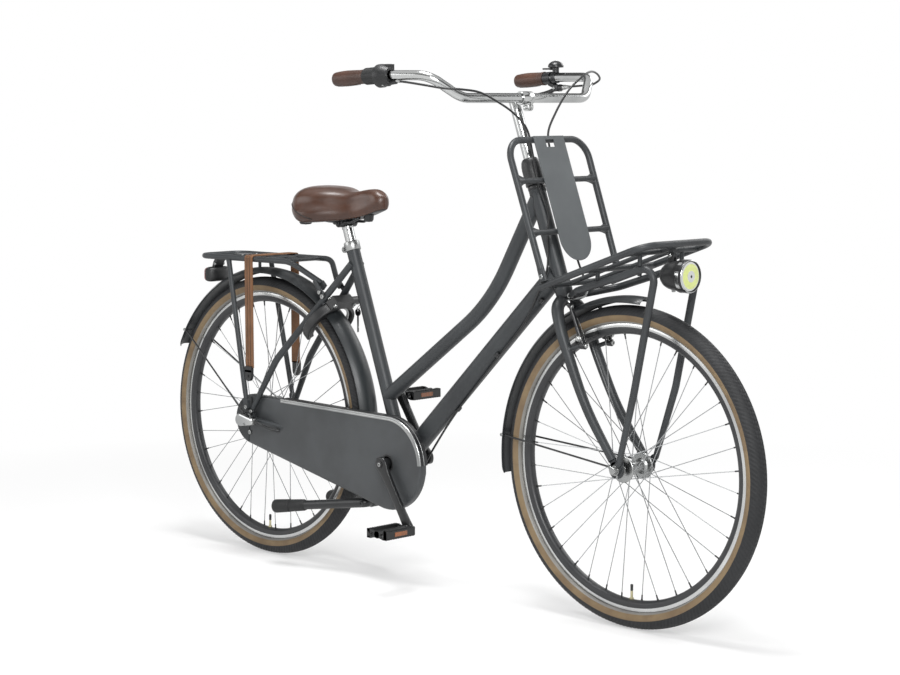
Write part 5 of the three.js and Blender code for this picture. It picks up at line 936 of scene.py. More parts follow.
@dataclass
class FrameTubes:
    """The painted frame: main tubes, stays, dropouts, bosses and the stand's plate."""

    seat_tube: float = 16.6
    head_tube: float = 18.4
    head_low: float = 752.0
    head_high: float = 958.0
    head_lip: Profile = ((18.4, -0.5), (19.9, 0), (19.9, 7), (18.4, 9))
    down_tube: float = 24.0
    down_tube_top: float = 776.0
    swan_tube: float = 17.8
    swan_foot: float = 446.0
    swan_top: float = 944.0
    swan_belly: Vector = field(default_factory=lambda: vec(783, 0, 694))
    swan_bend: float = 450.0
    bracket_radius: float = 21.0
    bracket_half: float = 34.0
    seat_stay: float = 8.6
    chain_stay: float = 8.4
    stay_half: float = 70.5
    dropout_inner: float = 67.5
    axle: float = 5.0
    carrier_boss_x: float = 247.0
    lock_boss_z: float = 667.0
    lock_boss_length: float = 13.0
    bridge_z: float = 666.5
    stand: Vector = field(default_factory=lambda: vec(394, 0, 183))
    stand_eye: Profile = ((8.6, -16), (12.4, -16), (13.3, -15), (13.3, 15), (12.4, 16), (8.6, 16),
                          (8.6, -16))
    cup: Profile = ((17.4, 0), (20.2, 0.4), (20.5, 2), (20.5, 6.4), (19.4, 9), (15, 9))

    def build(self) -> None:
        """Builds the frame, its headset cups and its small bolts."""
        piece = Piece()
        self.main(piece)
        self.rear(piece)
        piece.make("frame_tubes", F.PAINT, "frame", ["main_frame", "rear_triangle"],
                   edge=0.7)
        self.cups()
        self.bolts()

    def main(self, piece: Piece) -> None:
        """Adds the main tubes and their weld beads."""
        piece.rod(BRACKET, SEAT_TUBE_TOP, self.seat_tube, 40)
        head_low, head_high = steer_point(self.head_low), steer_point(self.head_high)
        piece.rod(head_low, head_high, self.head_tube, 44)
        piece.lathe(self.head_lip, head_low, STEER_AXIS, 44)
        piece.lathe(self.head_lip, head_high, -STEER_AXIS, 44)
        swan_corners = [seat_point(self.swan_foot), self.swan_belly, steer_point(self.swan_top)]
        swan = bent(swan_corners, [self.swan_bend], 28)
        piece.tube(swan, self.swan_tube, 40)
        nose = steer_point(self.down_tube_top)
        lie = (nose - BRACKET).normalized()
        piece.tube([BRACKET, nose - lie * 4], self.down_tube, 44)
        shell = self.bracket_radius
        piece.rod(BRACKET - LEFT * self.bracket_half, BRACKET + LEFT * self.bracket_half, shell, 40)
        piece.weld(swan[0], SEAT_AXIS, self.seat_tube + 0.6, swan[1] - swan[0], self.swan_tube - 2)
        piece.weld(swan[-1], STEER_AXIS, self.head_tube, swan[-2] - swan[-1], self.swan_tube)
        piece.weld(nose, STEER_AXIS, self.head_tube, -lie, self.down_tube - 5.2)
        piece.weld(BRACKET, LEFT, shell, SEAT_AXIS, self.seat_tube)
        piece.weld(BRACKET, LEFT, shell, lie, self.down_tube - 3.6)

    def seat_stay_corners(self, side: int) -> Line:
        """The seat stay's corners on one side."""
        return [seat_point(764, side * 15), vec(90, side * 57, 512),
                vec(13.3, side * self.stay_half, 383.6)]

    def chain_stay_corners(self, side: int) -> Line:
        """The chain stay's corners on one side."""
        return [vec(481.5, side * 27, 293), vec(128, side * 48.5, 339.4),
                vec(30.4, side * self.stay_half, 352.25)]

    def carrier_boss(self, side: int) -> Vector:
        """Where the carrier's boss stands on the seat stay."""
        top, knee, _ = self.seat_stay_corners(side)
        return at_x(top, knee, self.carrier_boss_x)

    def rear(self, piece: Piece) -> None:
        """Adds the stays, dropouts, bridge, bosses and the stand's plate."""
        lock_way = vec(-0.749, 0, 0.6626)
        bridge = []
        for side in SIDES:
            upper, lower = self.seat_stay_corners(side), self.chain_stay_corners(side)
            for corners, bend, radius, tip in ((upper, 120, self.seat_stay, 0.78),
                                               (lower, 90, self.chain_stay, 0.8)):
                line = bent(corners, [bend], 14)
                piece.tube(line, [radius] * (len(line) - 1) + [radius * tip], 24)
            Dropout(0, side, self.dropout_inner, self.axle).add_to(piece, [upper[2], lower[2]])
            piece.lathe([(0, 0), (6.2, 0), (5, 4), (5, 13), (0, 13)], self.carrier_boss(side),
                        LEFT * side, 20)
            lock_root = at_z(upper[0], upper[1], self.lock_boss_z)
            piece.rod(lock_root, lock_root + lock_way * -self.lock_boss_length, 5, 18)
            bridge.append(at_z(upper[0], upper[1], self.bridge_z))
        piece.rod(bridge[0], bridge[1], 6.5, 24)
        self.stand_plate(piece)

    def stand_plate(self, piece: Piece) -> None:
        """Adds the plate under the chain stays and the eye that the stand turns in."""
        front, knee, _ = self.chain_stay_corners(1)
        at = at_x(front, knee, self.stand.x)
        x, z, low = self.stand.x, at.z, self.stand.z + 6
        piece.bar(vec(x - 26, -at.y, z - 4), vec(x + 26, at.y, z + 4))
        piece.lathe(self.stand_eye, self.stand, LEFT, 32)
        piece.side_plate([(x - 16, z), (x + 16, z), (x + 12, low), (x - 12, low)], -11, 11)

    def cups(self) -> None:
        """Builds the headset's two cups."""
        piece = Piece()
        piece.lathe(self.cup, steer_point(self.head_low), -STEER_AXIS, 44)
        piece.lathe(self.cup, steer_point(self.head_high), STEER_AXIS, 44)
        piece.make("headset_cups", F.BLACK, "frame", edge=0.3)

    def bolts(self) -> None:
        """Builds the bright bolts on the dropouts, the stays and the stand's plate."""
        piece = Piece()
        face = self.dropout_inner + Dropout.depth
        for side in SIDES:
            out = LEFT * side
            piece.bolt(vec(9, side * face, 375), out, 5.0, 3.4)
            piece.bolt(self.carrier_boss(side) + out * 13, out, 6, 3.2)
            piece.bolt(self.stand + out * 11 + UP * 60, out, 5, 3)
        piece.make("frame_bolts", F.STEEL, "frame", edge=0)


@dataclass
class SaddleAndPost:
    """The padded saddle, its shell, rails, seatpost and collar."""

    rear_x: float = 157.0
    nose_x: float = 433.0
    half_width: float = 111.0
    nose_half: float = 24.0
    top: float = 954.0
    depth: float = 94.0
    swell: float = 0.985
    section: Profile = (
        (0.0, 0.0), (0.28, 0.01), (0.5, 0.045), (0.66, 0.11), (0.75, 0.19), (0.80, 0.28), (0.82, 0.39),
        (0.87, 0.51), (0.955, 0.63), (1.0, 0.74), (0.975, 0.86), (0.90, 0.95), (0.7, 0.985), (0.35, 0.96),
        (0.0, 0.95))
    rows: int = 44
    around: int = 56
    bare_under: tuple[int, int] = (23, 33)
    post: float = 13.4
    post_depth: float = 190.0
    post_head: Profile = ((13.4, 0), (14.4, 2), (14.4, 7), (10, 13))
    rail: float = 3.5
    rail_spread: float = 22.0
    clamp_height: float = 862.0
    clamp_half: float = 28.0
    clamp_drum: Profile = ((0, -28), (10.2, -28), (11, -27), (11, -15), (9.2, -13), (9.2, 13), (11, 15),
                           (11, 27),
                           (10.2, 28), (0, 28))
    clamp_lump: float = 26.0
    rear_bumper: Profile = ((0, 2), (16, 2), (16, -5), (13, -9), (0, -10.4))
    nose_bumper: Profile = ((0, 2), (13, 2), (12, -10), (9, -15), (0, -16))
    collar_drop: float = 21.0
    collar_ring: Profile = ((17, 0), (19, 0), (19.6, 0.8), (19.6, 20), (18.6, 22.6), (15.2, 23),
                            (14.2, 23),
                            (14.2, 20), (17, 20), (17, 0))
    collar_ear: Profile = ((0, 0), (8, 0), (8, 5), (7.2, 5.8), (0, 5.8))

    def half_at(self, share: float) -> float:
        """Half the saddle's width at a share of its length."""
        share = min(max(share, 0.002), 0.998)
        rear = math.sqrt(max(0.0, 1 - (1 - min(share / 0.3, 1)) ** 2.4))
        flank = 1 / (1 + math.exp((share - 0.5) * 13))
        nose = math.sqrt(max(0.0, 1 - max(0.0, (share - 0.9) / 0.1) ** 2))
        return (self.nose_half + (self.half_width - self.nose_half) * flank) * rear * nose

    def top_at(self, share: float) -> float:
        """The height of the saddle's top line at a share of its length."""
        dip = math.exp(-(((share - 0.61) / 0.15) ** 2)) * 10
        rear = (max(0.0, 0.24 - share) / 0.24) ** 2 * 14
        nose = (max(0.0, share - 0.86) / 0.14) ** 2 * 18
        fall = 8 * share
        return self.top - dip - rear - nose - fall

    def edge_at(self, share: float) -> float:
        """The height of the saddle's lower edge at a share of its length."""
        tuck = max(0.0, 1 - share / 0.2) ** 2 * 12
        return self.top - self.depth + share ** 2.6 * 38 + tuck

    def x_at(self, share: float) -> float:
        """The place ahead of the rear axle at a share of the saddle's length."""
        return self.rear_x + (self.nose_x - self.rear_x) * share

    def section_at(self, share: float, place: float) -> tuple[float, float]:
        """A point of the cover's section, as shares of its half width and of its height.

        Args:
            share: The share of the saddle's length.
            place: How far round the half section, from 0 on top to 1 underneath.

        Returns:
            The shares across and downwards.
        """
        spot = place * (len(self.section) - 1)
        low = min(int(spot), len(self.section) - 2)
        part = spot - low
        before, after = self.section[max(low - 1, 0)], self.section[min(low + 2, len(self.section) - 1)]
        near, far = self.section[low], self.section[low + 1]
        across, down = (
            near[i] + part * ((far[i] - before[i]) / 2 + part * (
                (2 * before[i] - 5 * near[i] + 4 * far[i] - after[i]) / 2
                + part * (3 * near[i] - 3 * far[i] + after[i] - before[i]) / 2))
            for i in (0, 1))
        turn = math.pi * place
        blend = max(0.0, (share - 0.72) / 0.28, (0.30 - share) / 0.30)
        blend = blend * blend * (3 - 2 * blend) if blend < 1 else 1.0
        round_across, round_down = math.sin(turn) ** 0.8, (1 - math.cos(turn)) / 2
        return across + (round_across - across) * blend, down + (round_down - down) * blend

    def cover_point(self, share: float, place: float, side: int) -> Vector:
        """A point on the cover, on one side of the bike."""
        across, down = self.section_at(share, place)
        top, edge = self.top_at(share), self.edge_at(share)
        left = side * max(self.half_at(share), 1.0) * across * self.swell
        return vec(self.x_at(share), left, top - (top - edge) * down)

    def build(self) -> None:
        """Builds every piece that moves with the seatpost, and the collar."""
        self.cover()
        self.piping()
        self.shell()
        self.seatpost()
        self.collar()

    def cover(self) -> None:
        """Builds the padded cover: a crowned form that is swollen as stuffed leather is."""
        half = self.around // 2
        rings = []
        for i in range(self.rows + 1):
            share = 0.5 - math.cos(math.pi * i / self.rows) / 2
            left = [self.cover_point(share, k / half, 1) for k in range(half + 1)]
            rings.append(left + [self.cover_point(share, k / half, -1) for k in range(half - 1, 0, -1)])
        bare_from, bare_to = self.bare_under
        piece = Piece()
        piece.loft(rings, [1 if bare_from <= k < bare_to else 0 for k in range(self.around)])
        made = piece.make("saddle_leather", [F.LEATHER, F.PLASTIC], "seat", ["saddle_cover"],
                          edge=0)

    def piping(self) -> None:
        """Builds the seam's piping across the cover's rear corners and round its skirt."""
        piece = Piece()
        count = 16
        for side in SIDES:
            line = [self.cover_point(0.03 + 0.36 * i / count, 0.44 + 0.30 * (i / count) ** 1.1, side)
                    for i in range(count + 1)]
            piece.tube(curved(line, 3), 1.5, 10, 0)
        piece.make("saddle_seam", F.THREAD, "seat", edge=0)

    def shell(self) -> None:
        """Builds the plastic shell under the cover with its rails, clamp and bumpers."""
        piece = Piece()
        rings = []
        rows, columns = 18, 16
        width_share, thick, curl = 0.74, 7.5, 3.5
        for i in range(rows + 1):
            share = 0.13 + 0.8 * i / rows
            x, half, top = self.x_at(share), self.half_at(share) * width_share, self.edge_at(share) + 10
            places = [-1 + 2 * k / columns for k in range(columns + 1)]
            under = [vec(x, half * a, top - thick + curl * a ** 4) for a in places]
            rings.append(under + [vec(x, -half * a, top) for a in places])
        piece.loft(rings)
        clamp = seat_point(self.clamp_height)
        rail_z = clamp.z + 3
        for side in SIDES:
            y = side * self.rail_spread
            line = bent([vec(232, y * 1.6, self.edge_at(0.25) + 8), vec(254, y, rail_z),
                         vec(clamp.x + 40, y, rail_z), vec(clamp.x + 66, y * 0.8, self.edge_at(0.6) + 6)],
                        [12, 20], 8)
            piece.tube(line, self.rail, 14, 1)
            piece.lathe(self.rear_bumper, vec(206, y * 2.6, self.edge_at(0.16) + 6), UP, 28)
        piece.lathe(self.nose_bumper, vec(371, 0, self.edge_at(0.75) + 4), UP, 24)
        piece.make("saddle_underside", [F.PLASTIC, F.BLACK], "seat", ["saddle_base"],
                   edge=0.4)

    def seatpost(self) -> None:
        """Builds the polished post and the clamp on the rails."""
        piece = Piece()
        clamp = seat_point(self.clamp_height)
        piece.rod(SEAT_TUBE_TOP - SEAT_AXIS * self.post_depth, clamp - SEAT_AXIS * 6, self.post, 40)
        piece.lathe(self.post_head, clamp - SEAT_AXIS * 16, SEAT_AXIS, 36, 0)
        piece.lathe(self.clamp_drum, clamp, LEFT, 30, 1)
        lump = clamp - AHEAD * self.clamp_lump + UP * 3
        piece.rod(lump - LEFT * 16, lump + LEFT * 16, 8.5, 24, 1)
        piece.rod(lump, clamp, 7, 20, 1)
        for side in SIDES:
            piece.hex_nut(clamp + LEFT * (side * self.clamp_half), LEFT * side, 7.5, 4.5, 1, thread=3.4)
            y = side * self.rail_spread
            piece.bar(vec(clamp.x - 16, y - 6, clamp.z + 4.5), vec(clamp.x + 16, y + 6, clamp.z + 9), 1)
        piece.make("seatpost_tube", [F.CHROME, F.BLACK], "seat", ["seatpost"], edge=0.5)

    def collar(self) -> None:
        """Builds the seat tube's clamping collar with its ear and bolt."""
        piece = Piece()
        base = SEAT_TUBE_TOP - SEAT_AXIS * self.collar_drop
        piece.lathe(self.collar_ring, base, SEAT_AXIS, 44)
        back = SEAT_AXIS.cross(LEFT).normalized()
        for side in SIDES:
            out = LEFT * side
            centre = base + back * 25 + SEAT_AXIS * 10.5 + out * 1.2
            piece.lathe(self.collar_ear, centre, out, 28)
            piece.bolt(centre + out * 5.6, out, 4.4, 4)
        piece.make("seat_collar_ring", F.ALLOY, "frame", ["seat_collar"], edge=0.4)


@dataclass
class ForkAndStem:
    """The fork with its blades and crown, the headset cover and the stem."""

    blade_radii: tuple[float, ...] = (14.2, 14.2, 13.2, 12.0, 10.8, 9.6)
    crown: float = 738.0
    crown_base: float = 743.4
    crown_form: Profile = ((0, 0), (17.5, 0), (20.3, -4), (20.5, -8), (18.5, -26), (14, -30), (0, -31))
    steerer: float = 14.1
    dropout_inner: float = 50.0
    axle: float = 4.6
    boss_way: Vector = field(default_factory=lambda: vec(34, 0, 12))
    boss_root: Vector = field(default_factory=lambda: vec(31, 0, 11))
    boss_collar: Profile = ((8.5, 0), (8.5, 3), (5.4, 6), (5, 6))
    cap_base: float = 967.0
    cap_form: Profile = ((14.2, 0), (22.6, 0), (23, 0.8), (23, 7), (22.4, 7.6), (22.4, 8.4), (23, 9),
                         (23, 31),
                         (23, 38), (22.2, 48), (20.4, 56), (18.2, 60.6), (15.6, 62.8), (12.9, 63))
    quill: float = 12.6
    quill_foot: float = 930.0
    quill_top: float = 1163.0
    quill_cap: Profile = ((12.6, 0), (12.6, 3), (11.2, 7), (6, 9.6), (0, 10))
    neck: float = 11.3
    clamp_x: float = 886.0
    clamp: Profile = ((11.6, -18), (14.6, -18), (15.2, -17.2), (15.2, 17.2), (14.6, 18), (11.6, 18),
                      (11.6, -18))
    ear_x: float = 895.0
    ear: Profile = ((0, 0), (9, 0), (9, 7.4), (8.2, 8.2), (0, 8.2))

    def blade_points(self, side: int) -> Line:
        """The points that one blade passes."""
        x = steer_point(self.crown).x
        return [vec(x + 4, side * 8, 715), vec(x + 14, side * 34, 699), vec(x + 30, side * 46, 664),
                vec(x + 60, side * 48, 592), vec(x + 115, side * 50.5, 483), vec(1193, side * 53, 377)]

    def build(self) -> None:
        """Builds the fork, the cover and the stem."""
        self.fork()
        self.cover()
        self.stem()

    def fork(self) -> None:
        """Builds the blades, crown, steerer, dropouts and brake bosses."""
        piece = Piece()
        piece.rod(steer_point(726), steer_point(989), self.steerer, 32)
        piece.lathe(self.crown_form, steer_point(self.crown_base), STEER_AXIS, 40)
        for side in SIDES:
            line = curved(self.blade_points(side), 9)
            piece.tube(line, spread_radii(self.blade_radii, len(line)), 28)
            Dropout(WHEELBASE, side, self.dropout_inner, self.axle).add_to(piece, [line[-1]])
            boss = vec(1093, side * 47, 621)
            piece.rod(boss - self.boss_way, boss, 5, 20)
            piece.lathe(self.boss_collar, boss - self.boss_root, self.boss_way, 24)
        piece.rod(steer_point(self.crown), steer_point(719), 5, 16)
        piece.rod(by_steering(744, 12, 0), by_steering(716, 12, 0), 4.5, 16)
        piece.make("fork_blades", F.PAINT, "steering", ["fork"], edge=0.7)

    def cover(self) -> None:
        """Builds the domed cover over the headset."""
        piece = Piece()
        piece.lathe(self.cap_form, steer_point(self.cap_base) + STEER_AXIS * 0.3, STEER_AXIS, 44)
        piece.make("headset_cap", F.PLASTIC, "steering", ["headset_cover"], edge=0.3)

    def stem(self) -> None:
        """Builds the quill stem and its bar clamp."""
        piece = Piece()
        top = steer_point(self.quill_top)
        bar = vec(self.clamp_x, 0, self.quill_top)
        piece.rod(steer_point(self.quill_foot), steer_point(self.quill_top - 3), self.quill, 36)
        piece.lathe(self.quill_cap, top, STEER_AXIS, 36)
        piece.tube(bent([steer_point(self.quill_top - 43), top, bar], [6], 8)[-2:], self.neck, 32)
        piece.lathe(self.clamp, bar, LEFT, 40)
        for side in SIDES:
            out = LEFT * side
            low, high = span(side, 1, 9)
            piece.lathe(self.ear, vec(self.ear_x, side, 1142.5), out, 28)
            piece.bar(vec(self.ear_x - 7, low, 1143), vec(self.ear_x + 7, high, 1152))
            piece.bolt(vec(self.ear_x, side * 9, 1141.8), out, 5.2, 4.6)
        piece.bolt(steer_point(1172), STEER_AXIS, 5, 0.8)
        piece.make("stem_quill", F.CHROME, "steering", ["stem"], edge=0.5)


BAR_END = vec(574, 302, 1205)
BAR_KNEE = vec(846, 290, 1221)
BAR_ELBOW = vec(886, 205, 1163)
BAR_BEND = vec(846, 267, 1212)
SHIFTER_AT = 147.2
LEVER_DOWN = vec(0, 0.26, -0.966).normalized()


def mirrored(point: Vector, side: int) -> Vector:
    """A left-hand point on the side asked for."""
    return vec(point.x, point.y * side, point.z)


def grip_way(side: int) -> Vector:
    """The direction of a grip's run, from its rear end forwards."""
    return (mirrored(BAR_KNEE, side) - mirrored(BAR_END, side)).normalized()


def on_grip(side: int, distance: float) -> Vector:
    """A point on a grip's axis, at a distance from its rear end."""
    return mirrored(BAR_END, side) + grip_way(side) * distance


LEVER_PIVOT = on_grip(1, 136.6) + LEVER_DOWN * 25.92


@dataclass
class Cockpit:
    """The handlebar with its grips, gear shifter, brake lever and bell."""

    bar: float = 11.1
    bar_bends: tuple[float, ...] = (300, 60, 50, 50, 60, 300)
    bar_straight: float = 150.0
    grip_length: float = 106.0
    grip_start: float = 14.0
    grip_form: Profile = (
        (0, -4.3), (9, -4.1), (13, -3.0), (15.2, -0.6), (15.8, 2.4), (16.6, 14), (17.3, 30), (17.4, 42),
        (17.0, 58), (16.4, 74), (15.9, 84), (15.7, 88.4), (15.0, 89.2), (15.7, 90.0), (15.9, 93.6),
        (15.1, 94.4),
        (15.9, 95.2), (16.1, 98.8), (15.3, 99.6), (16.2, 100.4), (16.5, 105.0), (15.8, 106.0),
        (11.2, 106.0))
    stitches: int = 18
    stitch_gap: float = 4.0
    stitch: float = 2.4
    stitch_radius: float = 0.55
    ring_form: Profile = (
        (17.6, 106.8), (18.6, 107.6), (19.0, 110), (19.0, 134), (19.6, 141), (19.2, 145.6), (18.2, 146.4))
    ring_steps: int = 108
    flutes: int = 9
    flute_depth: float = 1.9
    ring_play: float = 0.4
    housing: Profile = ((12, 0), (24, 0), (26, 1.2), (26, 11), (23.4, 19), (18.6, 30), (16.6, 34),
                        (11.4, 34))
    spout_radii: tuple[float, ...] = (8.4, 7.4, 6.8, 6.2, 5.8, 5.6, 5.2, 5.0, 4.6)
    perch_band: Profile = ((11.4, 0), (14.2, 0), (15, 0.9), (15, 21), (14.2, 22), (11.4, 22))
    perch_at: float = 106.6
    barrel: Profile = ((3.2, 0), (6, 0), (6, 7), (5.2, 8), (4.6, 8), (4.6, 14), (3.4, 21), (2.6, 22))
    lever_tip: Profile = ((0, -2), (4.4, -2), (5.6, 2), (5.6, 6), (4.4, 9), (0, 9.4))
    lever_radii: tuple[float, ...] = (5, 5.6, 5.2, 5.0)
    bell_at: float = 134.6
    bell_band: Profile = ((11.4, 0), (13.4, 0), (14, 0.7), (14, 12.3), (13.4, 13), (11.4, 13))
    bell_dome: Profile = ((0, 0), (8, 0), (8, 11), (17.6, 11.6), (18.8, 12.6), (19, 14), (18.6, 17),
                          (16.8, 20.4),
                          (13.3, 23.6), (8.6, 26.2), (4, 27.6), (0, 28))
    thumb_hinge: Profile = ((0, -3), (3.6, -3), (4, -2.6), (4, 2.6), (3.6, 3), (0, 3))
    thumb: Profile = ((-1, -4), (-20, -5), (-24.6, -3.6), (-26, 0), (-24.6, 3.6), (-20, 5), (-1, 4))

    def build(self) -> None:
        """Builds the bar and everything on it."""
        self.handlebar()
        for side, name in NAMED_SIDES:
            self.grip(side, name)
        self.shifter()
        self.lever()
        self.bell()

    def handlebar(self) -> None:
        """Builds the swept bar."""
        half = [BAR_ELBOW, BAR_BEND, on_grip(1, self.bar_straight), on_grip(1, self.grip_start)]
        corners = [mirrored(point, -1) for point in reversed(half)] + half
        piece = Piece()
        piece.tube(bent(corners, self.bar_bends, 16), self.bar, 36)
        piece.make("handlebar_tube", F.CHROME, "steering", ["handlebar"], edge=0)

    def grip(self, side: int, name: str) -> None:
        """Builds one leather grip, with its end cap, ribs and seam."""
        start, along = on_grip(side, self.grip_start), grip_way(side)
        share = (self.grip_length - self.grip_start) / self.grip_length
        piece = Piece()
        piece.lathe([(radius, place * share) for radius, place in self.grip_form], start, along, 48)
        piece.make(f"grip_leather_{name}", F.GRIP, "steering", [f"grip_{name}"], edge=0)
        seam = Piece()
        under = (-UP - along * -UP.dot(along)).normalized()
        for i in range(self.stitches):
            place = (i + 1) * self.stitch_gap
            end = place + self.stitch
            near, far = self.grip_radius(place), self.grip_radius(end)
            seam.tube([start + along * place + under * near,
                       start + along * (place + self.stitch / 2) + under * (near + 0.35),
                       start + along * end + under * far], self.stitch_radius, 6)
        seam.make(f"grip_stitches_{name}", F.THREAD, "steering", edge=0)

    @staticmethod
    def grip_radius(place: float) -> float:
        """The grip's radius at a place along it."""
        return 15.8 + 1.6 * math.sin(math.pi * min(max(place / 84, 0), 1)) ** 0.8 - 0.1

    def shifter(self) -> None:
        """Builds the fluted twist ring and the shifter's housing."""
        along = grip_way(-1)
        side = along.orthogonal().normalized()
        other = along.cross(side)
        ring = Piece()
        rings = []
        for radius, place in self.ring_form:
            points = []
            for k in range(self.ring_steps):
                turn = FULL_TURN * k / self.ring_steps
                wave = (0.5 + 0.5 * math.cos(self.flutes * turn)) ** 1.6
                cut = self.flute_depth * wave if 108 < place < 142 else self.ring_play
                out = side * math.cos(turn) + other * math.sin(turn)
                points.append(on_grip(-1, place) + out * (radius - cut))
            rings.append(points)
        ring.loft(rings)
        ring.make("shifter_twist_ring", F.RUBBER, "gear_twist", ["shifter_ring"], edge=0.3)
        base = on_grip(-1, SHIFTER_AT) - UP * 2
        body = Piece()
        body.lathe(self.housing, base, along, 44)
        spout = [base + vec(10, 2, -14.9), base + vec(30, 4, -15), base + vec(48, 6, -13.2)]
        body.tube(bent(spout, [30], 6), self.spout_radii, 20)
        body.slab([(3, 0), (30, -3), (30, 17), (3, 22)], base + UP * 12, AHEAD, LEFT, UP * 14, mark=0)
        body.slab([(7, 3), (26, 1), (26, 13), (7, 16)], base + UP * 26, AHEAD, LEFT, UP * 0.5, mark=1)
        body.bolt(base + vec(18, -8, -20), vec(0, -0.4, -0.9), 3.4, 2, 2)
        body.make("shifter_housing", [F.PLASTIC, F.BOWL, F.STEEL], "steering",
                  ["shifter_body"], edge=0.9)

    def lever(self) -> None:
        """Builds the brake lever, its perch and the cable's barrel adjuster."""
        along, pivot = grip_way(1), LEVER_PIVOT
        perch = Piece()
        perch.lathe(self.perch_band, on_grip(1, self.perch_at), along, 36)
        middle = on_grip(1, self.perch_at + 11)
        neck = middle + LEVER_DOWN * 12
        perch.tube(curved([neck, neck.lerp(pivot, 0.5) + along * 4, pivot + along * 7], 6), 7, 20)
        for side in SIDES:
            out = LEFT * (7.2 * side)
            perch.tube([pivot + along * 12 + out, pivot + out, pivot - along * 5 + out], [8.6, 8.6, 6.4],
                       20,
                       flat=0.22)
            perch.bolt(pivot + LEFT * (9.0 * side), LEFT * side, 3.6, 2, 1)
        perch.tube([pivot + along * 12, pivot + along * 24], [8.6, 6.2], 20)
        perch.lathe(self.barrel, pivot + along * 24, along, 14, 1)
        perch.bolt(middle + vec(0, 14, 4), vec(0, 1, 0.2), 3.4, 2.6, 1)
        perch.make("lever_perch", [F.BLACK, F.STEEL], "steering", ["brake_perch"],
                   edge=0.5)
        blade = Piece()
        back = pivot - along * 24 + LEVER_DOWN * 8
        tip = pivot - along * 118 + LEVER_DOWN * 18
        line = curved([pivot, back, back.lerp(tip, 0.5) + LEVER_DOWN, tip], 8)
        blade.tube(line, spread_radii(self.lever_radii, len(line)), 20, flat=0.8)
        blade.lathe(self.lever_tip, tip, -along, 22)
        blade.rod(pivot - LEFT * 5, pivot + LEFT * 5, 5, 20)
        blade.make("lever_blade", F.BLACK, "lever", ["brake_lever"], edge=0.4)

    def bell(self) -> None:
        """Builds the bell's band, foot and dome, and its thumb piece."""
        seat = on_grip(1, self.bell_at + 6.5)
        foot = seat + UP * 12
        piece = Piece()
        piece.lathe(self.bell_band, on_grip(1, self.bell_at), grip_way(1), 36)
        piece.lathe(self.bell_dome, foot, UP, 44)
        piece.bolt(foot + UP * 27.4, UP, 3.2, 0.6, 1)
        piece.make("bell_dome", [F.BLACK, F.STEEL], "steering", ["bell"], edge=0.3)
        pivot = seat + vec(-15, 0, 20.7)
        thumb = Piece()
        thumb.lathe(self.thumb_hinge, pivot, UP, 22)
        thumb.slab(list(self.thumb), pivot - UP * 2, AHEAD, LEFT, UP * 4)
        thumb.make("bell_lever", F.PLASTIC, "bell_striker", ["bell_thumb"], edge=0.6)


def on_hoop(height: float, left: float, forward: float = 62.0) -> Vector:
    """A point in the upright hoop's plane."""
    return steer_point(height, left) + vec(forward / STEER_COS, 0, 0)


def platform_point(share: float, left: float, drop: float = 0.0) -> Vector:
    """A point on the front platform, at a share of its length."""
    return vec(1040 + 294 * share, left, 750 + 103 * share - drop)


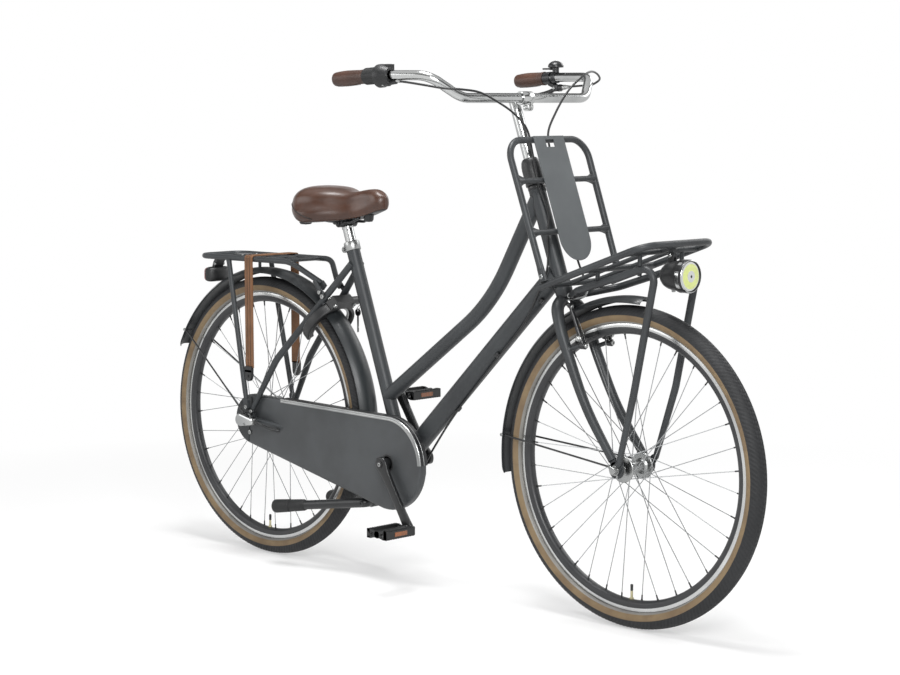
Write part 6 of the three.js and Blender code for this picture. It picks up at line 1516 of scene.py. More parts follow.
@dataclass
class FrontCarrier:
    """The front carrier: upright hoop, platform, struts and the bare plate."""

    tube: float = 7.6
    cross: float = 6.4
    strut: float = 8.2
    hoop_low: float = 792.0
    hoop_top: float = 1070.0
    hoop_half: float = 127.0
    hoop_bars: tuple[float, ...] = (981, 869)
    hoop_bend: float = 46.0
    platform_half: float = 122.0
    platform_bars: tuple[float, ...] = (0.06, 0.42, 0.82)
    strut_half: float = 71.0
    crown_height: float = 716.0
    crown_ahead: float = 29.0
    lug_x: float = 1312.0
    lug_z: float = 826.0
    crown_rod: Profile = ((0, -18), (7.6, -18), (8.2, -17), (8.2, 17), (7.6, 18), (0, 18))
    plate_half: float = 50.0
    plate_low: float = 804.0
    plate_top: float = 1078.0
    plate_ahead: float = 69.6
    plate_thick: float = 2.5
    slot_half: float = 14.0
    slot_height: float = 18.0
    slot_drop: float = 8.0

    def build(self) -> None:
        """Builds the carrier's four parts and its bolts."""
        self.hoop()
        self.platform()
        self.struts()
        self.plate()
        self.bolts()

    @staticmethod
    def flared(piece: Piece, start: Vector, end: Vector, radius: float, reach: float = 24.0,
               mouth: float = 1.35) -> None:
        """A cross bar whose ends flare where they meet the tubes."""
        length = (end - start).length
        shares = [part * reach / length for part in (0, 0.3, 0.6, 1)]
        swell = [radius * (1 + (mouth - 1) * part) for part in (1, 0.55, 0.18, 0)]
        path = [start.lerp(end, s) for s in shares] + [start.lerp(end, 1 - s) for s in reversed(shares)]
        piece.tube(path, swell + swell[::-1], 24)

    def hoop(self) -> None:
        """Builds the hoop, its cross bars and its feet."""
        piece = Piece()
        half, low, top = self.hoop_half, self.hoop_low, self.hoop_top
        corners = [on_hoop(low, -half), on_hoop(top, -half - 4), on_hoop(top, half + 4),
                   on_hoop(low, half)]
        piece.tube(bent(corners, [self.hoop_bend] * 2, 16), self.tube, 28)
        normal = vec(STEER_COS, 0, STEER_SIN)
        gusset = [(32 - 4 * i, self.cross - 1 + 11 * (i / 8) ** 2) for i in range(9)]
        gusset += [(out, -up) for out, up in reversed(gusset)]
        for height in self.hoop_bars:
            self.flared(piece, on_hoop(height, -half - 2), on_hoop(height, half + 2), self.cross)
            for side in SIDES:
                root = on_hoop(height, side * (half + 2)) - normal * 4.5
                piece.slab(gusset, root, LEFT * -side, STEER_AXIS, normal * 9)
        for side in SIDES:
            y = side * half
            foot = platform_point(self.platform_bars[0], y) + UP * 8.5
            line = bent([on_hoop(low + 20, y), on_hoop(low, y), foot], [14], 6)
            piece.tube(line, [self.tube - 0.2 * i for i in range(len(line))], 24)
            piece.tube([on_hoop(low + 34, y), on_hoop(low, y), foot], [7.4, 10, 10.5], 24, flat=0.5)
        piece.make("carrier_hoop_tubes", F.PAINT, "steering", ["carrier_hoop"], edge=0.4)

    def platform(self) -> None:
        """Builds the platform's bent tube, its bars, rods, posts and the lamp's lug."""
        piece = Piece()
        width = self.platform_half
        near, middle, far = self.platform_bars
        corners = [platform_point(0, -width), platform_point(1, -width), platform_point(1, width),
                   platform_point(0, width)]
        piece.tube(bent(corners, [40, 40], 16), self.tube, 28)
        for share in self.platform_bars:
            self.flared(piece, platform_point(share, -width), platform_point(share, width), self.cross,
                        18, 1.2)
        for side in SIDES:
            y = side * width / 3
            piece.rod(platform_point(near, y), platform_point(far, y), 5.1, 20)
            for share in (middle, far):
                head = platform_point(share, side * self.strut_half)
                strut_z = 744 + 68 * (head.x - 1106) / 222
                piece.rod(vec(head.x, head.y, strut_z + 9.4), head, 5, 18)
        piece.rod(platform_point(far, 0), platform_point(1, 0), 5.8, 20)
        x, z = self.lug_x, self.lug_z
        outline = [p for p in circle(x, z, 7, 20) if p[1] <= z + 0.1] + [(x - 7, z + 16), (x + 7, z + 20)]
        outline.sort(key=lambda p: math.atan2(p[1] - z - 6, p[0] - x))
        piece.side_plate(outline, -3, 3)
        piece.lathe([(0, -6.8), (3, -6.8), (3, 6.8), (0, 6.8)], vec(x, 0, z), LEFT, 16)
        piece.make("carrier_platform_tubes", F.PAINT, "steering", ["carrier_platform"],
                   edge=0.4)

    def crown(self, left: float = 0.0) -> Vector:
        """Where the struts meet at the fork's crown, or a point beside it."""
        return by_steering(self.crown_height, self.crown_ahead, left)

    def strut_line(self, side: int) -> Line:
        """The line of one strut, from the axle round to the fork crown."""
        y = side * self.strut_half
        return bent([vec(1219, side * 63.4, 373), vec(1267, y, 533), vec(1328, y, 812), vec(1106, y, 744),
                     self.crown(side * 10.8)], [200, 26, 30], 14)

    def struts(self) -> None:
        """Builds the two struts, their axle eyes and the rod at the crown."""
        piece = Piece()
        eye = belt(WHEELBASE, AXLE_HEIGHT, 11.5, 1219, 373, 8.6, 20)
        for side in SIDES:
            line = self.strut_line(side)
            piece.tube(line, [6.4] + [self.strut] * (len(line) - 1), 28)
            inner = side * 56.3
            piece.side_plate(eye, inner, inner + side * 3,
                             holes=[circle(WHEELBASE, AXLE_HEIGHT, 4.9, 24)])
            piece.tube([vec(1213, side * 58.8, 366), vec(1219, side * 62.4, 373), line[1]], [5, 6.6, 8],
                       22)
        piece.lathe(self.crown_rod, self.crown(), LEFT, 28)
        piece.make("carrier_strut_tubes", F.PAINT, "steering", ["carrier_struts"],
                   edge=0.4)

    def plate(self) -> None:
        """Builds the bare plate on the hoop, with its slot and rounded foot."""
        half, slot = self.plate_half, self.slot_half
        length = (self.plate_top - self.plate_low) / STEER_COS
        outline = [(half, length), (-half, length)] + arc(0, half, half, math.pi, FULL_TURN, 40)
        top = length - self.slot_drop
        low = top - self.slot_height
        hole = [(-slot, top), (slot, top), (slot, low), (-slot, low)]
        piece = Piece()
        thick = vec(STEER_COS, 0, STEER_SIN) * self.plate_thick
        piece.slab(outline, on_hoop(self.plate_low, 0, self.plate_ahead), LEFT, STEER_AXIS, thick, [hole])
        piece.make("front_plate_sheet", F.PLATE, "steering", ["name_plate"], edge=0.6)

    def bolts(self) -> None:
        """Builds the bright bolts where the hoop and the platform meet."""
        piece = Piece()
        for side in SIDES:
            out = LEFT * side
            piece.bolt(platform_point(0.05, side * 131.5, -20), out, 5.4, 3.4)
            piece.bolt(self.crown(side * 18), out, 6, 3.4)
            for share in self.platform_bars[1:]:
                piece.bolt(platform_point(share, side * self.strut_half, -6), UP, 4.6, 3)
        piece.make("carrier_bolts", F.STEEL, "steering", edge=0)


@dataclass
class Headlight:
    """The round headlight that tilts under the platform's front."""

    x: float = 1364.0
    z: float = 784.0
    length: float = 78.0
    bowl: Profile = ((0, 0), (8, 0.6), (13.2, 2.4), (20, 7), (25.7, 14), (29.6, 23), (31.6, 33),
                     (32.6, 44),
                     (33, 50), (34.4, 51.5))
    bezel: Profile = ((34.4, 51.5), (35.6, 52), (36, 53.2), (36, 60), (36, 69.4), (36, 73.4), (35.4, 76),
                      (34.2, 77.6), (33, 78), (32.2, 77), (31.4, 71))
    foot: Profile = ((0, 0), (5, 0), (4.2, 8), (3, 9), (0, 9))
    glass_back: float = 7.0
    glass: tuple[tuple[Profile, int], ...] = (
        (((31.4, 0), (31.4, 4.4), (29.6, 5.0), (27.0, 5.2)), 0),
        (((27.0, 5.2), (20, 5.9), (13, 6.3), (12.4, 6.35)), 1),
        (((12.4, 6.35), (11.4, 6.1), (7, 6.4), (3.2, 7.0)), 0),
        (((3.2, 7.0), (2, 7.2), (0, 7.2)), 2))
    lug_x: float = 1312.0
    lug_z: float = 826.0
    lug_low: float = 812.0
    steps: int = 56

    @staticmethod
    def bezel_mark(turn: int, step: int) -> int:
        """Bright in the bezel's windows and on its front edge."""
        return 1 if step in (6, 7) or (step == 3 and turn % 14 > 3) else 0

    def build(self) -> None:
        """Builds the lamp's body, its mirror and its lens."""
        back = vec(self.x - self.length, 0, self.z)
        body = Piece()
        body.lathe(self.bowl, back, AHEAD, self.steps, 0)
        body.lathe(self.bezel, back, AHEAD, self.steps, self.bezel_mark)
        ear = belt(self.lug_x, self.lug_low, 7, self.lug_x + 0.01, self.lug_z, 7, 16)
        for side in SIDES:
            low, high = span(side, 3.3, 6.8)
            body.side_plate(ear, low, high, mark=0)
            body.bolt(vec(self.lug_x, side * 6.8, self.lug_z), LEFT * side, 4.4, 3, 2)
        body.lathe(self.foot, vec(1316, 0, 757.5), -UP, 20, 2)
        body.make("headlight_shell", [F.PLASTIC, F.CHROME, F.STEEL], "headlight",
                  ["headlight_body"], edge=0.3)
        lens = Piece()
        for profile, mark in self.glass:
            lens.lathe(profile, vec(self.x - self.glass_back, 0, self.z), AHEAD, self.steps, mark)
        lens.make("headlight_glass", [F.BOWL, F.PHOSPHOR, F.PLASTIC], "headlight",
                  ["headlight_lens"], edge=0)


@dataclass
class Fender:
    """A crowned mudguard with rolled edges, and its wire stay."""

    name: str
    body: str
    axle_x: float
    radius: float
    start: float
    end: float
    wire_angle: float
    foot: Vector
    half: float = 30.0
    crown: float = 13.0
    sheet: float = 1.5
    columns: int = 24
    lip: Profile = ((-1.6, 0.4), (-1.9, 2.2))
    tip_length: float = 2.4
    tip_narrowing: float = 0.16
    wire_radius: float = 2.2
    wire_inset: float = 4.4
    eye: Profile = ((0, -2.4), (5.6, -2.4), (5.6, 1.6), (0, 1.6))

    def rise(self, left: float) -> float:
        """The crown's height at a place across the fender."""
        return self.crown * (1 - (abs(left) / self.half) ** 2.2)

    def section(self) -> Outline:
        """The blade's section, as the rise from its crown and the place across."""
        shares = [2 * i / self.columns - 1 for i in range(self.columns + 1)]
        outer = [(self.rise(self.half * s) - self.crown, self.half * s) for s in shares]
        inner_half = self.half - self.sheet - 1.1
        inner = [(self.rise(inner_half * s) - self.crown - self.sheet, -inner_half * s) for s in shares]
        right = [(up - self.crown, self.half - inset) for up, inset in self.lip]
        return outer + right + inner + [(up, -left) for up, left in reversed(right)]

    def build(self) -> None:
        """Builds the mudguard and the wire."""
        section = self.section()
        reach = self.end - self.start
        steps = max(40, int(reach * 0.9))
        rings = []
        for i in range(steps + 1):
            share = i / steps
            tip = min(share, 1 - share) * reach
            narrow = 1 - self.tip_narrowing * max(0.0, 1 - tip / self.tip_length) ** 2
            degrees = self.start + reach * share
            rings.append([wheel_point(self.axle_x, self.radius + up, degrees, left * narrow)
                          for up, left in section])
        piece = Piece()
        piece.loft(rings)
        piece.make(f"{self.name}_fender_blade", F.FENDER, self.body,
                   [f"{self.name}_fender"],
                   edge=0.3)
        self.wire()

    def wire(self) -> None:
        """Builds the wire from one dropout over the fender to the other."""
        y = self.half - self.wire_inset
        reach = self.radius - self.crown + self.rise(y) - self.wire_radius - 2.5
        edge = wheel_point(self.axle_x, reach, self.wire_angle, y)
        corners = [mirrored(self.foot, -1), mirrored(edge, -1), edge, self.foot]
        piece = Piece()
        piece.tube(bent(corners, [7, 7], 8), self.wire_radius, 14, 0)
        for side in SIDES:
            out = LEFT * side
            eye = mirrored(self.foot, side)
            piece.lathe(self.eye, eye, out, 22, 0)
            piece.bolt(eye + out * 1.6, out, 4.4, 2.6, 1)
            clip = wheel_point(self.axle_x, self.radius - self.crown + 2.0, self.wire_angle,
                               side * (self.half - 3.4))
            piece.bolt(clip + out * 2.6, out, 4.0, 2.2, 1)
        piece.make(f"{self.name}_fender_wire", [F.BLACK, F.STEEL], self.body,
                   [f"{self.name}_fender_stay"], edge=0)


ARM_PIVOT = vec(1093, 45, 621)
ARM_WAY = vec(1093 - WHEELBASE, 0, 621 - AXLE_HEIGHT).normalized()


def arm_point(side: int, distance: float, inward: float, forward: float) -> Vector:
    """A point on a brake arm: along it from the pivot, inwards and forwards."""
    return mirrored(ARM_PIVOT, side) + ARM_WAY * distance + vec(forward, -side * inward, 0)


@dataclass
class RimBrake:
    """The front rim brake: two arms with pads, springs and the cable's guide."""

    length: float = 98.0
    radii: tuple[float, ...] = (7.0, 6.6, 5.4, 5.0, 5.4)
    pivot: Profile = ((0, 2), (8, 2), (8, 14), (7, 15), (0, 15))
    head: Profile = ((0, -4), (6.4, -4), (6.4, 4), (0, 4))
    track: float = 17.0
    pad_half: float = 31.0
    pad_depth: float = 5.5
    pad_height: float = 5.0
    pad_face: float = 30.6
    pad_bow: float = 1.6
    washer: Profile = ((0, 0), (6.6, 0), (6.6, 4), (5.6, 5), (0, 5))
    cup: Profile = ((3.6, 0), (7.6, 0), (8.4, 3), (7.6, 6), (3.6, 6))

    def build(self) -> None:
        """Builds both arms."""
        for side, name in NAMED_SIDES:
            self.arm(side, name)

    def arm(self, side: int, name: str) -> None:
        """Builds one arm."""
        piece = Piece()
        out, track = LEFT * side, self.track
        piece.lathe(self.pivot, arm_point(side, 0, 0, 0), AHEAD, 28, 0)
        piece.bolt(arm_point(side, 0, 0, 15), AHEAD, 5.6, 3.4, 1)
        line = bent([arm_point(side, 0, 0, 9), arm_point(side, self.length * 0.45, -2, 9),
                     arm_point(side, self.length, -3, 9)], [60], 12)
        piece.tube(line, spread_radii(self.radii, len(line)), 20, 0, flat=0.78, hint=AHEAD)
        piece.lathe(self.head, arm_point(side, self.length - 3, -3, 9), AHEAD, 24, 0)
        piece.bolt(arm_point(side, self.length - 6, -3, 13), AHEAD, 4.2, 3, 1)
        self.pad(piece, side)
        piece.rod(arm_point(side, track, -10, 9), arm_point(side, track, self.pad_face - 11, 4), 3.4, 18,
                  1)
        piece.lathe(self.washer, arm_point(side, track, -6.5, 9), out, 24, 1)
        piece.hex_nut(arm_point(side, track, -11.5, 9), out, 5.6, 4.6, 1, thread=2.8)
        piece.lathe(self.cup, arm_point(side, track, 6.8, 7), -out, 24, 0)
        spring = [arm_point(side, 4, 6, 12), arm_point(side, 30, 7.6, 12), arm_point(side, 62, 5.5, 10),
                  arm_point(side, 66, 3, 10)]
        piece.tube(curved(spring, 6), 0.9, 8, 1)
        piece.make(f"brake_arm_assembly_{name}", [F.BLACK, F.STEEL, F.RUBBER], f"{name}_brake_arm",
                   [f"brake_arm_{name}"], edge=0.5)

    def pad(self, piece: Piece, side: int) -> None:
        """Adds the bowed brake pad, thinner towards its ends."""
        tangent = vec(-ARM_WAY.z, 0, ARM_WAY.x)
        depth = self.pad_depth
        centre = arm_point(side, self.track, self.pad_face - depth, 2)
        rings = []
        for i in range(13):
            share = -1 + i / 6
            tip = math.sqrt(max(0.0, 1 - max(0.0, abs(share) - 0.84) ** 2 / 0.0289))
            bow = self.pad_bow * (0.5 - share * share)
            middle = centre + tangent * (self.pad_half * share) + ARM_WAY * bow
            height = self.pad_height * (0.55 + 0.45 * tip)
            ring = [(-depth, -height), (depth, -height), (depth, height), (-depth, height)]
            rings.append([middle + LEFT * (side * a) + ARM_WAY * b for a, b in ring])
        piece.loft(rings, 2)


@dataclass
class Drivetrain:
    """The chain case with its trim, the shift box, the cranks and the pedals."""

    rear: float = 64.0
    rear_x: float = -5.0
    rear_z: float = 352.0
    front: float = 113.0
    face: float = 59.5
    split: float = 38.9
    crank: float = 170.0
    angle: float = -57.5
    sheet: float = 1.6
    crank_hole: float = 17.0
    axle_hole: float = 14.0
    collar: Profile = ((17, -1.6), (17, 0.9), (18.2, 1.4), (20.6, 0.9), (21.4, 0))
    trim_end: float = 108.0
    trim_steps: int = 24
    trim_rib: float = 0.6
    trim_form: Profile = (
        (-4.0, -36.0), (0.9, -35.9), (1.5, -36.5), (1.5, -47.0), (0.9, -47.8), (1.5, -48.6), (1.5, -58.2),
        (0.9, -60.0), (-0.6, -60.9), (-3.4, -61.0), (-4.2, -60.5), (-5.0, -61.0), (-8.6, -60.9),
        (-9.0, -60.4),
        (-9.0, -59.8), (-0.4, -59.8), (0.4, -59.0), (0.4, -37.2), (-4.0, -37.2))
    box_form: Profile = (
        (3.5, -86.8), (0.6, -87.6), (0.0, -89.5), (0.0, -105), (1.4, -107.6), (4.4, -108.8), (8, -109.2))
    box_lug: Profile = ((0, 0), (9.6, 0), (9.6, 9), (8.4, 11), (0, 11))
    crank_form: Profile = (
        (-18, 0.5), (-17.4, 5), (-15.5, 9.4), (-11, 14.4), (-5, 17.4), (2, 18), (9, 17.2), (18, 14.6),
        (32, 12.4),
        (60, 11.4), (100, 11), (136, 11.6), (152, 12.8), (162, 13.8), (170, 14), (177, 12.2), (181, 8.8),
        (183.4, 4.4), (184, 0.5))
    crank_half: float = 6.5
    crank_left: float = 77.5
    crank_square: float = 0.55
    crank_cap: Profile = ((0, 0), (8.4, 0), (8.4, 1.4), (7, 2.4), (0, 2.4))
    pedal_washer: Profile = ((0, 0), (8.4, 0), (8.4, 3), (6, 4.6), (0, 4.6))
    pedal_near: float = 89.0
    pedal_far: float = 183.0
    pedal_core: Profile = (
        (5.6, 0), (9.5, 0), (9.5, 10), (8.4, 20), (8.4, 74), (9.5, 84), (9.5, 93), (8.5, 94), (0, 94))
    pedal_teeth: int = 12
    pedal_pitch: float = 7.8
    pedal_plate: Profile = (
        (-33, -9), (-31, -11), (-20, -11), (-10, -8), (10, -8), (20, -11), (31, -11), (33, -9), (33, 9),
        (31, 11), (20, 11), (10, 8), (-10, 8), (-20, 11), (-31, 11), (-33, 9))
    pedal_rod_hole: float = 5.4

    def outline(self, inset: float, steps: int = 40) -> Outline:
        """The case's outline, drawn in by an inset."""
        return belt(self.rear_x, self.rear_z, self.rear - inset, BRACKET.x, BRACKET.z, self.front - inset,
                    steps)

    def build(self) -> None:
        """Builds the case, the trim, the box, the cranks and the pedals."""
        self.case()
        self.trim()
        self.shift_box()
        self.hidden_nodes()
        for side, name in NAMED_SIDES:
            self.crank_arm(side, name)
            self.pedal(side, name)

    def eye(self, side: int) -> Vector:
        """The pedal axle's centre on one side."""
        turn = math.radians(self.angle + (180 if side > 0 else 0))
        return vec(BRACKET.x + self.crank * math.cos(turn), 0, BRACKET.z + self.crank * math.sin(turn))

    def case(self) -> None:
        """Builds the case's outer dish with its rolled edge, and the rear cover."""
        steps = [(1.4, self.split), (0.2, self.split + 0.6), (0.0, self.split + 2),
                 (0.0, self.face - 6.5),
                 (0.5, self.face - 3.6), (1.9, self.face - 1.5), (4.4, self.face - 0.4), (8.0, self.face),
                 (17.0, self.face)]
        piece = Piece()
        rings = [[vec(x, -y, z) for x, z in self.outline(inset)] for inset, y in steps]
        piece.loft(rings, caps=False)
        holes = [circle(BRACKET.x, BRACKET.z, self.crank_hole, 40),
                 circle(0, AXLE_HEIGHT, self.axle_hole)]
        piece.slab(self.outline(16.4), vec(0, 0.05 - self.face, 0), AHEAD, UP, LEFT * self.sheet, holes)
        inner = [[vec(x, -y, z) for x, z in self.outline(inset + self.sheet)] for inset, y in steps[:-2]]
        piece.loft(inner, caps=False)
        lip = [[vec(x, -self.split, z) for x, z in self.outline(inset)] for inset in (1.4, 3.0)]
        piece.loft(lip, caps=False)
        piece.lathe(self.collar, vec(BRACKET.x, -self.face, BRACKET.z), -LEFT, 48, 1)
        piece.make("chain_case_dish", [F.CASE, F.RUBBER], "frame", ["chain_case_outer"],
                   edge=0)
        cover = Piece()
        edge = [(x, z) for x, z in self.outline(5.0, 64) if x < 66]
        edge.sort(key=lambda p: math.atan2(p[1] - AXLE_HEIGHT, p[0] - 8))
        cover.slab(edge, vec(0, -self.face - 0.2, 0), AHEAD, UP, -LEFT * 1.5,
                   [circle(0, AXLE_HEIGHT, self.axle_hole)])
        cover.bolt(vec(-12, -self.face - 1.6, 318), -LEFT, 5.5, 2.2, 1)
        cover.bolt(vec(-18, -self.face - 1.6, 386), -LEFT, 4.0, 2.0, 1)
        cover.make("chain_case_rear_cover", [F.PAINT, F.STEEL], "frame", edge=0.6)

    def trim(self) -> None:
        """Builds the bright strip over the case's upper edge."""
        upper = self.outline(0.0, 60)
        front = [p for p in upper[:61] if p[1] >= BRACKET.z]
        corner, rear = front[-1], upper[61]
        share = (corner[0] - self.trim_end) / (corner[0] - rear[0])
        end = (self.trim_end, corner[1] + (rear[1] - corner[1]) * share)
        count = self.trim_steps
        line = front + [(corner[0] + (end[0] - corner[0]) * i / count,
                         corner[1] + (end[1] - corner[1]) * i / count)
                        for i in range(1, count + 1)]
        rings = []
        line = even([vec(x, 0, z) for x, z in line], 2.0)
        for i, point in enumerate(line):
            along = (line[min(i + 1, len(line) - 1)] - line[max(i - 1, 0)]).normalized()
            out = vec(along.z, 0, -along.x)
            rib = self.trim_rib if i % 2 else 0.0
            rings.append([point + LEFT * y + out * (reach + (rib if reach > 1.4 else 0.0))
                          for reach, y in self.trim_form])
        piece = Piece()
        piece.loft(rings, [1 if k in (2, 5) else 0 for k in range(len(self.trim_form))])
        piece.make("chain_case_bright_trim", [F.ALLOY, F.BLACK], "frame", ["chain_case_trim"],
                   edge=0)

    def shift_box(self) -> None:
        """Builds the chromed box that takes the gear cable."""
        piece = Piece()
        rings = []
        for inset, y in self.box_form:
            outline = belt(1, 356, 16 - inset, 43, 354, max(9 - inset, 0.8), 22)
            rings.append([vec(x, y, z) for x, z in outline])
        piece.loft(rings)
        piece.make("shift_box_cover", F.CHROME, "frame", ["shift_box"], edge=0)
        lug = Piece()
        lug.lathe(self.box_lug, vec(0, -76, AXLE_HEIGHT - 2), -LEFT, 30)
        sleeve = curved([vec(49, -98, 354), vec(66, -98, 351), vec(84, -78, 338), vec(100, -60, 332)], 8)
        lug.tube(sleeve, spread_radii([5.0, 3.2, 3.2, 3.0], len(sleeve)), 18)
        lug.bolt(vec(22, -109, 347), -LEFT, 3.2, 1.6, 1)
        lug.make("shift_box_arm", [F.PLASTIC, F.STEEL], "frame", edge=0.4)

    def hidden_nodes(self) -> None:
        """Dresses the carried-over CAD nodes that sit inside the case."""
        looks = {"chain": F.STEEL, "chainring": F.BLACK, "rear_sprocket": F.STEEL,
                 "bottom_bracket": F.STEEL,
                 "chain_case_inner": F.PAINT}
        for name, finish in looks.items():
            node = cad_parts[name]
            node.data.materials.clear()
            node.data.materials.append(finish.material())

    def crank_arm(self, side: int, name: str) -> None:
        """Builds one forged crank arm with its bolt and the pedal's axle.

        Args:
            side: Which side of the bike.
            name: The side's name.
        """
        eye = self.eye(side)
        root = vec(BRACKET.x, 0, BRACKET.z)
        along = (eye - root).normalized()
        across = along.cross(LEFT)
        piece = Piece()
        rings = []
        for place, half in self.crank_form:
            section = squared(28, half, self.crank_half, self.crank_square, self.crank_square)
            rings.append([root + along * place + across * wide + LEFT * (side * self.crank_left + thick)
                          for wide, thick in section])
        piece.loft(rings)
        out = LEFT * side
        piece.lathe(self.crank_cap, root + out * 84, out, 32, 0)
        piece.bolt(root + out * 85.8, out, 4.8, 1.8, 1, 0)
        piece.rod(eye + out * 82, eye + out * 175, 5, 22, 1)
        piece.lathe(self.pedal_washer, eye + out * 84, out, 24, 1)
        inner = 48.8 if side < 0 else -70.7
        length = 71 - inner
        radius = 13.5 if side < 0 else 8.5
        piece.lathe([(0, 0), (radius, 0), (radius, length), (0, length)], root + out * inner, out, 32, 0)
        piece.make(f"crank_forging_{name}", [F.CRANK, F.STEEL], "crank", [f"crank_{name}"],
                   edge=0.3)

    def pedal(self, side: int, name: str) -> None:
        """Builds one block pedal: a resin cage with grip teeth and two reflectors.

        Args:
            side: Which side of the bike.
            name: The side's name.
        """
        eye = self.eye(side)
        near, far = self.pedal_near, self.pedal_far
        piece = Piece()
        out = LEFT * side
        piece.lathe(self.pedal_core, eye + out * near, out, 28, 0)
        for way in SIDES:
            x = eye.x + way * 28
            low, high = span(side, near, far)
            piece.bar(vec(x - 5, low, eye.z - 9), vec(x + 5, high, eye.z + 9), 0)
            for i in range(self.pedal_teeth):
                y = side * (near + 4 + i * self.pedal_pitch)
                tooth = sorted((y, y + side * 4.2))
                piece.bar(vec(x - 4.8, tooth[0], eye.z - 11), vec(x + 4.8, tooth[1], eye.z + 11), 1)
            glass = span(side, near + 26, near + 66)
            face = sorted((x + way * 3, x + way * 5.5))
            piece.bar(vec(face[0], glass[0], eye.z - 5), vec(face[1], glass[1], eye.z + 5), 2)
        for y in (near, far - 5):
            low, high = span(side, y, y + 5)
            holes = [circle(way * 17, 0, self.pedal_rod_hole, 18) for way in SIDES]
            if y == near:
                holes.append(circle(0, 0, self.pedal_rod_hole, 24))
            piece.slab(self.pedal_plate, eye + LEFT * low, AHEAD, UP, LEFT * (high - low), holes, 0)
        piece.make(f"pedal_block_{name}", [F.PLASTIC, F.RUBBER, F.AMBER], f"{name}_pedal",
                   [f"pedal_{name}"], edge=0.5)


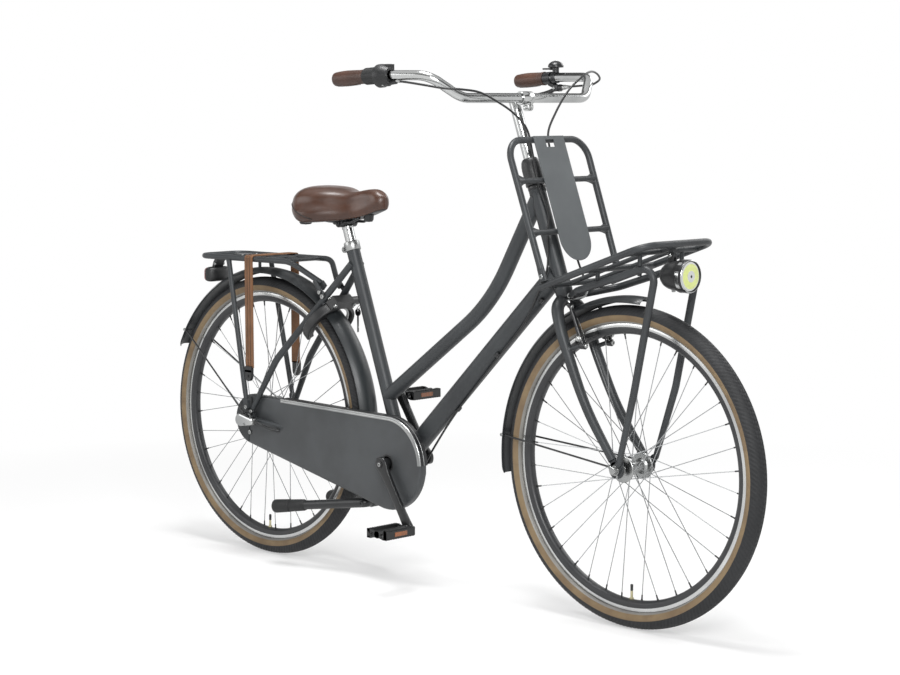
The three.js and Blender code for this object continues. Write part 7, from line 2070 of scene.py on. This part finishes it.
@dataclass
class RearCarrier:
    """The rear carrier with its legs, luggage strap and tail light."""

    height: float = 763.0
    half: float = 69.0
    tube: float = 7.0
    strap_x: float = 11.0

    def build(self) -> None:
        """Builds the deck, the legs, the strap and the tail light."""
        self.deck()
        self.strap()
        self.tail_light()

    def deck(self) -> None:
        """Builds the bent deck tube, its bars, legs, plate and post."""
        piece = Piece()
        w, z = self.half, self.height
        run = [vec(227, -27, 712), vec(160, -w, z), vec(-195, -w, z), vec(-195, w, z), vec(160, w, z),
               vec(227, 27, 712)]
        piece.tube(bent(run, [60, 34, 34, 60], 14), self.tube, 26)
        for x in (-118, 35, 122):
            piece.rod(vec(x, -w, z), vec(x, w, z), 4.9, 20)
        for side in SIDES:
            y = side * w / 3
            piece.rod(vec(-128, y, z), vec(126, y, z), 3, 14)
        piece.bar(vec(-122, -w / 3, z), vec(-80, w / 3, z + 4.9))
        for side in SIDES:
            foot_y = side * 78.3
            top, foot = vec(-76, side * (w + 1), z - 2), vec(-4, foot_y, 402)
            line = [top.lerp(foot, s) for s in (0, 0.03, 0.5, 0.93, 1)]
            piece.tube(line, [7.4, 6.6, 6.6, 6.6, 5.4], 22)
            low, high = sorted((foot_y - 4.5, foot_y + 4.5))
            piece.side_plate(belt(-4, 400, 8.4, -1, 386, 7.4, 16), low, high)
            piece.flat_bar(vec(227, side * 27, 712), vec(240, side * 33, 700), 17, 3.2)
            plate = [vec(214, side * 38, 718), vec(247, side * 41, 680)]
            piece.tube(plate, [7, 7.6], 20, flat=0.35)
        piece.rod(vec(-36, 0, 735.5), vec(-36, 0, z), 4, 18)
        piece.rod(vec(-36, -23, z), vec(-36, 23, z), 4, 18)
        piece.make("rear_carrier_tubes", F.PAINT, "frame", ["rear_carrier"], edge=0.6)
        bolts = Piece()
        for side in SIDES:
            bolts.bolt(vec(-1, side * 82.6, 386), LEFT * side, 5.2, 3)
            bolts.bolt(vec(240, side * 46, 690), LEFT * side, 5, 3)
            bolts.bolt(vec(-116 + 40, side * 24, z + 4), UP, 3, 1.6)
        bolts.make("rear_carrier_bolts", F.STEEL, "frame", edge=0)

    def strap(self) -> None:
        """Builds the three-band strap over the deck, with its hooks."""
        top, y, low = 773.3, 79.3, 487.0
        path = bent([vec(self.strap_x, -y + 1.5, low), vec(self.strap_x, -y + 1.5, top - 1.5),
                     vec(self.strap_x, y - 1.5, top - 1.5), vec(self.strap_x, y - 1.5, low)], [7, 7], 10)
        section = [(-15, -1.2), (-14.4, -1.5), (14.4, -1.5), (15, -1.2), (15, 1.0), (14.2, 1.5),
                   (6.2, 1.5), (5.4, 0.5), (4.4, 0.5),
                   (3.6, 1.5), (-3.6, 1.5), (-4.4, 0.5), (-5.4, 0.5), (-6.2, 1.5), (-14.2, 1.5),
                   (-15, 1.0)]
        marks = [0] * len(section)
        for k in (6, 7, 8, 10, 11, 12):
            marks[k] = 1
        rings = []
        for i, point in enumerate(path):
            before, after = path[max(i - 1, 0)], path[min(i + 1, len(path) - 1)]
            along = (after - before).normalized()
            out = along.cross(AHEAD).normalized() * -1
            rings.append([point + AHEAD * a + out * b for a, b in section])
        piece = Piece()
        piece.loft(rings, marks)
        piece.make("luggage_strap_band", [F.STRAP, F.STRAP_LINE], "frame", ["luggage_strap"],
                   edge=0)
        hooks = Piece()
        for side in SIDES:
            inner, outer = span(side, y - 3, y + 5)
            outline = []
            for i in range(9):
                turn = math.pi * i / 8
                outline.append((self.strap_x - 12 * math.cos(turn), 465 - 12 * math.sin(turn)))
            outline += [(self.strap_x + 13, 484), (self.strap_x + 12, 491), (self.strap_x - 12, 491),
                        (self.strap_x - 13, 484)]
            hooks.side_plate(outline, inner, outer, holes=[circle(self.strap_x + 2, 466, 4.2, 18)])
            hooks.bar(vec(self.strap_x - 12.6, min(side * (y + 4.4), side * (y + 5)), 476),
                      vec(self.strap_x + 12.6, max(side * (y + 4.4), side * (y + 5)), 482))
        hooks.make("strap_hooks", F.PLASTIC, "frame", edge=1.2)

    def tail_light(self) -> None:
        """Builds the tail light: a black housing with a red glass to the rear."""
        piece = Piece()
        rows = [(-186.4, 8, 10), (-189, 24, 16), (-196, 36, 18.4), (-205, 40, 19.6), (-208, 41, 20)]
        rings = []
        for x, half, tall in rows:
            rings.append([vec(x, a, 711 + b) for a, b in squared(40, half, tall, 0.42, 0.5)])
        piece.loft(rings, 0)
        glass = []
        for x, shrink in ((-208.2, 0.985), (-212.6, 0.97), (-215.4, 0.90), (-216.4, 0.78)):
            glass.append([vec(x, a, 711 + b) for a, b in squared(40, 41 * shrink, 20 * shrink, 0.42,
                                                                 0.5)])
        piece.loft(glass, 1)
        piece.slab([(-213, 727), (-201, 727), (-196, 741), (-188, 750), (-188, 756), (-196, 756),
                    (-206, 744)],
                   vec(0, -14, 0), AHEAD, UP, LEFT * 28, mark=0)
        piece.bolt(vec(-199, -14, 738), -LEFT, 4, 2.4, 2)
        piece.bolt(vec(-199, 14, 738), LEFT, 4, 2.4, 2)
        piece.make("tail_light_lamp", [F.PLASTIC, F.RED, F.STEEL], "frame", ["tail_light"],
                   edge=0.6)


@dataclass
class RingLock:
    """The ring lock over the rear wheel, with its shackle and keys."""

    out: Vector = field(default_factory=lambda: vec(math.cos(math.radians(48.5)), 0,
                                                    math.sin(math.radians(48.5))))
    inner: float = 48.8
    outer: float = 69.0
    thick: float = 26.0

    def place(self, across: float, up: float, depth: float) -> Vector:
        """A point in the lock's own plane: across the bike, outwards and through the ring."""
        centre = vec(0, 0, AXLE_HEIGHT) + self.out * 338
        normal = vec(-self.out.z, 0, self.out.x)
        return centre + LEFT * across + self.out * up - normal * depth

    def band(self, piece: Piece, inner: float, outer: float, start: float, end: float, half: float,
             mark: int = 0,
             round_edge: float = 3.0, shift: float = 0.0) -> None:
        """A bowed band with rounded edges.

        Args:
            piece: The piece that it joins.
            inner, outer: Its radii.
            start, end: Its ends, in degrees.
            half: Half its thickness.
            mark: The finish's number.
            round_edge: How far its corners are rounded.
            shift: How far its middle lies off the lock's middle plane.
        """
        r = round_edge
        section = []
        for cx, cy, first in ((outer - r, half - r, 0), (inner + r, half - r, 90),
                              (inner + r, -half + r, 180), (outer - r, -half + r, 270)):
            for i in range(5):
                turn = math.radians(first + 90 * i / 4)
                section.append((cx + r * math.cos(turn), cy + r * math.sin(turn)))
        rings = []
        steps = 40
        for i in range(steps + 1):
            turn = math.radians(start + (end - start) * i / steps)
            rings.append([self.place(radius * math.cos(turn), radius * math.sin(turn), depth + shift)
                          for radius, depth in section])
        piece.loft(rings, mark)

    def build(self) -> None:
        """Builds the lock's body, shackle, key and the spare key on its wire."""
        body = Piece()
        self.band(body, self.inner + 11.6, self.outer, -40, 220, self.thick / 2, 0, 4.5)
        for cheek in (-9.1, 9.1):
            self.band(body, self.inner, self.outer - 4, -40, -31, 3.9, 0, 2.4, cheek)
        self.band(body, self.inner, self.outer - 4, 133, 220, self.thick / 2 - 2, 0, 4)
        across, up, deep = vec(0, 1, 0), self.out, self.place(0, 0, 1) - self.place(0, 0, 0)
        body.slab([(-37, 62), (-30, 85), (30, 85), (37, 62)], self.place(0, 0, -13), across, up,
                  deep * 26)
        body.lathe([(0, 8), (10.6, 8), (10.6, 60), (9.6, 61.6), (7, 62), (7, 69.4), (6.2, 70), (0, 70)],
                   self.place(0, 68, -6), LEFT, 32, 0)
        body.lathe([(0, 0), (6.8, 0), (6.8, 0.5), (0, 0.5)], self.place(69.8, 68, -6), LEFT, 28, 1)
        for side in SIDES:
            body.bolt(self.place(side * 31, 74, 13), deep, 5.2, 2.6, 1)
            body.bolt(self.place(side * 31, 74, -13), -deep, 5.2, 2.6, 1)
        body.make("ring_lock_shell", [F.PLASTIC, F.STEEL], "frame", ["ring_lock_body"],
                  edge=1.4)
        shackle = Piece()
        self.band(shackle, 52, 60, -30, 130, 4, 0, 3.6)
        shackle.make("lock_shackle_bow", F.STEEL, "shackle", ["lock_shackle"], edge=0)
        self.keys(deep)

    def keys(self, deep: Vector) -> None:
        """Builds the key in the barrel, and the spare key that hangs from it on a wire."""
        key = Piece()
        outward = self.out
        key.slab([(70.3, 65), (84.3, 65), (84.3, 71), (70.3, 71)], self.place(0, 0, -7.2), LEFT, outward,
                 deep * 2.4, mark=1)
        centre = 93.1
        bow = circle(centre, 68, 11)
        hole = circle(centre + 4, 68, 2.6, 16)
        key.slab(bow, self.place(0, 0, -7.2), LEFT, outward, deep * 2.4, [hole], 0)
        key.make("lock_key_bow", [F.PLASTIC, F.STEEL], "key", ["lock_key"], edge=0.4)
        spare = Piece()
        bow = circle(250, 633, 9.5)
        eye = circle(250, 638, 2.6, 16)
        spare.side_plate(bow, 74, 76.4, [eye])
        blade = [(247, 584), (249, 582), (253, 584), (253, 594), (251.6, 596), (253, 598), (253, 625),
                 (247, 625)]
        spare.side_plate(blade, 74.6, 75.8, mark=1)
        ring_at = self.place(75.5, 68, -6)
        spare.lathe([(3.9, -0.8), (5.4, -0.8), (5.4, 0.8), (3.9, 0.8), (3.9, -0.8)], ring_at, LEFT, 24, 1)
        hang = ring_at - UP * 5
        wire = curved([hang, hang.lerp(vec(250, 75, 640), 0.5) + vec(7, 1, 4), vec(250, 79, 641),
                       vec(250, 75.2, 638),
                       vec(250, 71, 641), hang + vec(2, -1, -1)], 8)
        spare.tube(wire, 0.8, 8, 1)
        spare.make("lock_spare_key", [F.PLASTIC, F.STEEL], "frame", edge=0.3)


@dataclass
class CentreStand:
    """The folding centre stand with two legs and rubber feet."""

    pivot: Vector = field(default_factory=lambda: vec(394, 0, 183))
    leg: float = 11.5

    def build(self) -> None:
        """Builds both legs on their shaft."""
        piece = Piece()
        piece.rod(self.pivot - LEFT * 42, self.pivot + LEFT * 42, 8, 24)
        for side in SIDES:
            knee, foot = vec(394, side * 42, 183), vec(126, side * 94, 148)
            along = (knee - foot).normalized()
            start = vec(394, side * 24, 183)
            line = bent([start, knee + along * 2, foot + along * 50], [16], 10)
            piece.tube(line, self.leg, 28)
            piece.lathe([(13.5, 16.3), (13.5, 22), (11.5, 26), (8, 26), (8, 16.3), (13.5, 16.3)],
                        self.pivot, LEFT * side, 28)
            piece.lathe([(0, -5), (12.5, -5), (15.8, -3.4), (17, 0), (16, 44), (14.4, 45.4), (14.4, 48),
                         (15.4, 49.4),
                         (14.4, 88), (13.2, 92), (12.0, 94), (11.4, 94)], foot, along, 32, 1)
            piece.bolt(knee + LEFT * (side * 11), LEFT * side, 5.4, 3, 0)
        piece.tube([vec(394, 26, 195), vec(372, 30, 192), vec(340, 46, 190)], 2.2, 12, 2)
        piece.make("stand_leg_tubes", [F.BLACK, F.RUBBER, F.STEEL], "stand",
                   ["kickstand_legs"], edge=0.4)


@dataclass
class Cables:
    """The gear cable in its two halves and the brake cable, with ferrules and clips."""

    radius: float = 2.5

    @staticmethod
    def under_down_tube(x: float, below: float, left: float) -> Vector:
        """A point beside the down tube."""
        top = steer_point(776)
        slope = math.atan2(top.z - BRACKET.z, top.x - BRACKET.x)
        height = BRACKET.z + (x - BRACKET.x) * math.tan(slope)
        return vec(x + below * math.sin(slope), left, height - below * math.cos(slope))

    @staticmethod
    def under_chain_stay(x: float) -> Vector:
        """A point just under the right chain stay."""
        front, knee, end = FrameTubes().chain_stay_corners(-1)
        near, far = (front, knee) if x > knee.x else (knee, end)
        return near.lerp(far, (near.x - x) / (near.x - far.x)) - UP * 11.7

    def build(self) -> None:
        """Builds the three runs of cable."""
        self.gear_on_frame()
        self.gear_on_bar()
        self.brake()

    def gear_on_frame(self) -> None:
        """Builds the gear cable from the head tube to the shift box."""
        b = 27.3
        points = [by_steering(862, 13, -18.4), by_steering(815, 2, -22.7),
                  vec(steer_point(780).x - 10, -27.3, 780),
                  self.under_down_tube(936, 0.42 * b, -0.93 * b),
                  self.under_down_tube(880, 0.86 * b, -0.55 * b),
                  self.under_down_tube(800, 0.92 * b, -0.44 * b),
                  self.under_down_tube(640, 1.04 * b, -0.12 * b),
                  vec(588, 0, 330), vec(560, 0, 292), vec(528, -3, 264), vec(497, -9, 263),
                  self.under_chain_stay(458), self.under_chain_stay(400), self.under_chain_stay(260),
                  self.under_chain_stay(140),
                  vec(104, -57, 331), vec(84, -78, 338), vec(66, -98, 351), vec(50.6, -98, 354)]
        piece = Piece()
        piece.tube(curved(points, 8), self.radius, 12, 0)
        for x in (936, 800, 660):
            at = self.under_down_tube(x, 1.0 * b if x < 700 else 0.8 * b, -0.1 * b if x < 700
                                      else -0.6 * b)
            way = (self.under_down_tube(x + 10, 0, 0) - self.under_down_tube(x, 0, 0)).normalized()
            piece.lathe([(2.4, -6), (4.2, -6), (4.6, -4), (4.6, 4), (4.2, 6), (2.4, 6)], at, way, 20, 1)
        piece.make("gear_cable_run", [F.CABLE, F.BLACK], "frame", ["gear_cable_frame"], edge=0)

    def gear_on_bar(self) -> None:
        """Builds the gear cable from the shifter to the head tube."""
        nose = on_grip(-1, 147.2) + vec(48, 6, -13.2)
        points = [nose + vec(0.3, 0, 0), nose + vec(30, 2, -3), vec(846, -281, 1191),
                  vec(888, -265, 1184), vec(913, -232, 1181),
                  vec(923, -188, 1175), vec(924, -130, 1154), vec(926, -76, 1126), vec(930, -42, 1093),
                  vec(936, -30, 1040),
                  vec(950, -25, 970), by_steering(892, 26, -15), by_steering(866, 17, -19)]
        piece = Piece()
        line = curved(points, 8)
        piece.tube(line, self.radius, 12, 0)
        piece.tube([line[0], line[3]], [3.6, 3.2], 16, 1)
        piece.make("gear_cable_loop", [F.CABLE, F.STEEL], "steering", ["gear_cable_bar"], edge=0)

    def brake(self) -> None:
        """Builds the brake cable from the lever to the bright bent guide over the arms."""
        along = grip_way(1)
        start = LEVER_PIVOT + along * 46.3
        end = arm_point(-1, 98.9, -3, 9)
        points = [start, start + along * 36, vec(834, 284, 1193), vec(872, 272, 1205),
                  vec(890, 250, 1214), vec(904, 220, 1222),
                  vec(918, 187, 1223), vec(932, 146, 1213), vec(930, 98, 1180), vec(924, 58, 1126),
                  vec(920, 40, 1084),
                  vec(934, 36, 1030), vec(955, 34, 960), vec(988, 33, 872), vec(1018, 29, 804),
                  vec(1040, 25, 766),
                  vec(1055, 19, 743), vec(1066, 2, 727), vec(1066, -26, 721), end + ARM_WAY * 7.5, end]
        piece = Piece()
        line = curved(points, 8)
        guide = len(line) - 33
        piece.tube(line[:guide + 1], self.radius, 12, 0)
        piece.tube(line[guide:], 2.7, 14, 1)
        piece.tube([line[guide - 3], line[guide + 1]], [3.3, 3.3], 16, 1)
        piece.make("brake_cable_run", [F.CABLE, F.CHROME], "steering", ["brake_cable"], edge=0)


@dataclass
class Studio:
    """The camera at the photograph's angle, the lamps and the pale floor."""

    eye: Vector = field(default_factory=lambda: vec(3.6394, -3.6651, 1.1412))
    yaw: float = 44.45
    pitch: float = -5.98
    roll: float = -0.18
    lens: float = 87.65
    sensor: float = 36.0
    world_light: float = 0.22
    ceiling: Profile = ((0.30, 1.0), (0.38, 0.14), (0.62, 0.12), (0.70, 0.9))
    floor_half: float = 30.0
    floor_drop: float = 0.0006
    floor_grey: float = 0.93
    fade_from: float = 0.9
    fade_to: float = 2.6
    fade_least: float = 0.42
    aim: Vector = field(default_factory=lambda: vec(0, 0, 0.5))

    def camera(self) -> None:
        """Places the camera."""
        yaw, pitch, roll = (math.radians(a) for a in (self.yaw, self.pitch, self.roll))
        way = vec(-math.sin(yaw) * math.cos(pitch), math.cos(yaw) * math.cos(pitch), math.sin(pitch))
        right = way.cross(UP).normalized()
        above = right.cross(way)
        turned = right * math.cos(roll) + above * math.sin(roll)
        upright = above * math.cos(roll) - right * math.sin(roll)
        data = bpy.data.cameras.new("photo camera")
        data.lens, data.sensor_width, data.sensor_fit = self.lens, self.sensor, "HORIZONTAL"
        data.clip_end = 60.0
        made = bpy.data.objects.new("photo camera", data)
        bpy.context.collection.objects.link(made)
        made.matrix_world = Matrix((
            (turned.x, upright.x, -way.x, self.eye.x),
            (turned.y, upright.y, -way.y, self.eye.y),
            (turned.z, upright.z, -way.z, self.eye.z),
            (0.0, 0.0, 0.0, 1.0)))
        bpy.context.scene.camera = made

    @staticmethod
    def lamp(name: str, place: Vector, aim: Vector, size: tuple[float, float], power: float) -> None:
        """Adds one soft lamp.

        Args:
            name: Its name.
            place: Where it stands.
            aim: What it points at.
            size: Its width and height.
            power: Its power in watts.
        """
        data = bpy.data.lights.new(name, "AREA")
        data.shape, data.size, data.size_y, data.energy = "RECTANGLE", size[0], size[1], power
        made = bpy.data.objects.new(name, data)
        bpy.context.collection.objects.link(made)
        made.location = place
        made.rotation_euler = (aim - place).to_track_quat("-Z", "Y").to_euler()

    @staticmethod
    def seen(tree: bpy.types.NodeTree) -> bpy.types.NodeSocket:
        """One where a ray comes from the camera, from gloss or through glass."""
        rays = tree.nodes.new("ShaderNodeLightPath")
        last = rays.outputs["Is Camera Ray"]
        for name in ("Is Glossy Ray", "Is Transmission Ray"):
            add = tree.nodes.new("ShaderNodeMath")
            add.operation, add.use_clamp = "ADD", True
            tree.links.new(last, add.inputs[0])
            tree.links.new(rays.outputs[name], add.inputs[1])
            last = add.outputs["Value"]
        return last

    def world(self) -> None:
        """Builds the world: white to the camera, with a darker ceiling band for gloss, and even light."""
        world = bpy.data.worlds.new("studio")
        bpy.context.scene.world = world
        world.use_nodes = True
        tree = world.node_tree
        tree.nodes.clear()
        light = tree.nodes.new("ShaderNodeBackground")
        light.inputs["Color"].default_value = (1.0, 1.0, 1.0, 1.0)
        light.inputs["Strength"].default_value = self.world_light
        shown = tree.nodes.new("ShaderNodeBackground")
        shown.inputs["Strength"].default_value = 1.0
        place = tree.nodes.new("ShaderNodeTexCoord")
        parts = tree.nodes.new("ShaderNodeSeparateXYZ")
        tree.links.new(place.outputs["Generated"], parts.inputs["Vector"])
        ramp = tree.nodes.new("ShaderNodeValToRGB")
        stops = ramp.color_ramp.elements
        stops[0].position, stops[0].color = 0.0, (1.0, 1.0, 1.0, 1.0)
        stops[1].position, stops[1].color = 1.0, (0.8, 0.8, 0.8, 1.0)
        for position, grey in self.ceiling:
            stop = stops.new(position)
            stop.color = (grey, grey, grey, 1.0)
        tree.links.new(parts.outputs["Z"], ramp.inputs["Fac"])
        tree.links.new(ramp.outputs["Color"], shown.inputs["Color"])
        mix = tree.nodes.new("ShaderNodeMixShader")
        out = tree.nodes.new("ShaderNodeOutputWorld")
        tree.links.new(self.seen(tree), mix.inputs["Fac"])
        tree.links.new(light.outputs["Background"], mix.inputs[1])
        tree.links.new(shown.outputs["Background"], mix.inputs[2])
        tree.links.new(mix.outputs["Shader"], out.inputs["Surface"])

    def floor(self) -> None:
        """Builds the pale floor, which keeps the bike's shadow."""
        mesh = bpy.data.meshes.new("floor")
        half = self.floor_half
        mesh.from_pydata([(-half, -half, 0), (half, -half, 0), (half, half, 0), (-half, half, 0)], [],
                         [(0, 1, 2, 3)])
        made = bpy.data.objects.new("floor", mesh)
        bpy.context.collection.objects.link(made)
        made.location.z = -self.floor_drop
        paint = bpy.data.materials.new("pale floor")
        paint.use_nodes = True
        tree = paint.node_tree
        tree.nodes.clear()
        matte = tree.nodes.new("ShaderNodeBsdfDiffuse")
        matte.inputs["Color"].default_value = (self.floor_grey, self.floor_grey, self.floor_grey, 1.0)
        glow = tree.nodes.new("ShaderNodeEmission")
        glow.inputs["Strength"].default_value = 1.0
        rays = self.seen(tree)
        place = tree.nodes.new("ShaderNodeTexCoord")
        reach = tree.nodes.new("ShaderNodeVectorMath")
        reach.operation = "LENGTH"
        tree.links.new(place.outputs["Object"], reach.inputs[0])
        fade = tree.nodes.new("ShaderNodeMapRange")
        fade.inputs["From Min"].default_value = self.fade_from
        fade.inputs["From Max"].default_value = self.fade_to
        fade.inputs["To Min"].default_value, fade.inputs["To Max"].default_value = self.fade_least, 1.0
        tree.links.new(reach.outputs["Value"], fade.inputs["Value"])
        share = tree.nodes.new("ShaderNodeMath")
        share.operation = "MULTIPLY"
        tree.links.new(rays, share.inputs[0])
        tree.links.new(fade.outputs["Result"], share.inputs[1])
        mix = tree.nodes.new("ShaderNodeMixShader")
        out = tree.nodes.new("ShaderNodeOutputMaterial")
        tree.links.new(share.outputs["Value"], mix.inputs["Fac"])
        tree.links.new(matte.outputs["BSDF"], mix.inputs[1])
        tree.links.new(glow.outputs["Emission"], mix.inputs[2])
        tree.links.new(mix.outputs["Shader"], out.inputs["Surface"])
        mesh.materials.append(paint)

    def build(self) -> None:
        """Builds the whole studio."""
        bpy.context.scene.view_settings.view_transform = "Standard"
        self.camera()
        self.world()
        self.floor()
        self.lamp("top", vec(0.1, -0.3, 3.6), self.aim, (1.1, 1.1), 95.0)
        self.lamp("key", vec(3.0, -2.5, 2.3), self.aim, (1.4, 1.4), 105.0)
        self.lamp("fill", vec(-2.4, -3.2, 2.2), self.aim, (2.6, 2.0), 38.0)
        self.lamp("rim", vec(0.4, 3.4, 2.6), self.aim, (3.2, 1.4), 50.0)


def main() -> None:
    """Builds the studio and the bike, one sub-assembly after another."""
    logging.basicConfig(level=logging.INFO, format="%(message)s")
    Studio().build()
    front = Wheel(name="front", body="front_wheel", axle_x=WHEELBASE, flange=25, lip=30, half=34,
                  shell=12.5, nose_end=41, nose=10, crossing=62, phase=5, valve_angle=-90, axle=4.6,
                  axle_half=72, nut_face=59.6, rider="steering")
    rear = Wheel(name="rear", body="rear_wheel", axle_x=0.0, flange=42, lip=47, half=29, shell=37,
                 nose_end=38, nose=20.35, crossing=57.6, phase=53.5, valve_angle=-91.5, axle=5,
                 axle_half=86, nut_face=73.8, rider="frame")
    front_fender = Fender(name="front", body="steering", axle_x=WHEELBASE, radius=378, start=84, end=188,
                          wire_angle=174, foot=vec(1191.7, 58.8, 363))
    rear_fender = Fender(name="rear", body="frame", axle_x=0.0, radius=382, start=-6.8, end=155,
                         wire_angle=147, foot=vec(-13.3, 76.3, 365))
    parts = [front, rear, FrameTubes(), SaddleAndPost(), ForkAndStem(), Cockpit(), FrontCarrier(),
             Headlight(), front_fender,
             rear_fender, RimBrake(), Drivetrain(), RearCarrier(), RingLock(), CentreStand(), Cables()]
    for part in parts:
        log.info("building %s", type(part).__name__)
        part.build()


if __name__ == "__main__":
    main()
